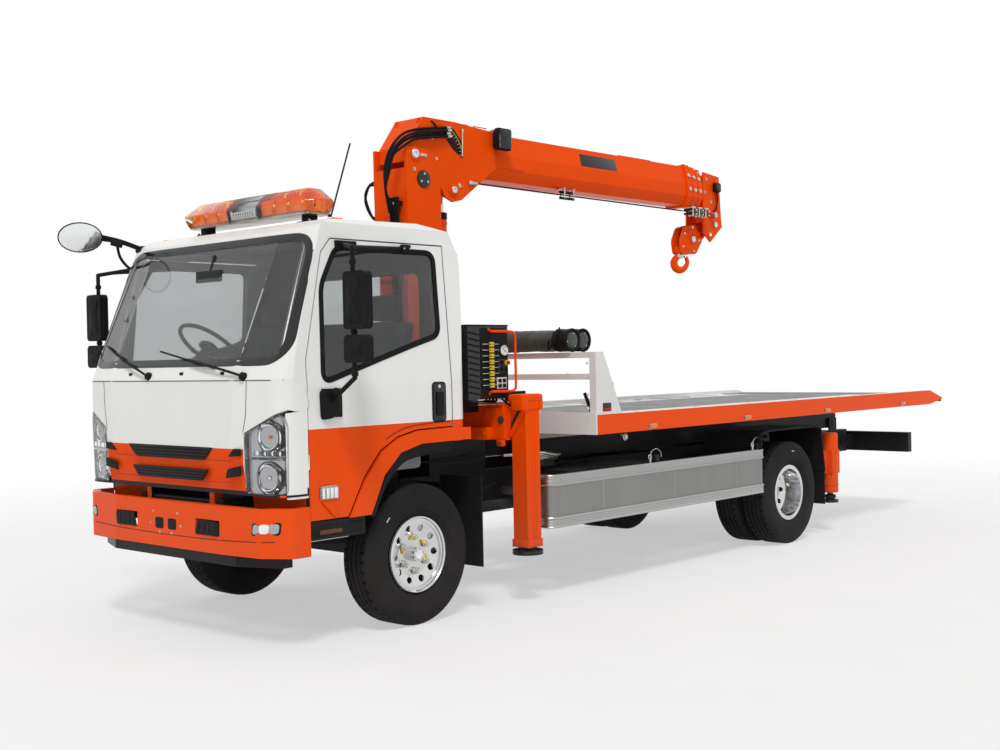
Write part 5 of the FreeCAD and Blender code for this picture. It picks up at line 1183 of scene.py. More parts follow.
class TRUCK_OT_grille(bpy.types.Operator):
    """Fits the mesh and bars of the grille, and thin painted shade lines under its wings"""

    bl_idname = "truck.grille"
    bl_label = "Grille"

    def execute(self, context):
        kit = Kit()
        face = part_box("grille")[0].y
        slots = (((-0.44, 1.12), (0.44, 1.12), (0.345, 1.046), (-0.345, 1.046)),
            ((-0.396, 0.994), (0.396, 0.994), (0.33, 0.928), (-0.33, 0.928)))
        for outline in slots:
            line = softened(outline, 0.02, 5)
            kit.slab(moved_in(line), "Y", face - 0.002, face + 0.004, "plastic", 0.0015)
            low = min(v for u, v in outline)
            high = max(v for u, v in outline)
            for k in range(4):
                z = low + (high - low) * (k + 0.5) / 4
                half = (abs(outline[3][0]) + (abs(outline[0][0]) - abs(outline[3][0])) * (k + 0.5)
                    / 4) - 0.012
                kit.bar((-half, face - 0.002, z), (half, face - 0.002, z), 0.0042, "dark_trim", 8)
        for sign in (1, -1):
            for outline in (((0.631, 1.119), (0.694, 1.121), (0.694, 1.081), (0.576, 1.073)),
                    ((0.573, 1.005), (0.693, 1.026), (0.691, 0.971), (0.551, 0.952))):
                line = softened([(sign * u, v) for u, v in outline], 0.01, 4)
                kit.slab(moved_in(line), "Y", face - 0.002, face + 0.004, "plastic", 0.0015)
        # Thin dark lines along the lower edges of the wings: painted shade lines.
        for z in (0.93, 1.05):
            kit.bar((-0.6, face - 0.001, z - 0.001), (0.6, face - 0.001, z - 0.001), 0.0012, "dark_trim", 8)
        made("grille_trim", kit, "cab")
        return {"FINISHED"}


class TRUCK_OT_bumper(bpy.types.Operator):
    """Fits fog lamps, openings, the blank plate and the spoiler seam to the bumper"""

    bl_idname = "truck.bumper"
    bl_label = "Bumper"

    def execute(self, context):
        kit = Kit()
        skin = surface_of("front_bumper")

        def ahead(x, z):
            return touch(skin, (x, -4.6, z), (0, 1, 0), 0.5)

        def patch(outline, finish, proud, rise=0.0):
            line = softened(outline, 0.018, 5)
            middle = (sum(p[0] for p in line) / len(line), sum(p[1] for p in line) / len(line))
            rows = []
            for share, height in ((1.0, -0.002), (1.0, proud * 0.7), (0.96, proud),
                    (0.7, proud + rise * 0.7), (0.35, proud + rise), (0.0, proud + rise)):
                row = []
                for u, v, a, b in line:
                    x = middle[0] + (u - middle[0]) * share
                    z = middle[1] + (v - middle[1]) * share
                    point = ahead(x, z)
                    row.append((x, point.y - height, z))
                rows.append(row + row[:1])
            kit.skin(rows, finish)

        for sign in (1, -1):
            patch([(sign * u, v) for u, v in ((0.792, 0.652), (0.958, 0.658), (0.966, 0.728), (0.8, 0.722))],
                "plastic", 0.0015)
            patch([(sign * u, v) for u, v in ((0.8, 0.66), (0.95, 0.666), (0.957, 0.72), (0.808, 0.714))],
                "lamp_bed", 0.003)
            patch([(sign * u, v) for u, v in ((0.852, 0.664), (0.902, 0.666), (0.906, 0.718),
                (0.856, 0.716))], "chrome", 0.0045, 0.002)
            patch([(sign * u, v) for u, v in ((0.3, 0.634), (0.52, 0.628), (0.53, 0.708), (0.33, 0.717))],
                "plastic", 0.002)
            for x in (0.335, 0.385, 0.435, 0.485):
                point = ahead(sign * x, 0.67)
                kit.bar((sign * x, point.y - 0.003, 0.643), (sign * x, point.y - 0.003, 0.7), 0.004,
                    "dark_trim", 8)
            patch([(sign * u, v) for u, v in ((0.022, 0.634), (0.108, 0.634), (0.108, 0.699),
                (0.022, 0.699))], "plastic", 0.0015)
            for x, z in ((0.125, 0.732), (0.06, 0.612), (0.155, 0.66)):
                point = ahead(sign * x, z)
                kit.bolt(point, (0, -1, 0), 0.006)
        line = [ahead(-0.93 + 1.86 * k / 30, 0.604 + 0.018 * (k / 15 - 1) ** 2) for k in range(31)]
        kit.pipe(line, 0.0022, "dark_trim", 6, 1)
        made("bumper_trim", kit, "chassis")
        return {"FINISHED"}


class TRUCK_OT_arches(bpy.types.Operator):
    """Fits the wheel-arch lips, the steps, their reflectors and treads"""

    bl_idname = "truck.arches"
    bl_label = "Arches and steps"

    def execute(self, context):
        inner = ((-0.426, 0.7), (-0.338, 0.876), (-0.213, 1.03), (-0.067, 1.088), (0.1, 1.096), (0.25, 1.098))
        lip = ((-0.382, 0.697), (-0.288, 0.862), (-0.165, 0.972), (-0.05, 1.008), (0.1, 1.019),
            (0.242, 1.021))
        kit = Kit()
        for _, sign in SIDES:
            upper = smooth_line([spot(0, d, z) for d, z in inner], 5)
            lower = smooth_line([spot(0, d, z) for d, z in lip], 5)
            rows = []
            for one, two in zip(upper, lower):
                rows.append([(sign * 0.985, one.y, one.z + 0.012), (sign * 1.004, one.y, one.z),
                    (sign * 1.01, one.y, one.z - 0.004), (sign * 1.002, *one.lerp(two, 0.5).yz),
                    (sign * 0.99, *one.lerp(two, 0.93).yz), (sign * 0.978, *two.yz), (sign * 0.93, *two.yz),
                    (sign * 0.88, two.y, two.z + 0.01), (sign * 0.88, one.y, one.z + 0.012),])
            kit.skin(rows, "plastic", closed=True)
            low, high = behind(-0.868), behind(-0.47)
            kit.block((sign * 0.9, low, 0.622), (sign * 1.0, high, 0.69), "plastic", 0.016)
            kit.block((sign * 0.99, behind(-0.8), 0.636), (sign * 1.004, behind(-0.64), 0.662),
                "orange_lens", 0.005)
            for k in range(6):
                y = low + 0.05 + k * 0.058
                kit.block((sign * 0.84, y, 0.7085), (sign * 0.975, y + 0.016, 0.7135), "rubber", 0.002)
            kit.block((sign * 0.88, behind(-0.84), 0.598), (sign * 0.96, behind(-0.56), 0.612), "zinc", 0.004)
        made("arch_lips", kit, "cab")
        return {"FINISHED"}


class TRUCK_OT_mirrors(bpy.types.Operator):
    """Puts glass, rims, clamps and feet on the mirrors"""

    bl_idname = "truck.mirrors"
    bl_label = "Mirrors"

    def execute(self, context):
        for side, sign in SIDES:
            kit = Kit()
            for low, high in ((1.58, 1.73), (1.76, 2.07)):
                y = behind(-0.765)
                outline = softened([(sign * 1.231, low), (sign * 1.403, low), (sign * 1.403, high),
                    (sign * 1.231, high)], 0.034, 6)
                rows = []
                for inset, back in ((0.004, 0.026), (0.0, 0.014), (0.0, -0.012), (0.008, -0.024),
                        (0.03, -0.036), (0.065, -0.041)):
                    rows.append([(u - a * inset, y + back, v - b * inset) for u, v, a, b in outline])
                rows = [row + row[:1] for row in rows]
                middle = (sign * 1.317, y - 0.042, (low + high) / 2)
                kit.skin(rows + [[middle] * len(rows[0])], "plastic")
                face = moved_in(outline, 0.01)
                kit.slab(face, "Y", y + 0.018, y + 0.024, "mirror", 0.0015)
                rim = [[(u - a * inset, y + back, v - b * inset) for u, v, a, b in outline] for inset,
                    back in ((0.002, 0.026), (0.009, 0.029), (0.013, 0.023))]
                kit.skin([row + row[:1] for row in rim], "plastic")
                z = (low + high) / 2
                kit.bar((sign * 1.29, behind(-0.776), z - 0.022), (sign * 1.29, behind(-0.776), z + 0.022),
                    0.02, "plastic", 20)
            for z in (1.52, 1.745, 2.12):
                kit.bar((sign * 1.29, behind(-0.775), z - 0.012), (sign * 1.29, behind(-0.775), z + 0.012),
                    0.019, "plastic", 20)
            foot = softened([(behind(-0.784), 1.435), (behind(-0.648), 1.412), (behind(-0.653), 1.308),
                (behind(-0.697), 1.274), (behind(-0.778), 1.268)], 0.026, 6)
            middle = (sum(p[0] for p in foot) / len(foot), sum(p[1] for p in foot) / len(foot))
            rows = []
            for out, share in ((0.0, 1.0), (0.022, 1.0), (0.034, 0.93), (0.04, 0.75), (0.042, 0.4),
                    (0.042, 0.0)):
                rows.append([(sign * (0.992 + out), middle[0] + (u - middle[0]) * share,
                    middle[1] + (v - middle[1]) * share) for u, v, a, b in foot])
            kit.skin([row + row[:1] for row in rows], "plastic")
            kit.bar(spot(sign * 1.03, -0.712, 1.408), spot(sign * 1.075, -0.722, 1.428), 0.021, "plastic", 20)
            for d, z in ((-0.525, 2.25), (-0.06, 2.254)):
                kit.block(spot(sign * 0.93, d - 0.034, z - 0.024), spot(sign * 0.962, d + 0.034, z + 0.02),
                    "plastic", 0.008)
                for move in (-0.022, 0.022):
                    kit.bolt(spot(sign * 0.961, d + move, z - 0.004), (sign, 0, 0), 0.005)
            made(f"mirror_trim_{side}", kit, f"{side}_door")
        return {"FINISHED"}


class TRUCK_OT_nose_mirror(bpy.types.Operator):
    """Makes the oval mirror's glass, rim and clamps"""

    bl_idname = "truck.nose_mirror"
    bl_label = "Oval mirror"

    def execute(self, context):
        kit = Kit()
        out = Vector((0.85, -0.4, -0.33)).normalized()
        across = Vector((0.4, 0.85, 0)).normalized()
        upward = out.cross(across)
        if upward.z < 0:
            upward = -upward
        middle = spot(-1.052, -1.0335, 2.42)

        def ring(scale, forward, count=56):
            row = []
            for k in range(count):
                turn = math.tau * k / count
                row.append(middle + out * forward + across * (0.139 * scale * math.cos(turn)) + upward
                    * (0.099 * scale * math.sin(turn)))
            return row + row[:1]

        kit.skin([ring(1.0, -0.002), ring(1.005, 0.004), ring(0.985, 0.009), ring(0.955, 0.006),
            ring(0.95, 0.0)], "plastic")
        kit.skin([ring(0.955, 0.004), ring(0.8, 0.012), ring(0.6, 0.018), ring(0.35, 0.0225),
            ring(0.15, 0.0245), ring(0.0001, 0.025)], "mirror")
        kit.skin([ring(1.003, 0.002), ring(1.0, -0.008), ring(0.94, -0.022), ring(0.78, -0.036),
            ring(0.5, -0.045), ring(0.0001, -0.048)], "plastic")
        root = spot(-0.88, -0.69, 2.346)
        for move in (0.012, -0.012):
            start = middle + across * 0.112 + upward * move - out * 0.012
            kit.pipe([start, start.lerp(root, 0.5) + Vector((0, 0, 0.012)),
                root + Vector((0, 0, move * 0.5))], 0.0105, "plastic", 12, 6)
        knee = spot(-0.955, -0.83, 2.385)
        kit.bar(knee - Vector((0.02, 0.03, -0.01)), knee + Vector((0.02, 0.03, -0.01)), 0.022, "plastic", 20)
        kit.pipe([knee, spot(-0.985, -0.79, 2.3), spot(-0.965, -0.745, 2.235), spot(-0.93, -0.7, 2.205)],
            0.0095, "plastic", 12, 5)
        kit.bolt(knee + Vector((0.0, 0.0, 0.02)), (0, 0, 1), 0.006)
        kit.block(root - Vector((0.04, 0.03, 0.022)), root + Vector((0.03, 0.03, 0.022)), "plastic", 0.01)
        made("oval_mirror", kit, "cab", ["nose_mirror"])
        return {"FINISHED"}


class TRUCK_OT_lightbar(bpy.types.Operator):
    """Builds the light bar: lower tray, clear base, amber domes, beacons and centre box"""

    bl_idname = "truck.lightbar"
    bl_label = "Light bar"

    def execute(self, context):
        kit = Kit()
        low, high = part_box("lightbar")
        half = high.x
        front, rear = low.y, high.y
        base, split, top = 2.455, 2.535, 2.62

        def ring(x0, x1, z, out_end, out_front, out_rear, corner, left_open, right_open):
            """A hexagonal ring of the bar between two places across the truck."""
            a, b = front + out_front, rear - out_rear
            lx = x0 + (0 if left_open else out_end)
            rx = x1 - (0 if right_open else out_end)
            lc = 0.0 if left_open else corner
            rc = 0.0 if right_open else corner
            row = [(lx, a + lc, z), (lx + lc, a, z), (rx - rc, a, z), (rx, a + rc, z)]
            row += [(rx, b - rc, z), (rx - rc, b, z), (lx + lc, b, z), (lx, b - lc, z)]
            return row + row[:1]

        joint = 0.15
        dome = ((split, 0.0, 0.0, 0.0, 0.045), (split + 0.012, 0.003, 0.003, 0.003, 0.045),
            (top - 0.01, 0.088, 0.066, 0.034, 0.02), (top, 0.1, 0.078, 0.044, 0.018))
        tray = ((split, 0.0, 0.0, 0.0, 0.045), (split - 0.02, 0.004, 0.004, 0.004, 0.045),
            (base + 0.02, 0.03, 0.014, 0.014, 0.04), (base + 0.004, 0.045, 0.024, 0.024, 0.036))

        def shells(x0, x1, finish, left_open, right_open):
            """A dome over its clear tray; the open ends meet the next one."""
            for levels, end, wear in ((dome, top, finish), (tray, base + 0.002, "lens")):
                rows = [ring(x0, x1, *level, left_open, right_open) for level in levels]
                middle = ((x0 + x1) / 2, (front + rear) / 2, end)
                kit.skin(rows + [[middle] * len(rows[0])], wear)

        shells(-half, -joint, "orange_lens", False, True)
        shells(joint, half, "orange_lens", True, False)
        for x0, x1 in ((-0.126, -0.116), (0.116, 0.126)):
            kit.block((x0, front + 0.022, base + 0.028), (x1, front + 0.034, base + 0.08), "white_plastic",
                0.002)
        shells(-joint, joint, "lens", True, True)
        for x in (-joint, joint):
            kit.block((x - 0.004, front + 0.001, split - 0.004), (x + 0.004, rear - 0.001, split + 0.004),
                "dark_trim", 0.002)
        kit.block((-half + 0.05, front + 0.034, base + 0.008), (half - 0.05, rear - 0.034, base + 0.03),
            "zinc", 0.006)
        for sign in (1, -1):
            for k in range(3):
                x = sign * (0.215 + k * 0.135)
                for y in (front + 0.07, rear - 0.062):
                    kit.block((x - 0.054, y - 0.014, base + 0.032), (x + 0.054, y + 0.014, base + 0.102),
                        "amber", 0.01)
                    kit.block((x - 0.06, y - 0.008, base + 0.03), (x + 0.06, y + 0.008, base + 0.04),
                        "chrome", 0.004)
            kit.turned((sign * 0.575, (front + rear) / 2, base + 0.03), (0, 0, 1),
                [(0, 0.03), (0.012, 0.03), (0.016, 0.022), (0.06, 0.02), (0.07, 0.012), (0.072, 0)], "amber",
                24)
            foot = Vector((sign * (half - 0.135), (front + rear) / 2, 0))
            kit.block(foot + Vector((-0.046, -0.066, 2.4)), foot + Vector((0.046, 0.066, 2.424)), "rubber",
                0.01)
            kit.block(foot + Vector((-0.03, -0.04, 2.418)), foot + Vector((0.03, 0.04, 2.462)), "plastic",
                0.01)
            kit.bolt(foot + Vector((sign * 0.046, -0.04, 2.43)), (sign, 0, 0.3), 0.007)
        kit.block((-0.12, front + 0.026, base + 0.03), (0.12, front + 0.06, base + 0.074), "white_plastic",
            0.006)
        for k in range(9):
            x = -0.096 + k * 0.024
            kit.block((x - 0.007, front + 0.0245, base + 0.036), (x + 0.007, front + 0.03, base + 0.068),
                "lamp_bed", 0.002)
        kit.block((-0.115, front + 0.08, base + 0.035), (0.115, rear - 0.06, base + 0.11), "lamp_bed", 0.014)
        for k in range(7):
            y = front + 0.088 + k * 0.011
            kit.bar((-0.1, y, base + 0.121), (0.1, y, base + 0.121), 0.003, "zinc", 8)
        made("light_bar", kit, "cab", ["lightbar"])
        return {"FINISHED"}


def quilted(kit, low, high, finish, crown=0.02, channels=3, along="Y", tilt=None):
    """A stuffed cushion: crowned faces, sides that pull in and sewn channels."""
    low, high = Vector(low), Vector(high)
    size = high - low
    part = bmesh.new()
    bmesh.ops.create_cube(part, size=1, matrix=Matrix.Translation((low + high) / 2) @ Matrix.Diagonal((*size,
        1)))
    rounded(part, part.edges, min(size) * 0.32, 4)
    bmesh.ops.subdivide_edges(part, edges=part.edges, cuts=3, use_grid_fill=True)
    axis = "XYZ".index(along)
    thin = min(range(3), key=lambda i: size[i])
    middle = (low + high) / 2
    for vert in part.verts:
        share = [(vert.co[i] - middle[i]) / (size[i] / 2) for i in range(3)]
        others = [i for i in range(3) if i != thin]
        bulge = (1 - share[others[0]] ** 2) * (1 - share[others[1]] ** 2)
        seam = 0.0
        for k in range(1, channels):
            place = -1 + 2 * k / channels
            seam += math.exp(-((share[axis] - place) / 0.045) ** 2)
        vert.co[thin] += share[thin] * (crown * bulge - 0.007 * seam)
        pull = 0.006 * (1 - share[thin] ** 2)
        for i in others:
            vert.co[i] += pull * share[i] * (1 - share[others[1 if i == others[0] else 0]] ** 2)
    kit.add(part, finish, tilt)


class TRUCK_OT_interior(bpy.types.Operator):
    """Furnishes the cab: dash, wheel, lining and grips"""

    bl_idname = "truck.interior"
    bl_label = "Cab interior"

    def execute(self, context):
        kit = Kit()
        dash = [(behind(d), z) for d, z in ((-0.99, 1.35), (-0.985, 1.47), (-0.94, 1.497), (-0.73, 1.472),
            (-0.705, 1.4), (-0.765, 1.35))]
        kit.slab(moved_in(softened(dash, 0.035, 5)), "X", -0.89, 0.89, "dark_trim", 0.012)
        kit.block((-0.32, behind(-0.76), 0.93), (0.32, behind(-0.715), 1.385), "dark_trim", 0.02)
        for x in (-0.78, -0.1, 0.16, 0.8):
            kit.block((x - 0.075, behind(-0.728), 1.412), (x + 0.075, behind(-0.708), 1.456), "plastic",
                0.006)
            for k in range(4):
                kit.bar((x - 0.066, behind(-0.706), 1.42 + k * 0.01),
                    (x + 0.066, behind(-0.706), 1.42 + k * 0.01), 0.0022, "dark_trim", 6)
        hood = [(behind(d), z) for d, z in ((-0.93, 1.48), (-0.9, 1.556), (-0.76, 1.562), (-0.72, 1.48))]
        kit.slab(moved_in(softened(hood, 0.04, 5)), "X", -0.78, -0.34, "dark_trim", 0.015)
        hub = spot(-0.56, -0.4, 1.7)
        axis = Vector((0, -math.sin(math.radians(40)), -math.cos(math.radians(40))))
        side = Vector((1, 0, 0))
        up = axis.cross(side).normalized()
        rim = [hub + side * (0.222 * math.cos(t)) + up * (0.222 * math.sin(t)) for t
            in (math.tau * k / 40 for k in range(40))]
        kit.pipe(rim, 0.0135, "dark_trim", 12, 1, closed=True)
        for turn in (-0.25, math.pi + 0.25, -math.pi / 2):
            tip = hub + (side * math.cos(turn) + up * math.sin(turn)) * 0.215
            kit.pipe([hub, hub.lerp(tip, 0.5) + axis * 0.012, tip], 0.011, "dark_trim", 10, 4)
        kit.turned(hub + axis * 0.022, -axis, [(0, 0.072), (0.02, 0.07), (0.034, 0.052), (0.04, 0.02),
            (0.041, 0)], "dark_trim", 36)
        kit.bar(hub, spot(-0.56, -0.76, 1.4), 0.03, "dark_trim", 20)
        for sign in (1, -1):
            kit.pipe([hub + axis * 0.055 + side * sign * 0.03,
                hub + axis * 0.06 + side * sign * 0.15 + Vector((0, 0, 0.02))], 0.007, "plastic", 8, 4)
        kit.block((-0.87, behind(-0.375), 0.93), (0.87, behind(0.115), 1.285), "trim", 0.03)
        kit.pipe([spot(-0.767, -0.865, 2.035), spot(-0.75, -0.85, 2.02), spot(-0.738, -0.868, 1.96),
            spot(-0.722, -0.905, 1.9), spot(-0.716, -0.93, 1.872)], 0.012, "trim", 10, 5)
        glass_mirror = spot(0.06, -0.83, 2.11)
        kit.block(glass_mirror - Vector((0.125, 0.012, 0.036)), glass_mirror + Vector((0.125, 0.012, 0.036)),
            "dark_trim", 0.011)
        kit.bar(glass_mirror + Vector((0, 0.01, 0.03)), glass_mirror + Vector((0, 0.04, 0.13)), 0.008,
            "dark_trim", 12)
        for x in (-0.46, 0.46):
            kit.block(spot(x - 0.22, -0.69, 2.255), spot(x + 0.22, -0.5, 2.275), "trim", 0.01)
        kit.pipe([spot(0.06, 0.0, 1.37), spot(0.1, -0.3, 1.42), spot(0.11, -0.34, 1.6)], 0.01, "dark_trim",
            10, 5)
        kit.turned(spot(0.11, -0.34, 1.58), (0.02, -0.05, 1), [(0, 0.014), (0.02, 0.024), (0.045, 0.022),
            (0.055, 0)], "dark_trim", 20)
        made("cab_fittings", kit, "cab", ["cab_interior"])
        return {"FINISHED"}


class TRUCK_OT_seats(bpy.types.Operator):
    """Stuffs the three seats: cushions, backs and headrests"""

    bl_idname = "truck.seats"
    bl_label = "Seats"

    def execute(self, context):
        for number, (low, high) in enumerate(((-0.8, -0.33), (-0.31, 0.22), (0.24, 0.76))):
            kit = Kit()
            quilted(kit, spot(low, -0.41, 1.3), spot(high, 0.045, 1.408), "seat", 0.016, 4, "X")
            made(f"seat_cushion_{number}", kit, "cab", ["cab_interior"])
            kit = Kit()
            pivot = spot(0, 0.075, 1.41)
            lean = Matrix.Translation(pivot) @ Matrix.Rotation(math.radians(-8.5), 4,
                "X") @ Matrix.Translation(-pivot)
            quilted(kit, spot(low, 0.03, 1.405), spot(high, 0.125, 1.83), "seat", 0.016, 4, "X", lean)
            made(f"seat_back_{number}", kit, "cab", ["cab_interior"])
            if number != 1:
                kit = Kit()
                middle = (low + high) / 2
                quilted(kit, spot(middle - 0.13, 0.04, 1.85), spot(middle + 0.13, 0.12, 2.0), "seat", 0.012,
                    1, "X", lean)
                made(f"headrest_{number}", kit, "cab", ["cab_interior"])
        return {"FINISHED"}


# ---------------------------------------------------------------- crane

class TRUCK_OT_column(bpy.types.Operator):
    """Fits pins, covers, hoses and the ram's glands to the column"""

    bl_idname = "truck.column"
    bl_label = "Crane column"

    def execute(self, context):
        hose = context.scene.truck_sizes.hose
        kit = Kit()
        for sign in (1, -1):
            at = spot(sign * 0.166, 0.786, 2.998)
            kit.pin(at, (sign, 0, 0), 0.034, "steel")
            kit.bar(at - Vector((sign * 0.002, 0, 0)), at + Vector((sign * 0.004, 0, 0)), 0.052, "orange", 28)
            kit.block(spot(sign * 0.166, 0.835, 2.986), spot(sign * 0.173, 0.895, 3.006), "zinc", 0.002)
            kit.bolt(spot(sign * 0.172, 0.88, 2.996), (sign, 0, 0), 0.008)
            kit.bolt(spot(sign * 0.166, 0.779, 2.893), (sign, 0, 0), 0.01)
            kit.turned(spot(sign * 0.165, 0.866, 2.832), (sign, 0, 0),
                [(0, 0.062), (0.01, 0.06), (0.014, 0.052), (0.014, 0.02), (0.011, 0.016), (0.011, 0)],
                "gloss_black", 40)
            for k in range(3):
                turn = math.radians(90 + 120 * k)
                kit.bolt(spot(sign * 0.178, 0.866 + 0.036 * math.cos(turn), 2.832 + 0.036 * math.sin(turn)),
                    (sign, 0, 0), 0.0065)
            for z in (1.56, 1.9, 2.24, 2.44):
                kit.bolt(spot(sign * 0.14, 0.99, z), (sign, 0, 0), 0.007, "orange")
        for z in (1.452, 1.47):
            kit.bar(spot(0, 0.875, z - 0.006), spot(0, 0.875, z + 0.006), 0.196 if z < 1.46 else 0.178,
                "orange", 40)
        for k in range(12):
            turn = math.tau * (k + 0.5) / 12
            kit.bolt(spot(0.186 * math.cos(turn), 0.875 + 0.186 * math.sin(turn), 1.458), (0, 0, 1), 0.009)
        for z in (1.66, 2.14):
            kit.block(spot(-0.125, 0.706, z), spot(0.125, 0.722, z + 0.03), "orange", 0.004)
        for number, x in enumerate((0.04, 0.062, 0.084, 0.106)):
            lower = 1.5 + 0.02 * number
            kit.pipe([spot(x, 0.708, lower), spot(x, 0.69, lower + 0.12), spot(x, 0.682, 1.9),
                spot(x, 0.684, 2.3), spot(x, 0.672, 2.6), spot(x + 0.008, 0.668, 2.7)], hose, "rubber", 10, 5)
        for z in (1.72, 2.2, 2.66):
            kit.block(spot(0.02, 0.668, z - 0.014), spot(0.126, 0.706, z + 0.014), "plastic", 0.006)
            kit.bolt(spot(0.073, 0.668, z), (0, -1, 0), 0.007)
        for number, low_z in enumerate((2.74, 2.715)):
            kit.pipe([spot(-0.167, 0.75, 2.564 + 0.03 * number), spot(-0.235, 0.745, 2.6),
                spot(-0.305, 0.75, low_z), spot(-0.272, 0.755, 2.815),
                spot(-0.205, 0.75, 2.838 - 0.02 * number), spot(-0.168, 0.76, 2.83)], hose, "rubber", 10, 6)
        kit.block(spot(-0.176, 0.725, 2.548), spot(-0.16, 0.785, 2.612), "zinc", 0.004)
        kit.block(spot(-0.176, 0.73, 2.8), spot(-0.16, 0.79, 2.862), "zinc", 0.004)
        made("column_fittings", kit, "column")

        kit = Kit()
        y = 1.18
        kit.turned(spot(0, y, 2.585), (0, 0, 1), [(0, 0.0505), (0.01, 0.0535), (0.045, 0.0535),
            (0.052, 0.048), (0.052, 0.041)], "black", 40)
        for z in (1.93, 2.56):
            kit.bar(spot(0, y, z - 0.01), spot(0, y, z + 0.01), 0.0535, "orange", 36)
        kit.pipe([spot(0.052, y + 0.01, 1.96), spot(0.066, y + 0.012, 1.985), spot(0.068, y + 0.012, 2.4),
            spot(0.052, y + 0.01, 2.52)], 0.006, "zinc", 8, 5)
        made("ram_fittings", kit, "ram_barrel")
        return {"FINISHED"}


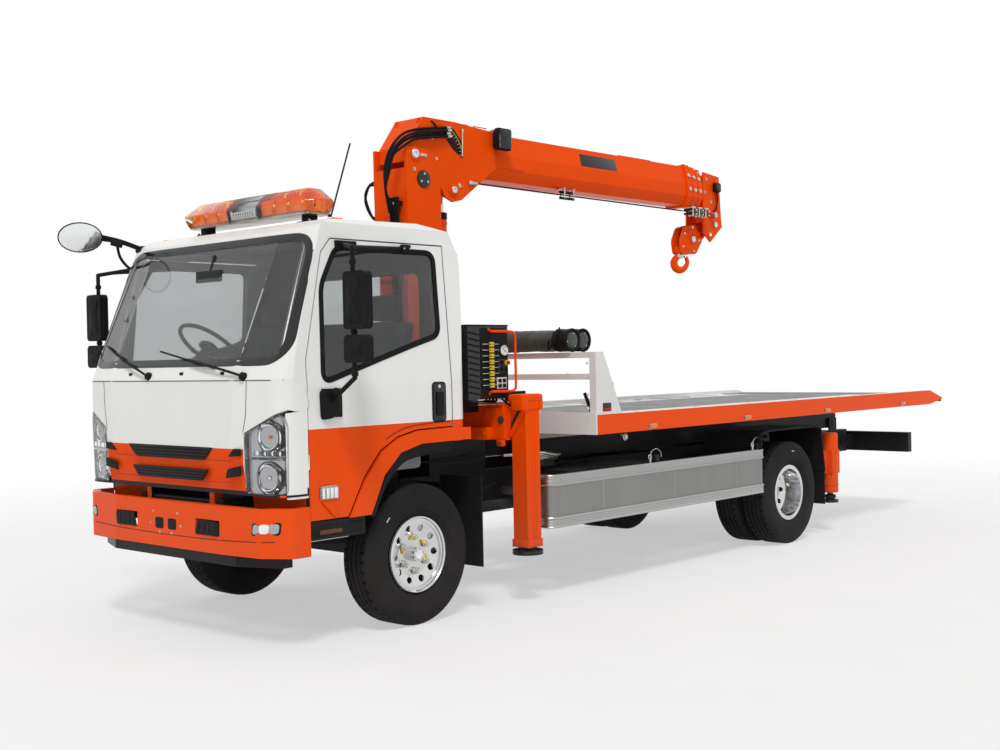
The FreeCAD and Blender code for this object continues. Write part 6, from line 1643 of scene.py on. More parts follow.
class TRUCK_OT_boom(bpy.types.Operator):
    """Fits the boom: pins, dial, lamp, hoses, gussets, rope and roller guides"""

    bl_idname = "truck.boom"
    bl_label = "Boom"

    def execute(self, context):
        sizes = context.scene.truck_sizes
        hose = sizes.hose
        kit = Kit()
        for sign in (1, -1):
            at = spot(sign * 0.15, 1.18, 2.785)
            kit.pin(at, (sign, 0, 0), 0.026, "steel")
            kit.bar(at - Vector((sign * 0.012, 0, 0)), at, 0.044, "orange", 32)
            for d, z, radius in ((1.246, 2.822, 0.012), (0.983, 3.137, 0.012), (1.02, 2.99, 0.009)):
                kit.bolt(spot(sign * 0.14, d, z), (sign, 0, 0), radius)
            gusset = [(behind(d), z) for d, z in ((1.642, 3.1), (1.74, 3.088), (1.962, 3.034), (1.962, 2.99),
                (1.756, 2.992), (1.642, 2.99))]
            kit.slab(moved_in(softened(gusset, 0.012, 3)), "X", sign * 0.119, sign * 0.13, "orange", 0.003)
            kit.pipe([spot(sign * 0.11, 0.87, 3.23), spot(sign * 0.11, 0.872, 3.252),
                spot(sign * 0.11, 0.892, 3.259), spot(sign * 0.11, 0.912, 3.252),
                spot(sign * 0.11, 0.914, 3.23)], 0.007, "orange", 10, 5)
            for k in range(3):
                kit.bar(spot(sign * 0.1385, 1.0 + 0.2 * k, 3.26), spot(sign * 0.1385, 1.14 + 0.2 * k, 3.26),
                    0.004, "orange", 8)
        dial = [(behind(d), z) for d, z in ((1.085, 3.209), (1.191, 3.221), (1.278, 3.13), (1.281, 3.021),
            (1.19, 3.07), (1.12, 3.14))]
        kit.slab(dial, "X", 0.139, 0.1445, "plastic", 0.001)
        hub = (behind(1.075), 3.215 - 0.19)
        for k in range(10):
            turn = math.radians(78 - 8.2 * k)
            for r0, r1, tint in ((0.176, 0.19, "white_plastic"), (0.15, 0.158, "red_plastic")):
                one = Vector((0.1448, hub[0] + r0 * math.cos(turn), hub[1] + r0 * math.sin(turn)))
                two = Vector((0.1448, hub[0] + r1 * math.cos(turn), hub[1] + r1 * math.sin(turn)))
                kit.bar(one, two, 0.0016, tint, 6, edge=0)
        arc = [Vector((ROPE_SIDE, hub[0] + 0.2 * math.cos(math.radians(t)),
            hub[1] + 0.2 * math.sin(math.radians(t)))) for t in range(10, 62, 6)]
        kit.pipe(arc, 0.003, "yellow", 8, 2)
        kit.bar(spot(0.151, 1.276, 3.22), spot(0.151, 1.268, 3.03), 0.006, "zinc", 12)
        kit.turned(spot(0.14, 1.276, 3.215), (1, 0, 0), [(0, 0.012), (0.014, 0.012), (0.017, 0)], "zinc", 16)
        lamp = spot(0.205, 1.65, 3.186)
        kit.block(lamp + Vector((-0.03, -0.07, -0.08)), lamp + Vector((0.02, 0.07, 0.08)), "plastic", 0.014)
        kit.block(lamp + Vector((-0.05, -0.06, -0.066)), lamp + Vector((-0.026, 0.06, 0.066)), "plastic",
            0.008)
        kit.slab(moved_in(softened([(lamp.y - 0.062, lamp.z - 0.07), (lamp.y + 0.062, lamp.z - 0.07),
            (lamp.y + 0.062, lamp.z + 0.07), (lamp.y - 0.062, lamp.z + 0.07)], 0.012, 4)), "X",
            lamp.x + 0.02, lamp.x + 0.026, "lens", 0.002)
        for k in range(6):
            z = lamp.z - 0.055 + k * 0.022
            kit.bar((lamp.x - 0.052, lamp.y - 0.055, z), (lamp.x - 0.052, lamp.y + 0.055, z), 0.004,
                "plastic", 8)
        kit.pipe([spot(0.095, 1.6, 3.236), spot(0.12, 1.612, 3.256), spot(0.17, 1.625, 3.256),
            spot(0.19, 1.64, 3.24)], 0.009, "zinc", 10, 5)
        hoses = Kit()
        for number in range(4):
            x = 0.03 + number * 0.026
            wide = 0.156 + 0.011 * (number % 2)
            drop = 0.021 * number
            hoses.pipe([spot(wide, 1.11, 3.215 - drop), spot(wide + 0.006, 0.94, 3.188 - drop),
                spot(wide + 0.008, 0.795, 3.162 - drop), spot(wide + 0.008, 0.682 + drop * 0.4, 3.12 - drop),
                spot(wide + 0.006, 0.6 + drop * 0.6, 3.05 - drop * 0.6),
                spot(wide, 0.545 + drop * 0.6, 2.963), spot(wide - 0.01, 0.525 + drop * 0.5, 2.861),
                spot(0.13, 0.545, 2.728), spot(0.045 + number * 0.018, 0.655, 2.6)], hose, "rubber", 10, 6)
            kit.bar(spot(wide - 0.004, 1.105, 3.214 - drop), spot(wide - 0.004, 1.15, 3.22 - drop),
                hose * 1.35, "zinc", 6)
            kit.bar(spot(0.138, 1.145, 3.219 - drop), spot(wide, 1.145, 3.219 - drop), hose * 1.3, "zinc", 6)
            kit.bar(spot(x, 0.902, 3.25), spot(x, 0.96, 3.252), hose * 1.35, "zinc", 6)
        kit.block(spot(0.01, 0.955, 3.246), spot(0.135, 0.985, 3.266), "zinc", 0.004)
        kit.pipe([spot(0.12, 0.96, 3.256), spot(0.148, 0.99, 3.236), spot(0.15, 1.04, 3.19),
            spot(0.143, 1.06, 3.15)], 0.006, "rubber", 8, 5)
        kit.block(spot(-0.07, 1.42, 3.24), spot(0.07, 1.5, 3.266), "plastic", 0.008)
        kit.pipe([spot(0.04, 1.0, 3.259), spot(0.05, 1.18, 3.26), spot(0.042, 1.42, 3.254)], 0.007, "rubber",
            8, 5)
        kit.pipe([spot(0.052, 1.5, 3.256), spot(0.09, 1.56, 3.246), spot(0.11, 1.61, 3.235)], 0.006,
            "rubber", 8, 5)
        for sign in (1, -1):
            lean = Matrix.Translation(spot(sign * 0.1065, 2.895, 3.15)) @ Matrix.Rotation(-sign * 0.228, 4,
                "Y")
            kit.block((-0.003, -0.232, -0.05), (0.003, 0.232, 0.05), "gloss_black", 0.002, lean)
        top = [(0.086, behind(3.18)), (0.02, behind(3.26)), (-0.02, behind(3.26)), (-0.086, behind(3.18)),
            (-0.086, behind(3.64)), (-0.02, behind(3.56)), (0.02, behind(3.56)), (0.086, behind(3.64))]
        kit.slab(top, "Z", 3.239, 3.247, "orange", 0.003)
        roller = spot(ROPE_SIDE, 2.44, 2.846)
        kit.block(roller + Vector((-0.06, -0.06, 0.048)), roller + Vector((-0.02, 0.06, 0.062)),
            "red_plastic", 0.004)
        for move in (-0.055, 0.055):
            kit.bolt(roller + Vector((-0.04, move * 0.7, 0.046)), (0, 0, -1), 0.007)
            kit.bar(roller + Vector((-0.018, move, 0.045)), roller + Vector((-0.018, move, -0.028)), 0.006,
                "zinc", 12)
            kit.bar(roller + Vector((0.022, move, 0.045)), roller + Vector((0.022, move, -0.028)), 0.006,
                "zinc", 12)
        for z in (-0.024, 0.022):
            kit.bar(roller + Vector((0, -0.085, z)), roller + Vector((0, 0.085, z)), 0.011, "plastic", 18)
        kit.bar(roller + Vector((-0.026, -0.06, 0.047)), roller + Vector((0.03, -0.06, 0.047)), 0.007,
            "zinc", 12)
        kit.bar(roller + Vector((-0.026, 0.06, 0.047)), roller + Vector((0.03, 0.06, 0.047)), 0.007, "zinc",
            12)
        rope_line = [spot(ROPE_SIDE, 1.386, 2.85), spot(ROPE_SIDE, 2.44, 2.846), spot(ROPE_SIDE, 3.5, 2.842),
            spot(ROPE_SIDE, 4.0, 2.84)]
        kit.pipe(rope_line, sizes.rope, "rubber", 10, 8)
        kit.turned(spot(ROPE_SIDE, 1.36, 2.85), (0, 1, 0), [(0, 0.0), (0, 0.016), (0.06, 0.014),
            (0.07, 0.007)], "zinc", 18)
        kit.block(spot(0.1, 1.33, 2.836), spot(0.16, 1.362, 2.864), "zinc", 0.004)
        for number in range(3):
            z = 3.16
            kit.bolt(spot(0.119, 4.153, z), (0.94, 0, 0.34), 0.013)
        self.collar(kit, 4.19, 0.0)
        made("boom_fittings", kit, "boom")
        bundle = made("crane_hoses", hoses, None)
        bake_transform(bundle)

        for number in (1, 2, 3):
            kit = Kit()
            if number < 3:
                self.collar(kit, 4.19 + 0.1 * number, 0.014 * number)
            else:
                self.tip(kit, sizes)
            made(f"stage_{number}_fittings", kit, f"stage_{number}")
        return {"FINISHED"}

    @staticmethod
    def collar(kit, end, shrink):
        """Bolts, top lug and roller brackets of a section's collar."""
        middle = end - 0.035
        wide = 0.138 - shrink
        for sign in (1, -1):
            for z, x in ((3.16 - shrink * 0.5, wide - 0.014), (3.042, wide)):
                kit.pin(spot(sign * x, middle, z), (sign, 0, 0.35 if z > 3.1 else 0), 0.019, "zinc")
            lug = [(behind(end - 0.088), 3.19 - shrink), (behind(end - 0.002), 3.19 - shrink),
                (behind(end - 0.006), 3.266 - shrink), (behind(end - 0.074), 3.266 - shrink)]
            kit.plate(lug, 0.03, "X", sign * 0.064, sign * 0.078, "orange", 0.003)
        top = 3.236 - shrink
        kit.bar(spot(-0.086, middle, top), spot(0.086, middle, top), 0.011, "zinc", 18)
        kit.bar(spot(-0.05, middle, top), spot(0.05, middle, top), 0.026, "plastic", 24)
        kit.bar(spot(0.16, middle, 2.8), spot(0.16, middle, 2.872), 0.009, "zinc", 14)
        kit.bar(spot(0.128, middle, 2.8), spot(0.128, middle, 2.872), 0.009, "zinc", 14)
        for z in (2.822, 2.858):
            kit.bar(spot(0.098, middle - 0.04, z), spot(0.18, middle - 0.04, z), 0.01, "plastic", 16)
            kit.bar(spot(0.098, middle + 0.036, z), spot(0.18, middle + 0.036, z), 0.01, "zinc", 16)
        kit.block(spot(0.07, middle - 0.03, 2.872), spot(0.176, middle + 0.03, 2.886), "zinc", 0.004)

    @staticmethod
    def tip(kit, sizes):
        """The tip's pins, lamp and inner rope."""
        for sign in (1, -1):
            for d, z, radius in ((4.61, 2.76, 0.026), (4.52, 2.665, 0.018)):
                kit.pin(spot(sign * 0.096, d, z), (sign, 0, 0), radius, "steel")
                kit.bar(spot(sign * 0.094, d, z), spot(sign * 0.099, d, z), radius * 1.5, "orange", 28)
            for d, z in ((4.47, 3.16), (4.445, 3.042), (4.54, 2.96), (4.64, 2.96)):
                kit.bolt(spot(sign * 0.096, d, z), (sign, 0, 0), 0.011)
            rib = [(behind(4.6), 3.17), (behind(4.65), 3.168), (behind(4.675), 2.88), (behind(4.64), 2.88)]
            kit.slab(rib, "X", sign * 0.096, sign * 0.104, "orange", 0.002)
        kit.block(spot(0.098, 4.57, 3.05), spot(0.14, 4.65, 3.135), "plastic", 0.012)
        kit.block(spot(0.14, 4.578, 3.06), spot(0.145, 4.642, 3.125), "lens", 0.002)
        kit.pipe([spot(0.118, 4.61, 3.05), spot(0.12, 4.62, 2.98), spot(0.108, 4.6, 2.9),
            spot(0.099, 4.56, 2.86)], 0.006, "rubber", 8, 5)
        kit.pipe([spot(ROPE_SIDE, 2.25, 2.848), spot(ROPE_SIDE, 3.4, 2.842), spot(ROPE_SIDE, 4.52, 2.838)],
            sizes.rope * 0.7, "rubber", 8, 8)
        kit.bar(spot(0.1, 4.53, 2.838), spot(0.16, 4.53, 2.838), 0.026, "zinc", 28)
        for x in (-0.03, -0.01, 0.012, 0.032):
            kit.bar(spot(x, 4.61, 2.76), spot(x + 0.008, 4.61, 2.76), 0.078, "plastic", 36)


class TRUCK_OT_hook(bpy.types.Operator):
    """Makes the hook block: link, cheeks, sheave, swivel and a tapering hook with its latch"""

    bl_idname = "truck.hook"
    bl_label = "Hook block"

    def execute(self, context):
        kit = Kit()
        pin = Vector((0, behind(4.52), 2.665))
        kit.block(pin + Vector((-0.014, -0.225, -0.024)), pin + Vector((0.014, -0.01, 0.024)), "orange",
            0.006)
        kit.turned(pin - Vector((0.014, 0, 0)), (1, 0, 0), [(0, 0.019), (0, 0.032), (0.028, 0.032),
            (0.028, 0.019)], "orange", 28)
        cheek = [(pin.y - 0.412, 2.596), (pin.y - 0.342, 2.716), (pin.y - 0.172, 2.752),
            (pin.y - 0.044, 2.622), (pin.y - 0.156, 2.484), (pin.y - 0.388, 2.478)]
        hub = (pin.y - 0.215, 2.615)
        for sign in (1, -1):
            kit.plate(cheek, 0.03, "X", sign * 0.036, sign * 0.048, "orange", 0.003)
            inner = [(hub[0] + (y - hub[0]) * 0.72, hub[1] + (z - hub[1]) * 0.72) for y, z in cheek]
            kit.plate(inner, 0.03, "X", sign * 0.048, sign * 0.052, "orange", 0.002)
            kit.bar((sign * 0.05, *hub), (sign * 0.058, *hub), 0.046, "orange", 30)
            for dy, z, radius in ((-0.215, 2.615, 0.03), (-0.358, 2.546, 0.011), (-0.105, 2.612, 0.011),
                    (-0.205, 2.722, 0.011), (-0.33, 2.662, 0.011), (-0.19, 2.512, 0.011)):
                kit.pin((sign * (0.056 if radius > 0.02 else 0.048), pin.y + dy, z), (sign, 0, 0), radius,
                    "steel")
        kit.turned((-0.03, *hub), (1, 0, 0), [(0, 0.02), (0, 0.098), (0.006, 0.1), (0.012, 0.098),
            (0.022, 0.08), (0.038, 0.08), (0.048, 0.098), (0.054, 0.1), (0.06, 0.098), (0.06, 0.02)],
            "black", 48)
        middle = Vector((0, pin.y - 0.336, 2.38))
        kit.block(middle + Vector((-0.036, -0.052, 0.11)), middle + Vector((0.036, 0.052, 0.165)), "orange",
            0.012)
        kit.turned(middle + Vector((0, 0, 0.066)), (0, 0, 1), [(0, 0.022), (0.004, 0.036), (0.038, 0.036),
            (0.046, 0.03)], "zinc", 6)
        across = Vector((0.738, 0.675, 0))
        side = Vector((0.675, -0.738, 0))
        stations = [Vector(p) for p in ((-0.004, 0.11, 0.022), (-0.016, 0.088, 0.025),
            (-0.042, 0.062, 0.029), (-0.056, 0.026, 0.033), (-0.044, -0.018, 0.034), (-0.01, -0.04, 0.031),
            (0.028, -0.03, 0.026), (0.054, 0.002, 0.021), (0.064, 0.038, 0.016), (0.061, 0.066, 0.01),
            (0.057, 0.082, 0.004), (0.056, 0.087, 0.0008))]
        line = smooth_line(stations, 5)
        rows = []
        for i, here in enumerate(line):
            run = (line[min(i + 1, len(line) - 1)] - line[max(i - 1, 0)])
            run.z = 0
            run.normalize()
            outward = across * run.y + Vector((0, 0, -run.x))
            place = middle + across * here.x + Vector((0, 0, here.y))
            rows.append([place + outward * (here.z * math.cos(math.tau * k / 24)) + side
                * ((0.004 + here.z * 0.62) * math.sin(math.tau * k / 24)) for k in range(24)])
        kit.skin(rows, "orange", closed=True)
        latch = [(-0.004, 0.094), (0.03, 0.084), (0.046, 0.058), (0.05, 0.036)]
        for move in (-0.007, 0.007):
            kit.pipe([middle + across * u + side * move + Vector((0, 0, v)) for u, v in latch], 0.0048,
                "plastic", 10, 5)
        kit.bar(middle + across * 0.004 - side * 0.034 + Vector((0, 0, 0.092)),
            middle + across * 0.004 + side * 0.034 + Vector((0, 0, 0.092)), 0.007, "zinc", 14)
        made("hook_fittings", kit, "hook", ["hook_block"])
        return {"FINISHED"}


# ---------------------------------------------------------------- chassis gear

class TRUCK_OT_legs(bpy.types.Operator):
    """Finishes the front legs: caps, gussets, ridges with a painted shade strip beside the slanting rib, a
    painted shadow under each cap's lip, collars and the plates beside them
    """

    bl_idname = "truck.legs"
    bl_label = "Front legs"

    def execute(self, context):
        base = Kit()
        for side, sign in SIDES:
            plate = [(sign * x, z) for x, z in ((0.774, 1.267), (0.868, 1.268), (0.886, 1.235),
                (0.902, 1.236), (0.923, 1.3), (0.93, 1.3), (0.93, 1.064), (0.725, 1.064), (0.725, 1.142))]
            base.plate(plate, 0.008, "Y", behind(0.794), behind(0.816), "orange", 0.003)
            foot = [(sign * x, z) for x, z in ((0.605, 1.062), (0.836, 1.062), (0.836, 1.144),
                (0.605, 1.136))]
            base.plate(foot, 0.018, "Y", behind(0.742), behind(0.8), "orange", 0.005)
            base.block(spot(sign * 0.43, 0.7, 1.062), spot(sign * 0.61, 0.815, 1.11), "orange", 0.006)
            base.block(spot(sign * 0.61, 0.8, 1.29), spot(sign * 0.9, 1.01, 1.3), "orange", 0.003)
            base.block(spot(sign * 0.62, 0.796, 1.286), spot(sign * 0.7, 0.806, 1.298), "orange", 0.003)
            base.turned(spot(sign * 0.905, 0.796, 1.192), (0, -1, 0),
                [(0, 0.026), (0.004, 0.026), (0.005, 0.018), (0.016, 0.017), (0.018, 0.009), (0.018, 0)],
                "iron", 24)
            base.bolt(spot(sign * 0.91, 0.77, 1.04), (0, -1, 0), 0.01)
            base.block(spot(sign * 0.885, 0.768, 1.022), spot(sign * 0.94, 0.8, 1.062), "orange", 0.008)
            for x in (0.66, 0.8):
                base.bolt(spot(sign * x, 0.742, 1.102), (0, -1, 0), 0.009, "orange")

            kit = Kit()
            outer, inner = sign * 1.073, sign * 0.947
            rib = Matrix.Translation(spot(sign * 1.004, 0.843, 1.172)) @ Matrix.Rotation(sign * 0.595, 4, "Y")
            kit.block((-0.013, -0.012, -0.104), (0.013, 0.012, 0.104), "orange", 0.004, rib)
            # A dark strip beside the rib: painted shade that the rib casts on the housing.
            rib = Matrix.Translation(spot(sign * 0.981, 0.846, 1.188)) @ Matrix.Rotation(sign * 0.595, 4, "Y")
            kit.block((-0.012, -0.006, -0.1), (0.012, 0.006, 0.1), "dark_trim", 0.002, rib)
            kit.block(spot(sign * 0.962, 0.8, 1.312), spot(sign * 1.09, 1.004, 1.356), "orange", 0.018)
            for low, high in ((0.8, 0.862), (0.972, 1.004)):
                kit.block(spot(sign * 0.99, low, 1.252), spot(sign * 1.09, high, 1.33), "orange", 0.012)
            # A thin black block under the cap's lip: painted shadow.
            kit.block(spot(sign * 1.06, 0.864, 1.29), spot(sign * 1.077, 0.972, 1.312), "black", 0.003)
            for d in (0.909, 0.937):
                kit.block(spot(sign * 1.07, d - 0.005, 0.42), spot(sign * 1.0765, d + 0.005, 1.285),
                    "orange", 0.003)
            for end in (0.8505, 0.9775):
                kit.bar(spot(outer - sign * 0.004, end, 0.43), spot(outer - sign * 0.004, end, 1.255),
                    0.0045, "orange", 10)
            for low, high in (((inner - sign * 0.008, 0.843), (outer + sign * 0.008, 0.853)),
                    ((inner - sign * 0.008, 0.975), (outer + sign * 0.008, 0.985))):
                kit.block(spot(*low, 0.368), spot(*high, 0.42), "orange", 0.004)
            for low, high in ((inner - sign * 0.008, inner + sign * 0.002),
                    (outer - sign * 0.002, outer + sign * 0.008)):
                kit.block(spot(low, 0.845, 0.368), spot(high, 0.983, 0.42), "orange", 0.004)
            kit.block(spot(sign * 0.975, 0.838, 0.372), spot(sign * 0.983, 0.846, 0.424), "orange", 0.003)
            kit.pipe([spot(sign * 0.955, 0.835, 1.28), spot(sign * 0.92, 0.79, 1.33),
                spot(sign * 0.94, 0.815, 1.3)], 0.006, "rubber", 8, 5)
            made(f"leg_details_{side}", kit, f"{side}_outrigger")

            kit = Kit()
            middle = spot(sign * 1.01, 0.914, 0)
            kit.turned(middle + Vector((0, 0, 0.3205)), (0, 0, 1),
                [(0, 0), (0, 0.098), (0.005, 0.1005), (0.014, 0.099), (0.022, 0.09), (0.026, 0.064),
                (0.046, 0.058), (0.048, 0.0)], "rubber", 48)
            made(f"jack_foot_{side}", kit, f"{side}_jack")
        made("base_plates", base, "chassis")
        return {"FINISHED"}


class TRUCK_OT_controls(bpy.types.Operator):
    """Fits the control cabinets: levers, gauge, switches, stop knob, louvres and guard rails"""

    bl_idname = "truck.controls"
    bl_label = "Crane controls"

    def execute(self, context):
        kit = Kit()
        face = 0.9
        kit.plate([(behind(d), z) for d, z in ((0.618, 1.352), (0.872, 1.352), (0.872, 1.786),
            (0.618, 1.786))], 0.012, "X", face - 0.001, face + 0.003, "plastic", 0.001)
        for k in range(8):
            z = 1.681 - k * 0.0375
            kit.block(spot(face, 0.622, z - 0.006), spot(face + 0.0045, 0.785, z + 0.006), "rubber", 0.002)
            kit.bar(spot(face + 0.011, 0.626, z), spot(face + 0.011, 0.78, z), 0.0026, "steel", 10)
            kit.bar(spot(face, 0.705, z), spot(face + 0.022, 0.705, z), 0.004, "steel", 10)
            for move in (0.007, -0.011):
                kit.block(spot(face + 0.014, 0.686, z + move - 0.005),
                    spot(face + 0.026, 0.724, z + move + 0.006), "yellow", 0.003)
        at = spot(face + 0.002, 0.835, 1.64)
        kit.turned(at, (1, 0, 0), [(0, 0.034), (0.01, 0.034), (0.013, 0.031), (0.01, 0.028), (0.008, 0.028)],
            "chrome", 36)
        kit.turned(at, (1, 0, 0), [(0.0075, 0.029), (0.008, 0.0)], "white_plastic", 36)
        for turn in (-0.6, 2.2):
            kit.bar(at + Vector((0.0095, 0, 0)), at + Vector((0.0095, 0.02 * math.cos(turn),
                0.02 * math.sin(turn))), 0.0016, "dark_trim", 6)
        for k in range(9):
            turn = math.radians(-30 + 30 * k)
            mark = at + Vector((0.0085, 0.024 * math.cos(turn), 0.024 * math.sin(turn)))
            kit.bar(mark, mark + Vector((0, 0.003 * math.cos(turn), 0.003 * math.sin(turn))), 0.0009,
                "dark_trim", 6)
        kit.block(spot(face, 0.782, 1.494), spot(face + 0.007, 0.874, 1.584), "iron", 0.003)
        for d, z in ((0.806, 1.562), (0.806, 1.518), (0.846, 1.518)):
            kit.bar(spot(face + 0.006, d, z), spot(face + 0.02, d, z), 0.012, "plastic", 20)
            kit.block(spot(face + 0.02, d - 0.003, z - 0.011), spot(face + 0.026, d + 0.003, z + 0.011),
                "plastic", 0.001)
        kit.bar(spot(face + 0.006, 0.856, 1.56), spot(face + 0.014, 0.856, 1.56), 0.017, "yellow", 24)
        kit.turned(spot(face + 0.014, 0.856, 1.56), (1, 0, 0),
            [(0, 0.007), (0.008, 0.007), (0.01, 0.014), (0.016, 0.0135), (0.019, 0.008), (0.0195, 0)],
            "red_plastic", 28)
        kit.block(spot(face, 0.766, 1.392), spot(face + 0.005, 0.86, 1.466), "white_plastic", 0.004)
        for d in (0.792, 0.834):
            for z in (1.412, 1.446):
                kit.block(spot(face + 0.004, d - 0.014, z - 0.012), spot(face + 0.012, d + 0.014, z + 0.012),
                    "plastic", 0.004)
        rail = face + 0.04
        kit.pipe([spot(face, 0.696, 1.772), spot(face + 0.02, 0.696, 1.766), spot(rail, 0.7, 1.762),
            spot(rail, 0.85, 1.762), spot(rail, 0.898, 1.75), spot(rail, 0.909, 1.716),
            spot(rail, 0.909, 1.6), spot(rail, 0.909, 1.42), spot(rail, 0.896, 1.386),
            spot(rail, 0.85, 1.376), spot(rail, 0.7, 1.378), spot(face + 0.02, 0.696, 1.374),
            spot(face, 0.696, 1.368)], 0.0085, "orange", 12, 4)
        for z in (1.778, 1.362):
            kit.bolt(spot(face, 0.696, z), (1, 0, 0), 0.008, "orange")
        for k in range(11):
            z = 1.372 + k * 0.038
            for side, low, high in ((1, 0.516, 0.606), (-1, 0.52, 0.69)):
                if side < 0 and z > 1.57:
                    continue
                slat = [(behind(low), z), (behind(high), z - 0.016), (behind(high), z - 0.006),
                    (behind(low), z + 0.01)]
                kit.slab(slat, "X", side * face, side * (face + 0.008), "plastic", 0.002)
        for x0, x1, z1, d1 in ((0.6, 0.9, 1.8, 0.88), (-0.9, -0.7, 1.62, 0.705)):
            low, high = spot(x0, 0.505, 1.33), spot(x1, d1, z1)
            for z in (low.z + 0.01, high.z - 0.01):
                for x in (low.x + 0.012, high.x - 0.012):
                    kit.bolt((x, low.y, z), (0, -1, 0), 0.006, "gloss_black")
            kit.block((low.x + 0.03, low.y - 0.003, low.z + 0.03),
                (high.x - 0.03, low.y + 0.001, high.z - 0.03), "plastic", 0.001)
            kit.block((low.x - 0.004, low.y - 0.004, high.z - 0.004),
                (high.x + 0.004, high.y + 0.004, high.z + 0.006), "plastic", 0.003)
        for number in range(4):
            x = 0.7 + number * 0.03
            kit.pipe([spot(x, 0.87, 1.345), spot(x - 0.02, 0.9, 1.31), spot(x - 0.12, 0.93, 1.3),
                spot(x - 0.28, 0.935, 1.3)], 0.008, "rubber", 8, 5)
        made("crane_controls", kit, "chassis")
        return {"FINISHED"}


def swept(kit, line, profile, finish):
    """A rail along a level line of (x, y, outward x, outward y); the profile holds (reach, height)."""
    rows = [[(x + a * out, y + b * out, z) for z, out in profile] for x, y, a, b in line]
    kit.skin(rows, finish)


class TRUCK_OT_guards(bpy.types.Operator):
    """Fits ribbed rails, reflectors, pins and bolts to the side guards, and what hangs behind them"""

    bl_idname = "truck.guards"
    bl_label = "Side guards"

    def execute(self, context):
        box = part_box("side_guards")
        near, far, face = box[0].y, box[1].y, box[1].x
        low, high = box[0].z, box[1].z
        kit = Kit()
        for sign in (1, -1):
            line = []
            for k in range(9):
                turn = math.radians(90 * k / 8)
                line.append((sign * (face - 0.07 + 0.07 * math.sin(turn)),
                    near + 0.07 - 0.07 * math.cos(turn), sign * math.sin(turn), -math.cos(turn)))
            line = [(sign * 0.85, near, 0, -1)] + line + [(sign * face, near + (far - near) * k / 6, sign,
                0) for k in range(1, 7)]
            for start, way in ((high, -1), (low, 1)):
                ribs = [(start + way * z, out) for z, out in ((0.0, 0.0), (0.0, 0.008), (0.006, 0.011),
                    (0.012, 0.007), (0.022, 0.007), (0.025, 0.0095), (0.028, 0.007), (0.038, 0.007),
                    (0.041, 0.0095), (0.044, 0.007), (0.054, 0.007), (0.058, 0.012), (0.066, 0.013),
                    (0.072, 0.009), (0.074, 0.0))]
                swept(kit, line, ribs, "bright")
            for k in range(3):
                y = near + 0.55 + k * 0.85
                kit.block((sign * (face - 0.001), y - 0.003, low + 0.08),
                    (sign * (face + 0.0015), y + 0.003, high - 0.08), "bright", 0.001)
            kit.plate([(sign * x, z) for x, z in ((0.852, low + 0.004), (0.892, low + 0.004),
                (0.892, high - 0.004), (0.852, high - 0.004))], 0.004, "Y", near - 0.003, near - 0.0125,
                "red", 0.001)
            for k in range(3):
                kit.block((sign * 0.853, near - 0.0135, low + 0.09 + k * 0.1),
                    (sign * 0.891, near - 0.012, low + 0.13 + k * 0.1), "red_plastic", 0.0005)
            for d in (2.209, 3.6):
                at = spot(sign * (face - 0.012), d, high + 0.03)
                kit.pipe([at, at + Vector((0, 0.02, 0.05)), at + Vector((0, 0.08, 0.068)),
                    at + Vector((0, 0.13, 0.04)), at + Vector((0, 0.14, 0.004))], 0.0028, "zinc", 8, 5)
                kit.bar(at - Vector((0, 0, 0.04)), at + Vector((0, 0, 0.006)), 0.008, "zinc", 14)
                ring = [at + Vector((0, 0.018 * math.cos(t), 0.012 + 0.018 * math.sin(t))) for t
                    in (math.tau * k / 16 for k in range(16))]
                kit.pipe(ring, 0.003, "zinc", 8, 1, True)
                kit.block(at + Vector((-0.016, 0.05, -0.034)), at + Vector((0.012, 0.1, 0.024)), "black",
                    0.006)
            for d, z in ((1.19, high - 0.035), (1.19, low + 0.035), (3.55, high - 0.035),
                    (3.55, low + 0.035)):
                kit.bolt(spot(sign * (face + 0.006), d, z), (sign, 0, 0), 0.007)
        valve = spot(0.64, 1.5, 0.88)
        kit.block(valve - Vector((0.06, 0.07, 0.05)), valve + Vector((0.06, 0.07, 0.05)), "iron", 0.01)
        for k in range(4):
            y = valve.y - 0.05 + k * 0.034
            kit.turned((valve.x + 0.058, y, 0.895), (1, 0, 0),
                [(0, 0.014), (0.016, 0.014), (0.018, 0.01), (0.036, 0.01), (0.036, 0)], "zinc", 12)
            kit.pipe([(valve.x + 0.092, y, 0.895), (valve.x + 0.13, y - 0.01, 0.915),
                (valve.x + 0.12, y - 0.08, 0.935 - k * 0.01), (valve.x + 0.06, y - 0.19, 0.93 - k * 0.014),
                (valve.x - 0.04, y - 0.3, 0.925)], 0.0085, "zinc", 10, 6)
        for _, sign in SIDES:
            kit.pipe([spot(sign * 0.52, 0.3, 0.8), spot(sign * 0.56, 0.6, 0.74), spot(sign * 0.6, 0.85, 0.7),
                spot(sign * 0.56, 1.1, 0.745)], 0.009, "rubber", 10, 6)
            kit.pipe([spot(sign * 0.5, 0.42, 0.93), spot(sign * 0.52, 0.7, 0.915),
                spot(sign * 0.5, 1.05, 0.93)], 0.007, "rubber", 10, 6)
            kit.bolt(spot(sign * 0.48, 0.52, 0.74), (sign, 0, 0), 0.016)
        made("guard_rails", kit, "chassis")
        return {"FINISHED"}


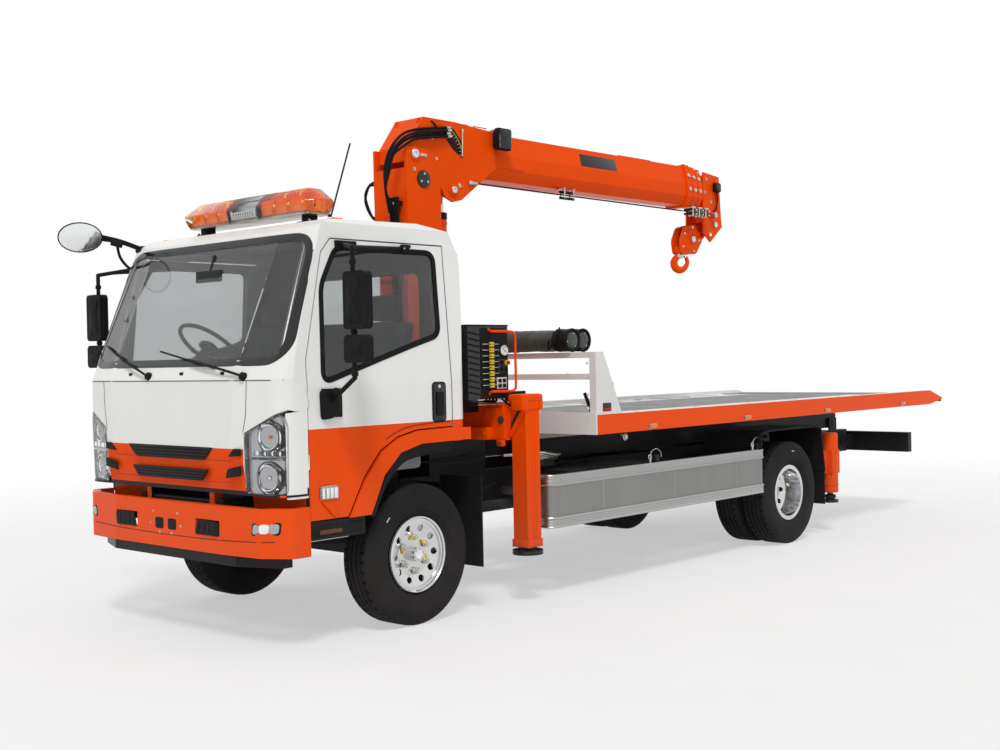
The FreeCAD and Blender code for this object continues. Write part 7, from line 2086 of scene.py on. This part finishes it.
class TRUCK_OT_rear_gear(bpy.types.Operator):
    """Finishes the tail: jacks, valve, mudguard ribs, flap bolts, lamps, the blank plate and the cross bar"""

    bl_idname = "truck.rear_gear"
    bl_label = "Rear gear"

    def execute(self, context):
        kit = Kit()
        feet = Kit()
        jack = spot(0.985, 5.0, 0)
        for sign in (1, -1):
            at = Vector((sign * jack.x, jack.y, 0))
            kit.turned(at + Vector((0, 0, 0.35)), (0, 0, 1), [(0, 0.046), (0, 0.07), (0.01, 0.072),
                (0.51, 0.072), (0.525, 0.062), (0.528, 0.0)], "orange", 36)
            for z in (0.42, 0.715):
                kit.bar(at + Vector((0, 0, z - 0.006)), at + Vector((0, 0, z + 0.006)), 0.0765, "orange", 36)
            kit.block((sign * 0.985, jack.y - 0.19, 0.52), (sign * 1.0, jack.y - 0.06, 0.722), "orange",
                0.006)
            kit.block((sign * 0.94, jack.y - 0.07, 0.515), (sign * 1.05, jack.y + 0.07, 0.727), "orange",
                0.014)
            for z in (0.697, 0.619, 0.541):
                kit.bolt((sign * 1.0, jack.y - 0.15, z), (sign, 0, 0), 0.009)
            kit.block((sign * 0.9, jack.y + 0.078, 0.735), (sign * 0.98, jack.y + 0.16, 0.83), "iron", 0.01)
            for number in range(3):
                z = 0.75 + number * 0.03
                kit.bar((sign * 0.94, jack.y + 0.158, z), (sign * 0.94, jack.y + 0.182, z), 0.008, "zinc", 10)
                kit.pipe([(sign * 0.94, jack.y + 0.182, z), (sign * 0.95, jack.y + 0.215, z - 0.02),
                    (sign * 0.96, jack.y + 0.195, z - 0.12), (sign * 0.97, jack.y + 0.11, z - 0.23),
                    (sign * 0.975, jack.y + 0.076, z - 0.26)], 0.008, "rubber", 10, 6)
            feet.turned(at + Vector((0, 0, 0.2615)), (0, 0, 1),
                [(0, 0), (0, 0.071), (0.004, 0.0725), (0.01, 0.071), (0.02, 0.058), (0.026, 0.04),
                (0.036, 0.038), (0.04, 0.05), (0.064, 0.048), (0.068, 0.036), (0.068, 0)], "rubber", 40)
            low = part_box("mudguards")[0].z
            kit.block(spot(sign * 0.58, 3.78, 0.915), spot(sign * 1.08, 3.82, 0.928), "plastic", 0.004)
            for x in (0.66, 0.8, 0.96):
                kit.bolt(spot(sign * x, 4.748, 0.6), (0, 1, 0), 0.009)
                kit.bolt(spot(sign * x, 4.738, 0.6), (0, -1, 0), 0.009)
            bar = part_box("rear_bar")
            rear = bar[1].y
            lamp = [(sign * x, z) for x, z in ((0.7, 0.64), (0.96, 0.64), (0.96, 0.75), (0.7, 0.75))]
            kit.plate(lamp, 0.014, "Y", rear - 0.002, rear + 0.02, "plastic", 0.006)
            for x0, x1, tint in ((0.706, 0.784, "red"), (0.79, 0.868, "amber"), (0.874, 0.954, "lens")):
                kit.plate([(sign * x0, 0.647), (sign * x1, 0.647), (sign * x1, 0.743), (sign * x0, 0.743)],
                    0.012, "Y", rear + 0.016, rear + 0.032, tint, 0.006)
            kit.turned((sign * 0.56, rear, 0.695), (0, 1, 0), [(0, 0.036), (0.006, 0.036), (0.01, 0.03),
                (0.012, 0)], "red", 30)
            for k in range(4):
                kit.bolt(spot(sign * 0.43, 5.65 + 0.21 * k, 0.72 - 0.01 * k), (sign, 0, 0), 0.01, "black")
            kit.bar(spot(sign * 0.47, 5.56, 0.772), spot(sign * 0.47, 5.9, 0.758), 0.042, "aluminium", 28)
        kit.plate([(-0.26, 0.63), (0.26, 0.63), (0.26, 0.75), (-0.26, 0.75)], 0.01, "Y", rear - 0.001,
            rear + 0.006, "white_plastic", 0.003)
        for x in (-0.2, 0.2):
            kit.bolt((x, rear + 0.006, 0.738), (0, 1, 0), 0.006)
        made("rear_fittings", kit, "chassis")
        made("rear_feet", feet, "rear_jacks")
        return {"FINISHED"}


class TRUCK_OT_bed_trim(bpy.types.Operator):
    """Trims the bed: dark deck, strips, slots, side markers, lamps, winch rope and hook"""

    bl_idname = "truck.bed_trim"
    bl_label = "Bed"

    def execute(self, context):
        kit = Kit()
        floor = surface_of("bed_floor")
        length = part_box("bed_floor")[1].y

        def deck(x, d):
            return touch(floor, (x, behind(d), 1.4), (0, 0, -1), 0.235)

        stations = [1.96 + (6.2 - 1.96) * k / 24 for k in range(25)]
        rows = [[deck(-0.6 + 1.2 * k / 8, d) + Vector((0, 0, 0.0022 if 0 < k < 8 else 0.0004)) for k
            in range(9)] for d in stations]
        kit.skin(rows, "tread")
        for x in (-0.97, -0.62, 0.62, 0.97):
            rows = []
            for d in stations:
                rows.append([deck(x - 0.022, d), deck(x - 0.018, d) + Vector((0, 0, 0.004)),
                    deck(x + 0.018, d) + Vector((0, 0, 0.004)), deck(x + 0.022, d)])
            kit.skin(rows, "bed")
        for d in (2.6, 3.4, 4.2, 5.0, 5.8):
            for sign in (1, -1):
                kit.block(deck(sign * 0.64, d - 0.004) + Vector((0, 0, -0.001)),
                    deck(sign * 0.95, d + 0.004) + Vector((0, 0, 0.003)), "bed_seam", 0.001)
                slot = deck(sign * 0.8, d + 0.4)
                kit.block(slot + Vector((-0.045, -0.018, -0.002)), slot + Vector((0.045, 0.018, 0.0025)),
                    "plastic", 0.002)
                kit.bar(slot + Vector((-0.036, 0, 0.004)), slot + Vector((0.036, 0, 0.004)), 0.005, "zinc",
                    10)
        for k in range(9):
            d = 6.3 + k * 0.085
            at = deck(0, d)
            if at.y < length - 0.04:
                kit.block((-0.95, at.y - 0.006, at.z - 0.002), (0.95, at.y + 0.006, at.z + 0.006),
                    "bed_seam", 0.002)
        for sign in (1, -1):
            for d in (2.153, 3.422, 4.711, 6.166):
                at = spot(sign * 1.125, d, 1.086)
                shape = [(at.y - 0.046, at.z - 0.017), (at.y + 0.046, at.z - 0.017),
                    (at.y + 0.046, at.z + 0.017), (at.y - 0.046, at.z + 0.017)]
                kit.plate(shape, 0.012, "X", at.x - sign * 0.001, at.x + sign * 0.006, "lamp_bed", 0.002)
                kit.plate([(at.y - 0.04, at.z - 0.012), (at.y - 0.02, at.z - 0.012),
                    (at.y - 0.02, at.z + 0.012), (at.y - 0.04, at.z + 0.012)], 0.008, "X",
                    at.x + sign * 0.004, at.x + sign * 0.012, "lens", 0.003)
                kit.plate([(at.y - 0.019, at.z - 0.013), (at.y + 0.042, at.z - 0.013),
                    (at.y + 0.042, at.z + 0.013), (at.y - 0.019, at.z + 0.013)], 0.01, "X",
                    at.x + sign * 0.004, at.x + sign * 0.015, "amber", 0.005)
            lamp = spot(sign * 1.07, 1.89, 1.052)
            kit.block(lamp + Vector((-0.012, -0.02, -0.004)), lamp + Vector((0.012, 0.02, 0.012)), "plastic",
                0.004)
            kit.turned(lamp + Vector((0, 0, -0.03)), (sign, 0, 0),
                [(-0.014, 0), (-0.014, 0.024), (0.01, 0.026), (0.014, 0.022), (0.016, 0)], "lamp_bed", 24)
            kit.turned(lamp + Vector((sign * 0.014, 0, -0.03)), (sign, 0, 0),
                [(0, 0.022), (0.005, 0.018), (0.006, 0)], "lens", 24)
            edge = sign * 1.12
            for d, z, tint in ((1.612, 1.575, "red"), (1.657, 1.488, "amber"), (1.705, 1.394, "red")):
                at = spot(sign * 1.093, d, z)
                kit.turned(at, (0, 0.9, 0.43), [(-0.014, 0), (-0.014, 0.026), (0.004, 0.026),
                    (0.006, 0.023)], "plastic", 26)
                kit.turned(at + Vector((0, 0.004, 0.002)), (0, 0.9, 0.43),
                    [(0, 0.023), (0.014, 0.021), (0.019, 0.012), (0.02, 0)], tint, 26)
            sign_plate = [(behind(d), z) for d, z in ((1.59, 1.214), (1.68, 1.214), (1.68, 1.27),
                (1.59, 1.27))]
            kit.plate(sign_plate, 0.004, "X", edge, edge + sign * 0.004, "gloss_black", 0.001)
            kit.plate([(behind(1.595), 1.22), (behind(1.675), 1.22), (behind(1.675), 1.234),
                (behind(1.595), 1.234)], 0.002, "X", edge + sign * 0.003, edge + sign * 0.006, "red_plastic",
                0.001)
            for z in (1.24, 1.33, 1.545):
                kit.bolt(spot(sign * 1.092, 1.466, z), (0, -1, 0), 0.008, "bed")
        for z in (1.472, 1.62):
            for x in (-0.9, -0.3, 0.3, 0.9):
                kit.bolt(spot(x, 1.49, z), (0, -1, 0), 0.006, "bed")
        kit.block(spot(1.0, 1.52, 1.165), spot(1.045, 1.56, 1.182), "zinc", 0.004)
        kit.pipe([spot(1.02, 1.6, 1.19), spot(1.018, 1.56, 1.27), spot(1.012, 1.53, 1.34)], 0.012, "rubber",
            12, 5)
        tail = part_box("bed_rails")[1].y
        for sign in (1, -1):
            kit.plate([(sign * x, z) for x, z in ((1.052, 1.075), (1.116, 1.075), (1.116, 1.12),
                (1.052, 1.12))], 0.006, "Y", tail - 0.012, tail - 0.0005, "red", 0.002)
        made("bed_trim", kit, "bed")

        kit = Kit()
        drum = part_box("winch")
        rope = context.scene.truck_sizes.rope
        middle = Vector((0, (drum[0].y + drum[1].y) / 2, 1.255))
        for layer, radius in enumerate((0.071, 0.081)):
            turns = 22 - layer
            coil = []
            for k in range(turns * 14 + 1):
                turn = math.tau * k / 14
                x = -0.15 + 0.3 * k / (turns * 14)
                coil.append(Vector((x * (1 if layer == 0 else -0.96), middle.y + radius * math.sin(turn),
                    middle.z + radius * math.cos(turn))))
            kit.pipe(coil, rope, "steel", 6, 1)
        for x in (-0.17, 0.17):
            kit.turned((x, middle.y, middle.z), (1, 0, 0), [(-0.006, 0.06), (-0.006, 0.088), (0.006, 0.088),
                (0.006, 0.06)], "iron", 40)
            for k in range(6):
                turn = math.tau * k / 6
                kit.bolt((x * 1.04, middle.y + 0.045 * math.cos(turn), middle.z + 0.045 * math.sin(turn)),
                    (x, 0, 0), 0.006)
        start = Vector((0.04, middle.y + 0.03, middle.z + 0.074))
        kit.pipe([start, spot(0.1, 1.8, 1.3), spot(0.22, 1.85, 1.215), spot(0.42, 1.8, 1.18),
            spot(0.62, 1.72, 1.176), spot(0.72, 1.68, 1.178)], rope, "steel", 10, 8)
        hook = spot(0.76, 1.665, 1.178)
        kit.bar(hook + Vector((-0.045, 0.016, 0)), hook + Vector((-0.004, 0.002, 0)), 0.012, "zinc", 16)
        for k in range(5):
            at = hook + Vector((0.012 + k * 0.026, -0.004 * k, 0.002 * (k % 2)))
            ring = [at + Vector((0.017 * math.cos(t), (0.01 if k % 2 else 0.003) * math.sin(t),
                (0.003 if k % 2 else 0.01) * math.sin(t))) for t in (math.tau * j / 14 for j in range(14))]
            kit.pipe(ring, 0.0038, "red_plastic", 8, 1, True)
        kit.pipe([hook + Vector(p) for p in ((0.14, -0.016, 0), (0.165, -0.02, 0.004), (0.2, -0.006, 0.006),
            (0.222, -0.03, 0.006), (0.206, -0.062, 0.005), (0.174, -0.058, 0.004))], 0.01, "red_plastic", 12,
            6)
        made("winch_rope", kit, "bed")
        return {"FINISHED"}


def stuffed(name, rings, ribs, finish, replaces, ties, cap, seed):
    """A long soft roll: rings along its middle line, then cloth that swells between its ties."""
    part = bmesh.new()
    rows = []
    for at, radius in rings:
        rows.append([part.verts.new((at.x, at.y + radius * math.cos(math.tau * k / ribs),
            at.z + radius * math.sin(math.tau * k / ribs))) for k in range(ribs)])
    for one, two in zip(rows, rows[1:]):
        for k in range(ribs):
            part.faces.new((one[k], one[(k + 1) % ribs], two[(k + 1) % ribs], two[k]))
    for row in (rows[0], rows[-1]):
        part.faces.new(row)
    kit = Kit()
    kit.add(part, finish)
    piece = made(name, kit, "bed", replaces, 60)
    middle = sum((at for at, radius in rings), Vector()) / len(rings)

    def wrinkle(point, rest):
        pull = noise.noise(Vector((point.x * 9 + seed, point.y * 16, point.z * 16)))
        pull += 0.5 * noise.noise(Vector((point.x * 26 + seed, point.y * 30, point.z * 30)))
        away = Vector((0, point.y - middle.y, point.z - middle.z)).normalized()
        return point + away * pull * rest

    remesh = piece.modifiers.new("even", "REMESH")
    remesh.mode = "VOXEL"
    remesh.voxel_size = 0.009
    flatten(piece)
    for vert in piece.data.vertices:
        vert.co = wrinkle(vert.co.copy(), 0.005)
    start = [vert.co.copy() for vert in piece.data.vertices]
    held = piece.vertex_groups.new(name="held")
    for vert in piece.data.vertices:
        if any(abs(vert.co.x - tie) < 0.012 for tie in ties):
            held.add([vert.index], 1.0, "REPLACE")
    cloth = piece.modifiers.new("cloth", "CLOTH")
    cloth.settings.vertex_group_mass = "held"
    cloth.settings.use_pressure = True
    cloth.settings.uniform_pressure_force = 4.0
    cloth.settings.effector_weights.gravity = 0.0
    cloth.settings.tension_stiffness = 8.0
    cloth.settings.compression_stiffness = 3.0
    cloth.settings.bending_stiffness = 0.3
    scene = bpy.context.scene
    for step in range(1, 21):
        scene.frame_set(step)
    flatten(piece)
    scene.frame_set(1)
    for vert, first in zip(piece.data.vertices, start):
        move = vert.co - first
        if move.length > cap:
            vert.co = first + move * (cap / move.length)
    piece.data.shade_smooth()
    smooth = piece.modifiers.new("smooth", "SUBSURF")
    smooth.levels = smooth.render_levels = 1
    return piece


def flatten(piece):
    """Turns a piece's modifiers into its mesh."""
    graph = bpy.context.evaluated_depsgraph_get()
    mesh = bpy.data.meshes.new_from_object(piece.evaluated_get(graph), depsgraph=graph)
    finish = piece.data.materials[0]
    piece.modifiers.clear()
    piece.data = mesh
    mesh.materials.clear()
    mesh.materials.append(finish)


class TRUCK_OT_canvas(bpy.types.Operator):
    """Rolls the covers and straps them to the headboard's shelf"""

    bl_idname = "truck.canvas"
    bl_label = "Canvas rolls"

    def execute(self, context):
        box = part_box("canvas_roll")
        low, high = box
        radius = 0.084
        front = low.y + radius
        rear = high.y - radius
        height = low.z + radius
        ties = (0.79, 0.25, -0.3)
        for number, (y, end, seed) in enumerate(((front, high.x - 0.012, 3.1), (rear, high.x - 0.03, 8.7))):
            rings = []
            for k in range(60):
                x = low.x + 0.012 + (end - low.x - 0.012) * k / 59
                tuck = min(1.0, 0.8 + 6.0 * min(x - low.x, end - x + 0.02))
                waist = sum(math.exp(-((x - tie) / 0.02) ** 2) for tie in ties)
                rings.append((Vector((x, y, height + 0.002 * math.sin(x * 11 + seed))),
                    0.074 * min(1.0, tuck) * (1 - 0.08 * waist)))
            roll = stuffed(f"canvas_roll_{number}", rings, 40, "canvas", ["canvas_roll"], ties,
                0.01, seed)
        kit = Kit()
        for y in (front, rear):
            for tie in ties:
                rows = []
                for k in range(41):
                    turn = math.tau * k / 40
                    across = Vector((0, math.cos(turn), math.sin(turn)))
                    at = Vector((tie, y, height))
                    rows.append([at + across * r + Vector((x, 0, 0)) for x,
                        r in ((-0.017, 0.0735), (-0.017, 0.0775), (0.017, 0.0775), (0.017, 0.0735),
                        (-0.017, 0.0735))])
                kit.skin(rows, "rubber")
                kit.block((tie - 0.022, y - 0.02, height + 0.074), (tie + 0.022, y + 0.02, height + 0.082),
                    "zinc", 0.003)
        for y, end in ((front, high.x), (rear, high.x - 0.018)):
            kit.turned((end - 0.12, y, height), (1, 0, 0), [(0, 0.076), (0.006, 0.08), (0.01, 0.078),
                (0.104, 0.079), (0.11, 0.083), (0.117, 0.081), (0.118, 0.074), (0.11, 0.07), (0.108, 0.03),
                (0.112, 0.012), (0.112, 0)], "plastic", 44)
            for k in range(3):
                turn = math.radians(70 + 120 * k)
                kit.bolt((end - 0.012, y + 0.05 * math.cos(turn), height + 0.05 * math.sin(turn)), (1, 0, 0),
                    0.006)
        loop = [Vector((0.8, front - 0.02, height + 0.088)), Vector((0.835, front - 0.07, height + 0.06)),
            Vector((0.82, front - 0.094, height)), Vector((0.78, front - 0.092, height - 0.04)),
            Vector((0.745, front - 0.08, height - 0.06)), Vector((0.76, front - 0.092, height))]
        kit.pipe(loop, 0.006, "rubber", 8, 6)
        made("roll_straps", kit, "bed")
        return {"FINISHED"}


class TRUCK_OT_aerial(bpy.types.Operator):
    """Fits the aerial's dark whip and foot"""

    bl_idname = "truck.aerial"
    bl_label = "Aerial"

    def execute(self, context):
        kit = Kit()
        foot = spot(0.85, -0.556, 2.375)
        kit.turned(foot, (0, 0, 1), [(0, 0.026), (0.012, 0.025), (0.03, 0.014), (0.048, 0.008),
            (0.055, 0.006), (0.055, 0)], "rubber", 24)
        kit.pipe([spot(0.85, -0.552, 2.4), spot(0.85, -0.47, 2.628), spot(0.85, -0.39, 2.85)], 0.0052,
            "dark_trim", 10, 2)
        made("aerial", kit, "cab")
        return {"FINISHED"}



# ---------------------------------------------------------------- the panel and the run

OPERATORS = (TRUCK_OT_paint, TRUCK_OT_stage, TRUCK_OT_tyres, TRUCK_OT_wheel_trim, TRUCK_OT_glazing,
    TRUCK_OT_headlamps, TRUCK_OT_grille, TRUCK_OT_bumper, TRUCK_OT_arches, TRUCK_OT_mirrors,
    TRUCK_OT_nose_mirror, TRUCK_OT_lightbar, TRUCK_OT_interior, TRUCK_OT_seats, TRUCK_OT_column,
    TRUCK_OT_boom, TRUCK_OT_hook, TRUCK_OT_legs, TRUCK_OT_controls, TRUCK_OT_guards, TRUCK_OT_rear_gear,
    TRUCK_OT_bed_trim, TRUCK_OT_canvas, TRUCK_OT_aerial,)


class TRUCK_PT_dresser(bpy.types.Panel):
    """Lists the sizes, the colours and the pieces"""

    bl_idname = "TRUCK_PT_dresser"
    bl_label = "Tow Truck"
    bl_space_type = "VIEW_3D"
    bl_region_type = "UI"
    bl_category = "Tow Truck"

    def draw(self, context):
        for settings in (context.scene.truck_colours, context.scene.truck_sizes):
            box = self.layout.box()
            for name in settings.__annotations__:
                box.prop(settings, name)
        for operator in OPERATORS:
            self.layout.operator(operator.bl_idname)


CLASSES = (TowTruckColours, TowTruckSizes, *OPERATORS, TRUCK_PT_dresser)


def register():
    """Adds the add-on's classes and settings."""
    for each in CLASSES:
        bpy.utils.register_class(each)
    bpy.types.Scene.truck_colours = PointerProperty(type=TowTruckColours)
    bpy.types.Scene.truck_sizes = PointerProperty(type=TowTruckSizes)


def unregister():
    """Takes the add-on's classes and settings away."""
    del bpy.types.Scene.truck_sizes
    del bpy.types.Scene.truck_colours
    for each in reversed(CLASSES):
        bpy.utils.unregister_class(each)


def main():
    """Registers the add-on and runs every operator to build everything."""
    register()
    for operator in OPERATORS:
        family, name = operator.bl_idname.split(".")
        getattr(getattr(bpy.ops, family), name)()


if __name__ == "__main__":
    main()
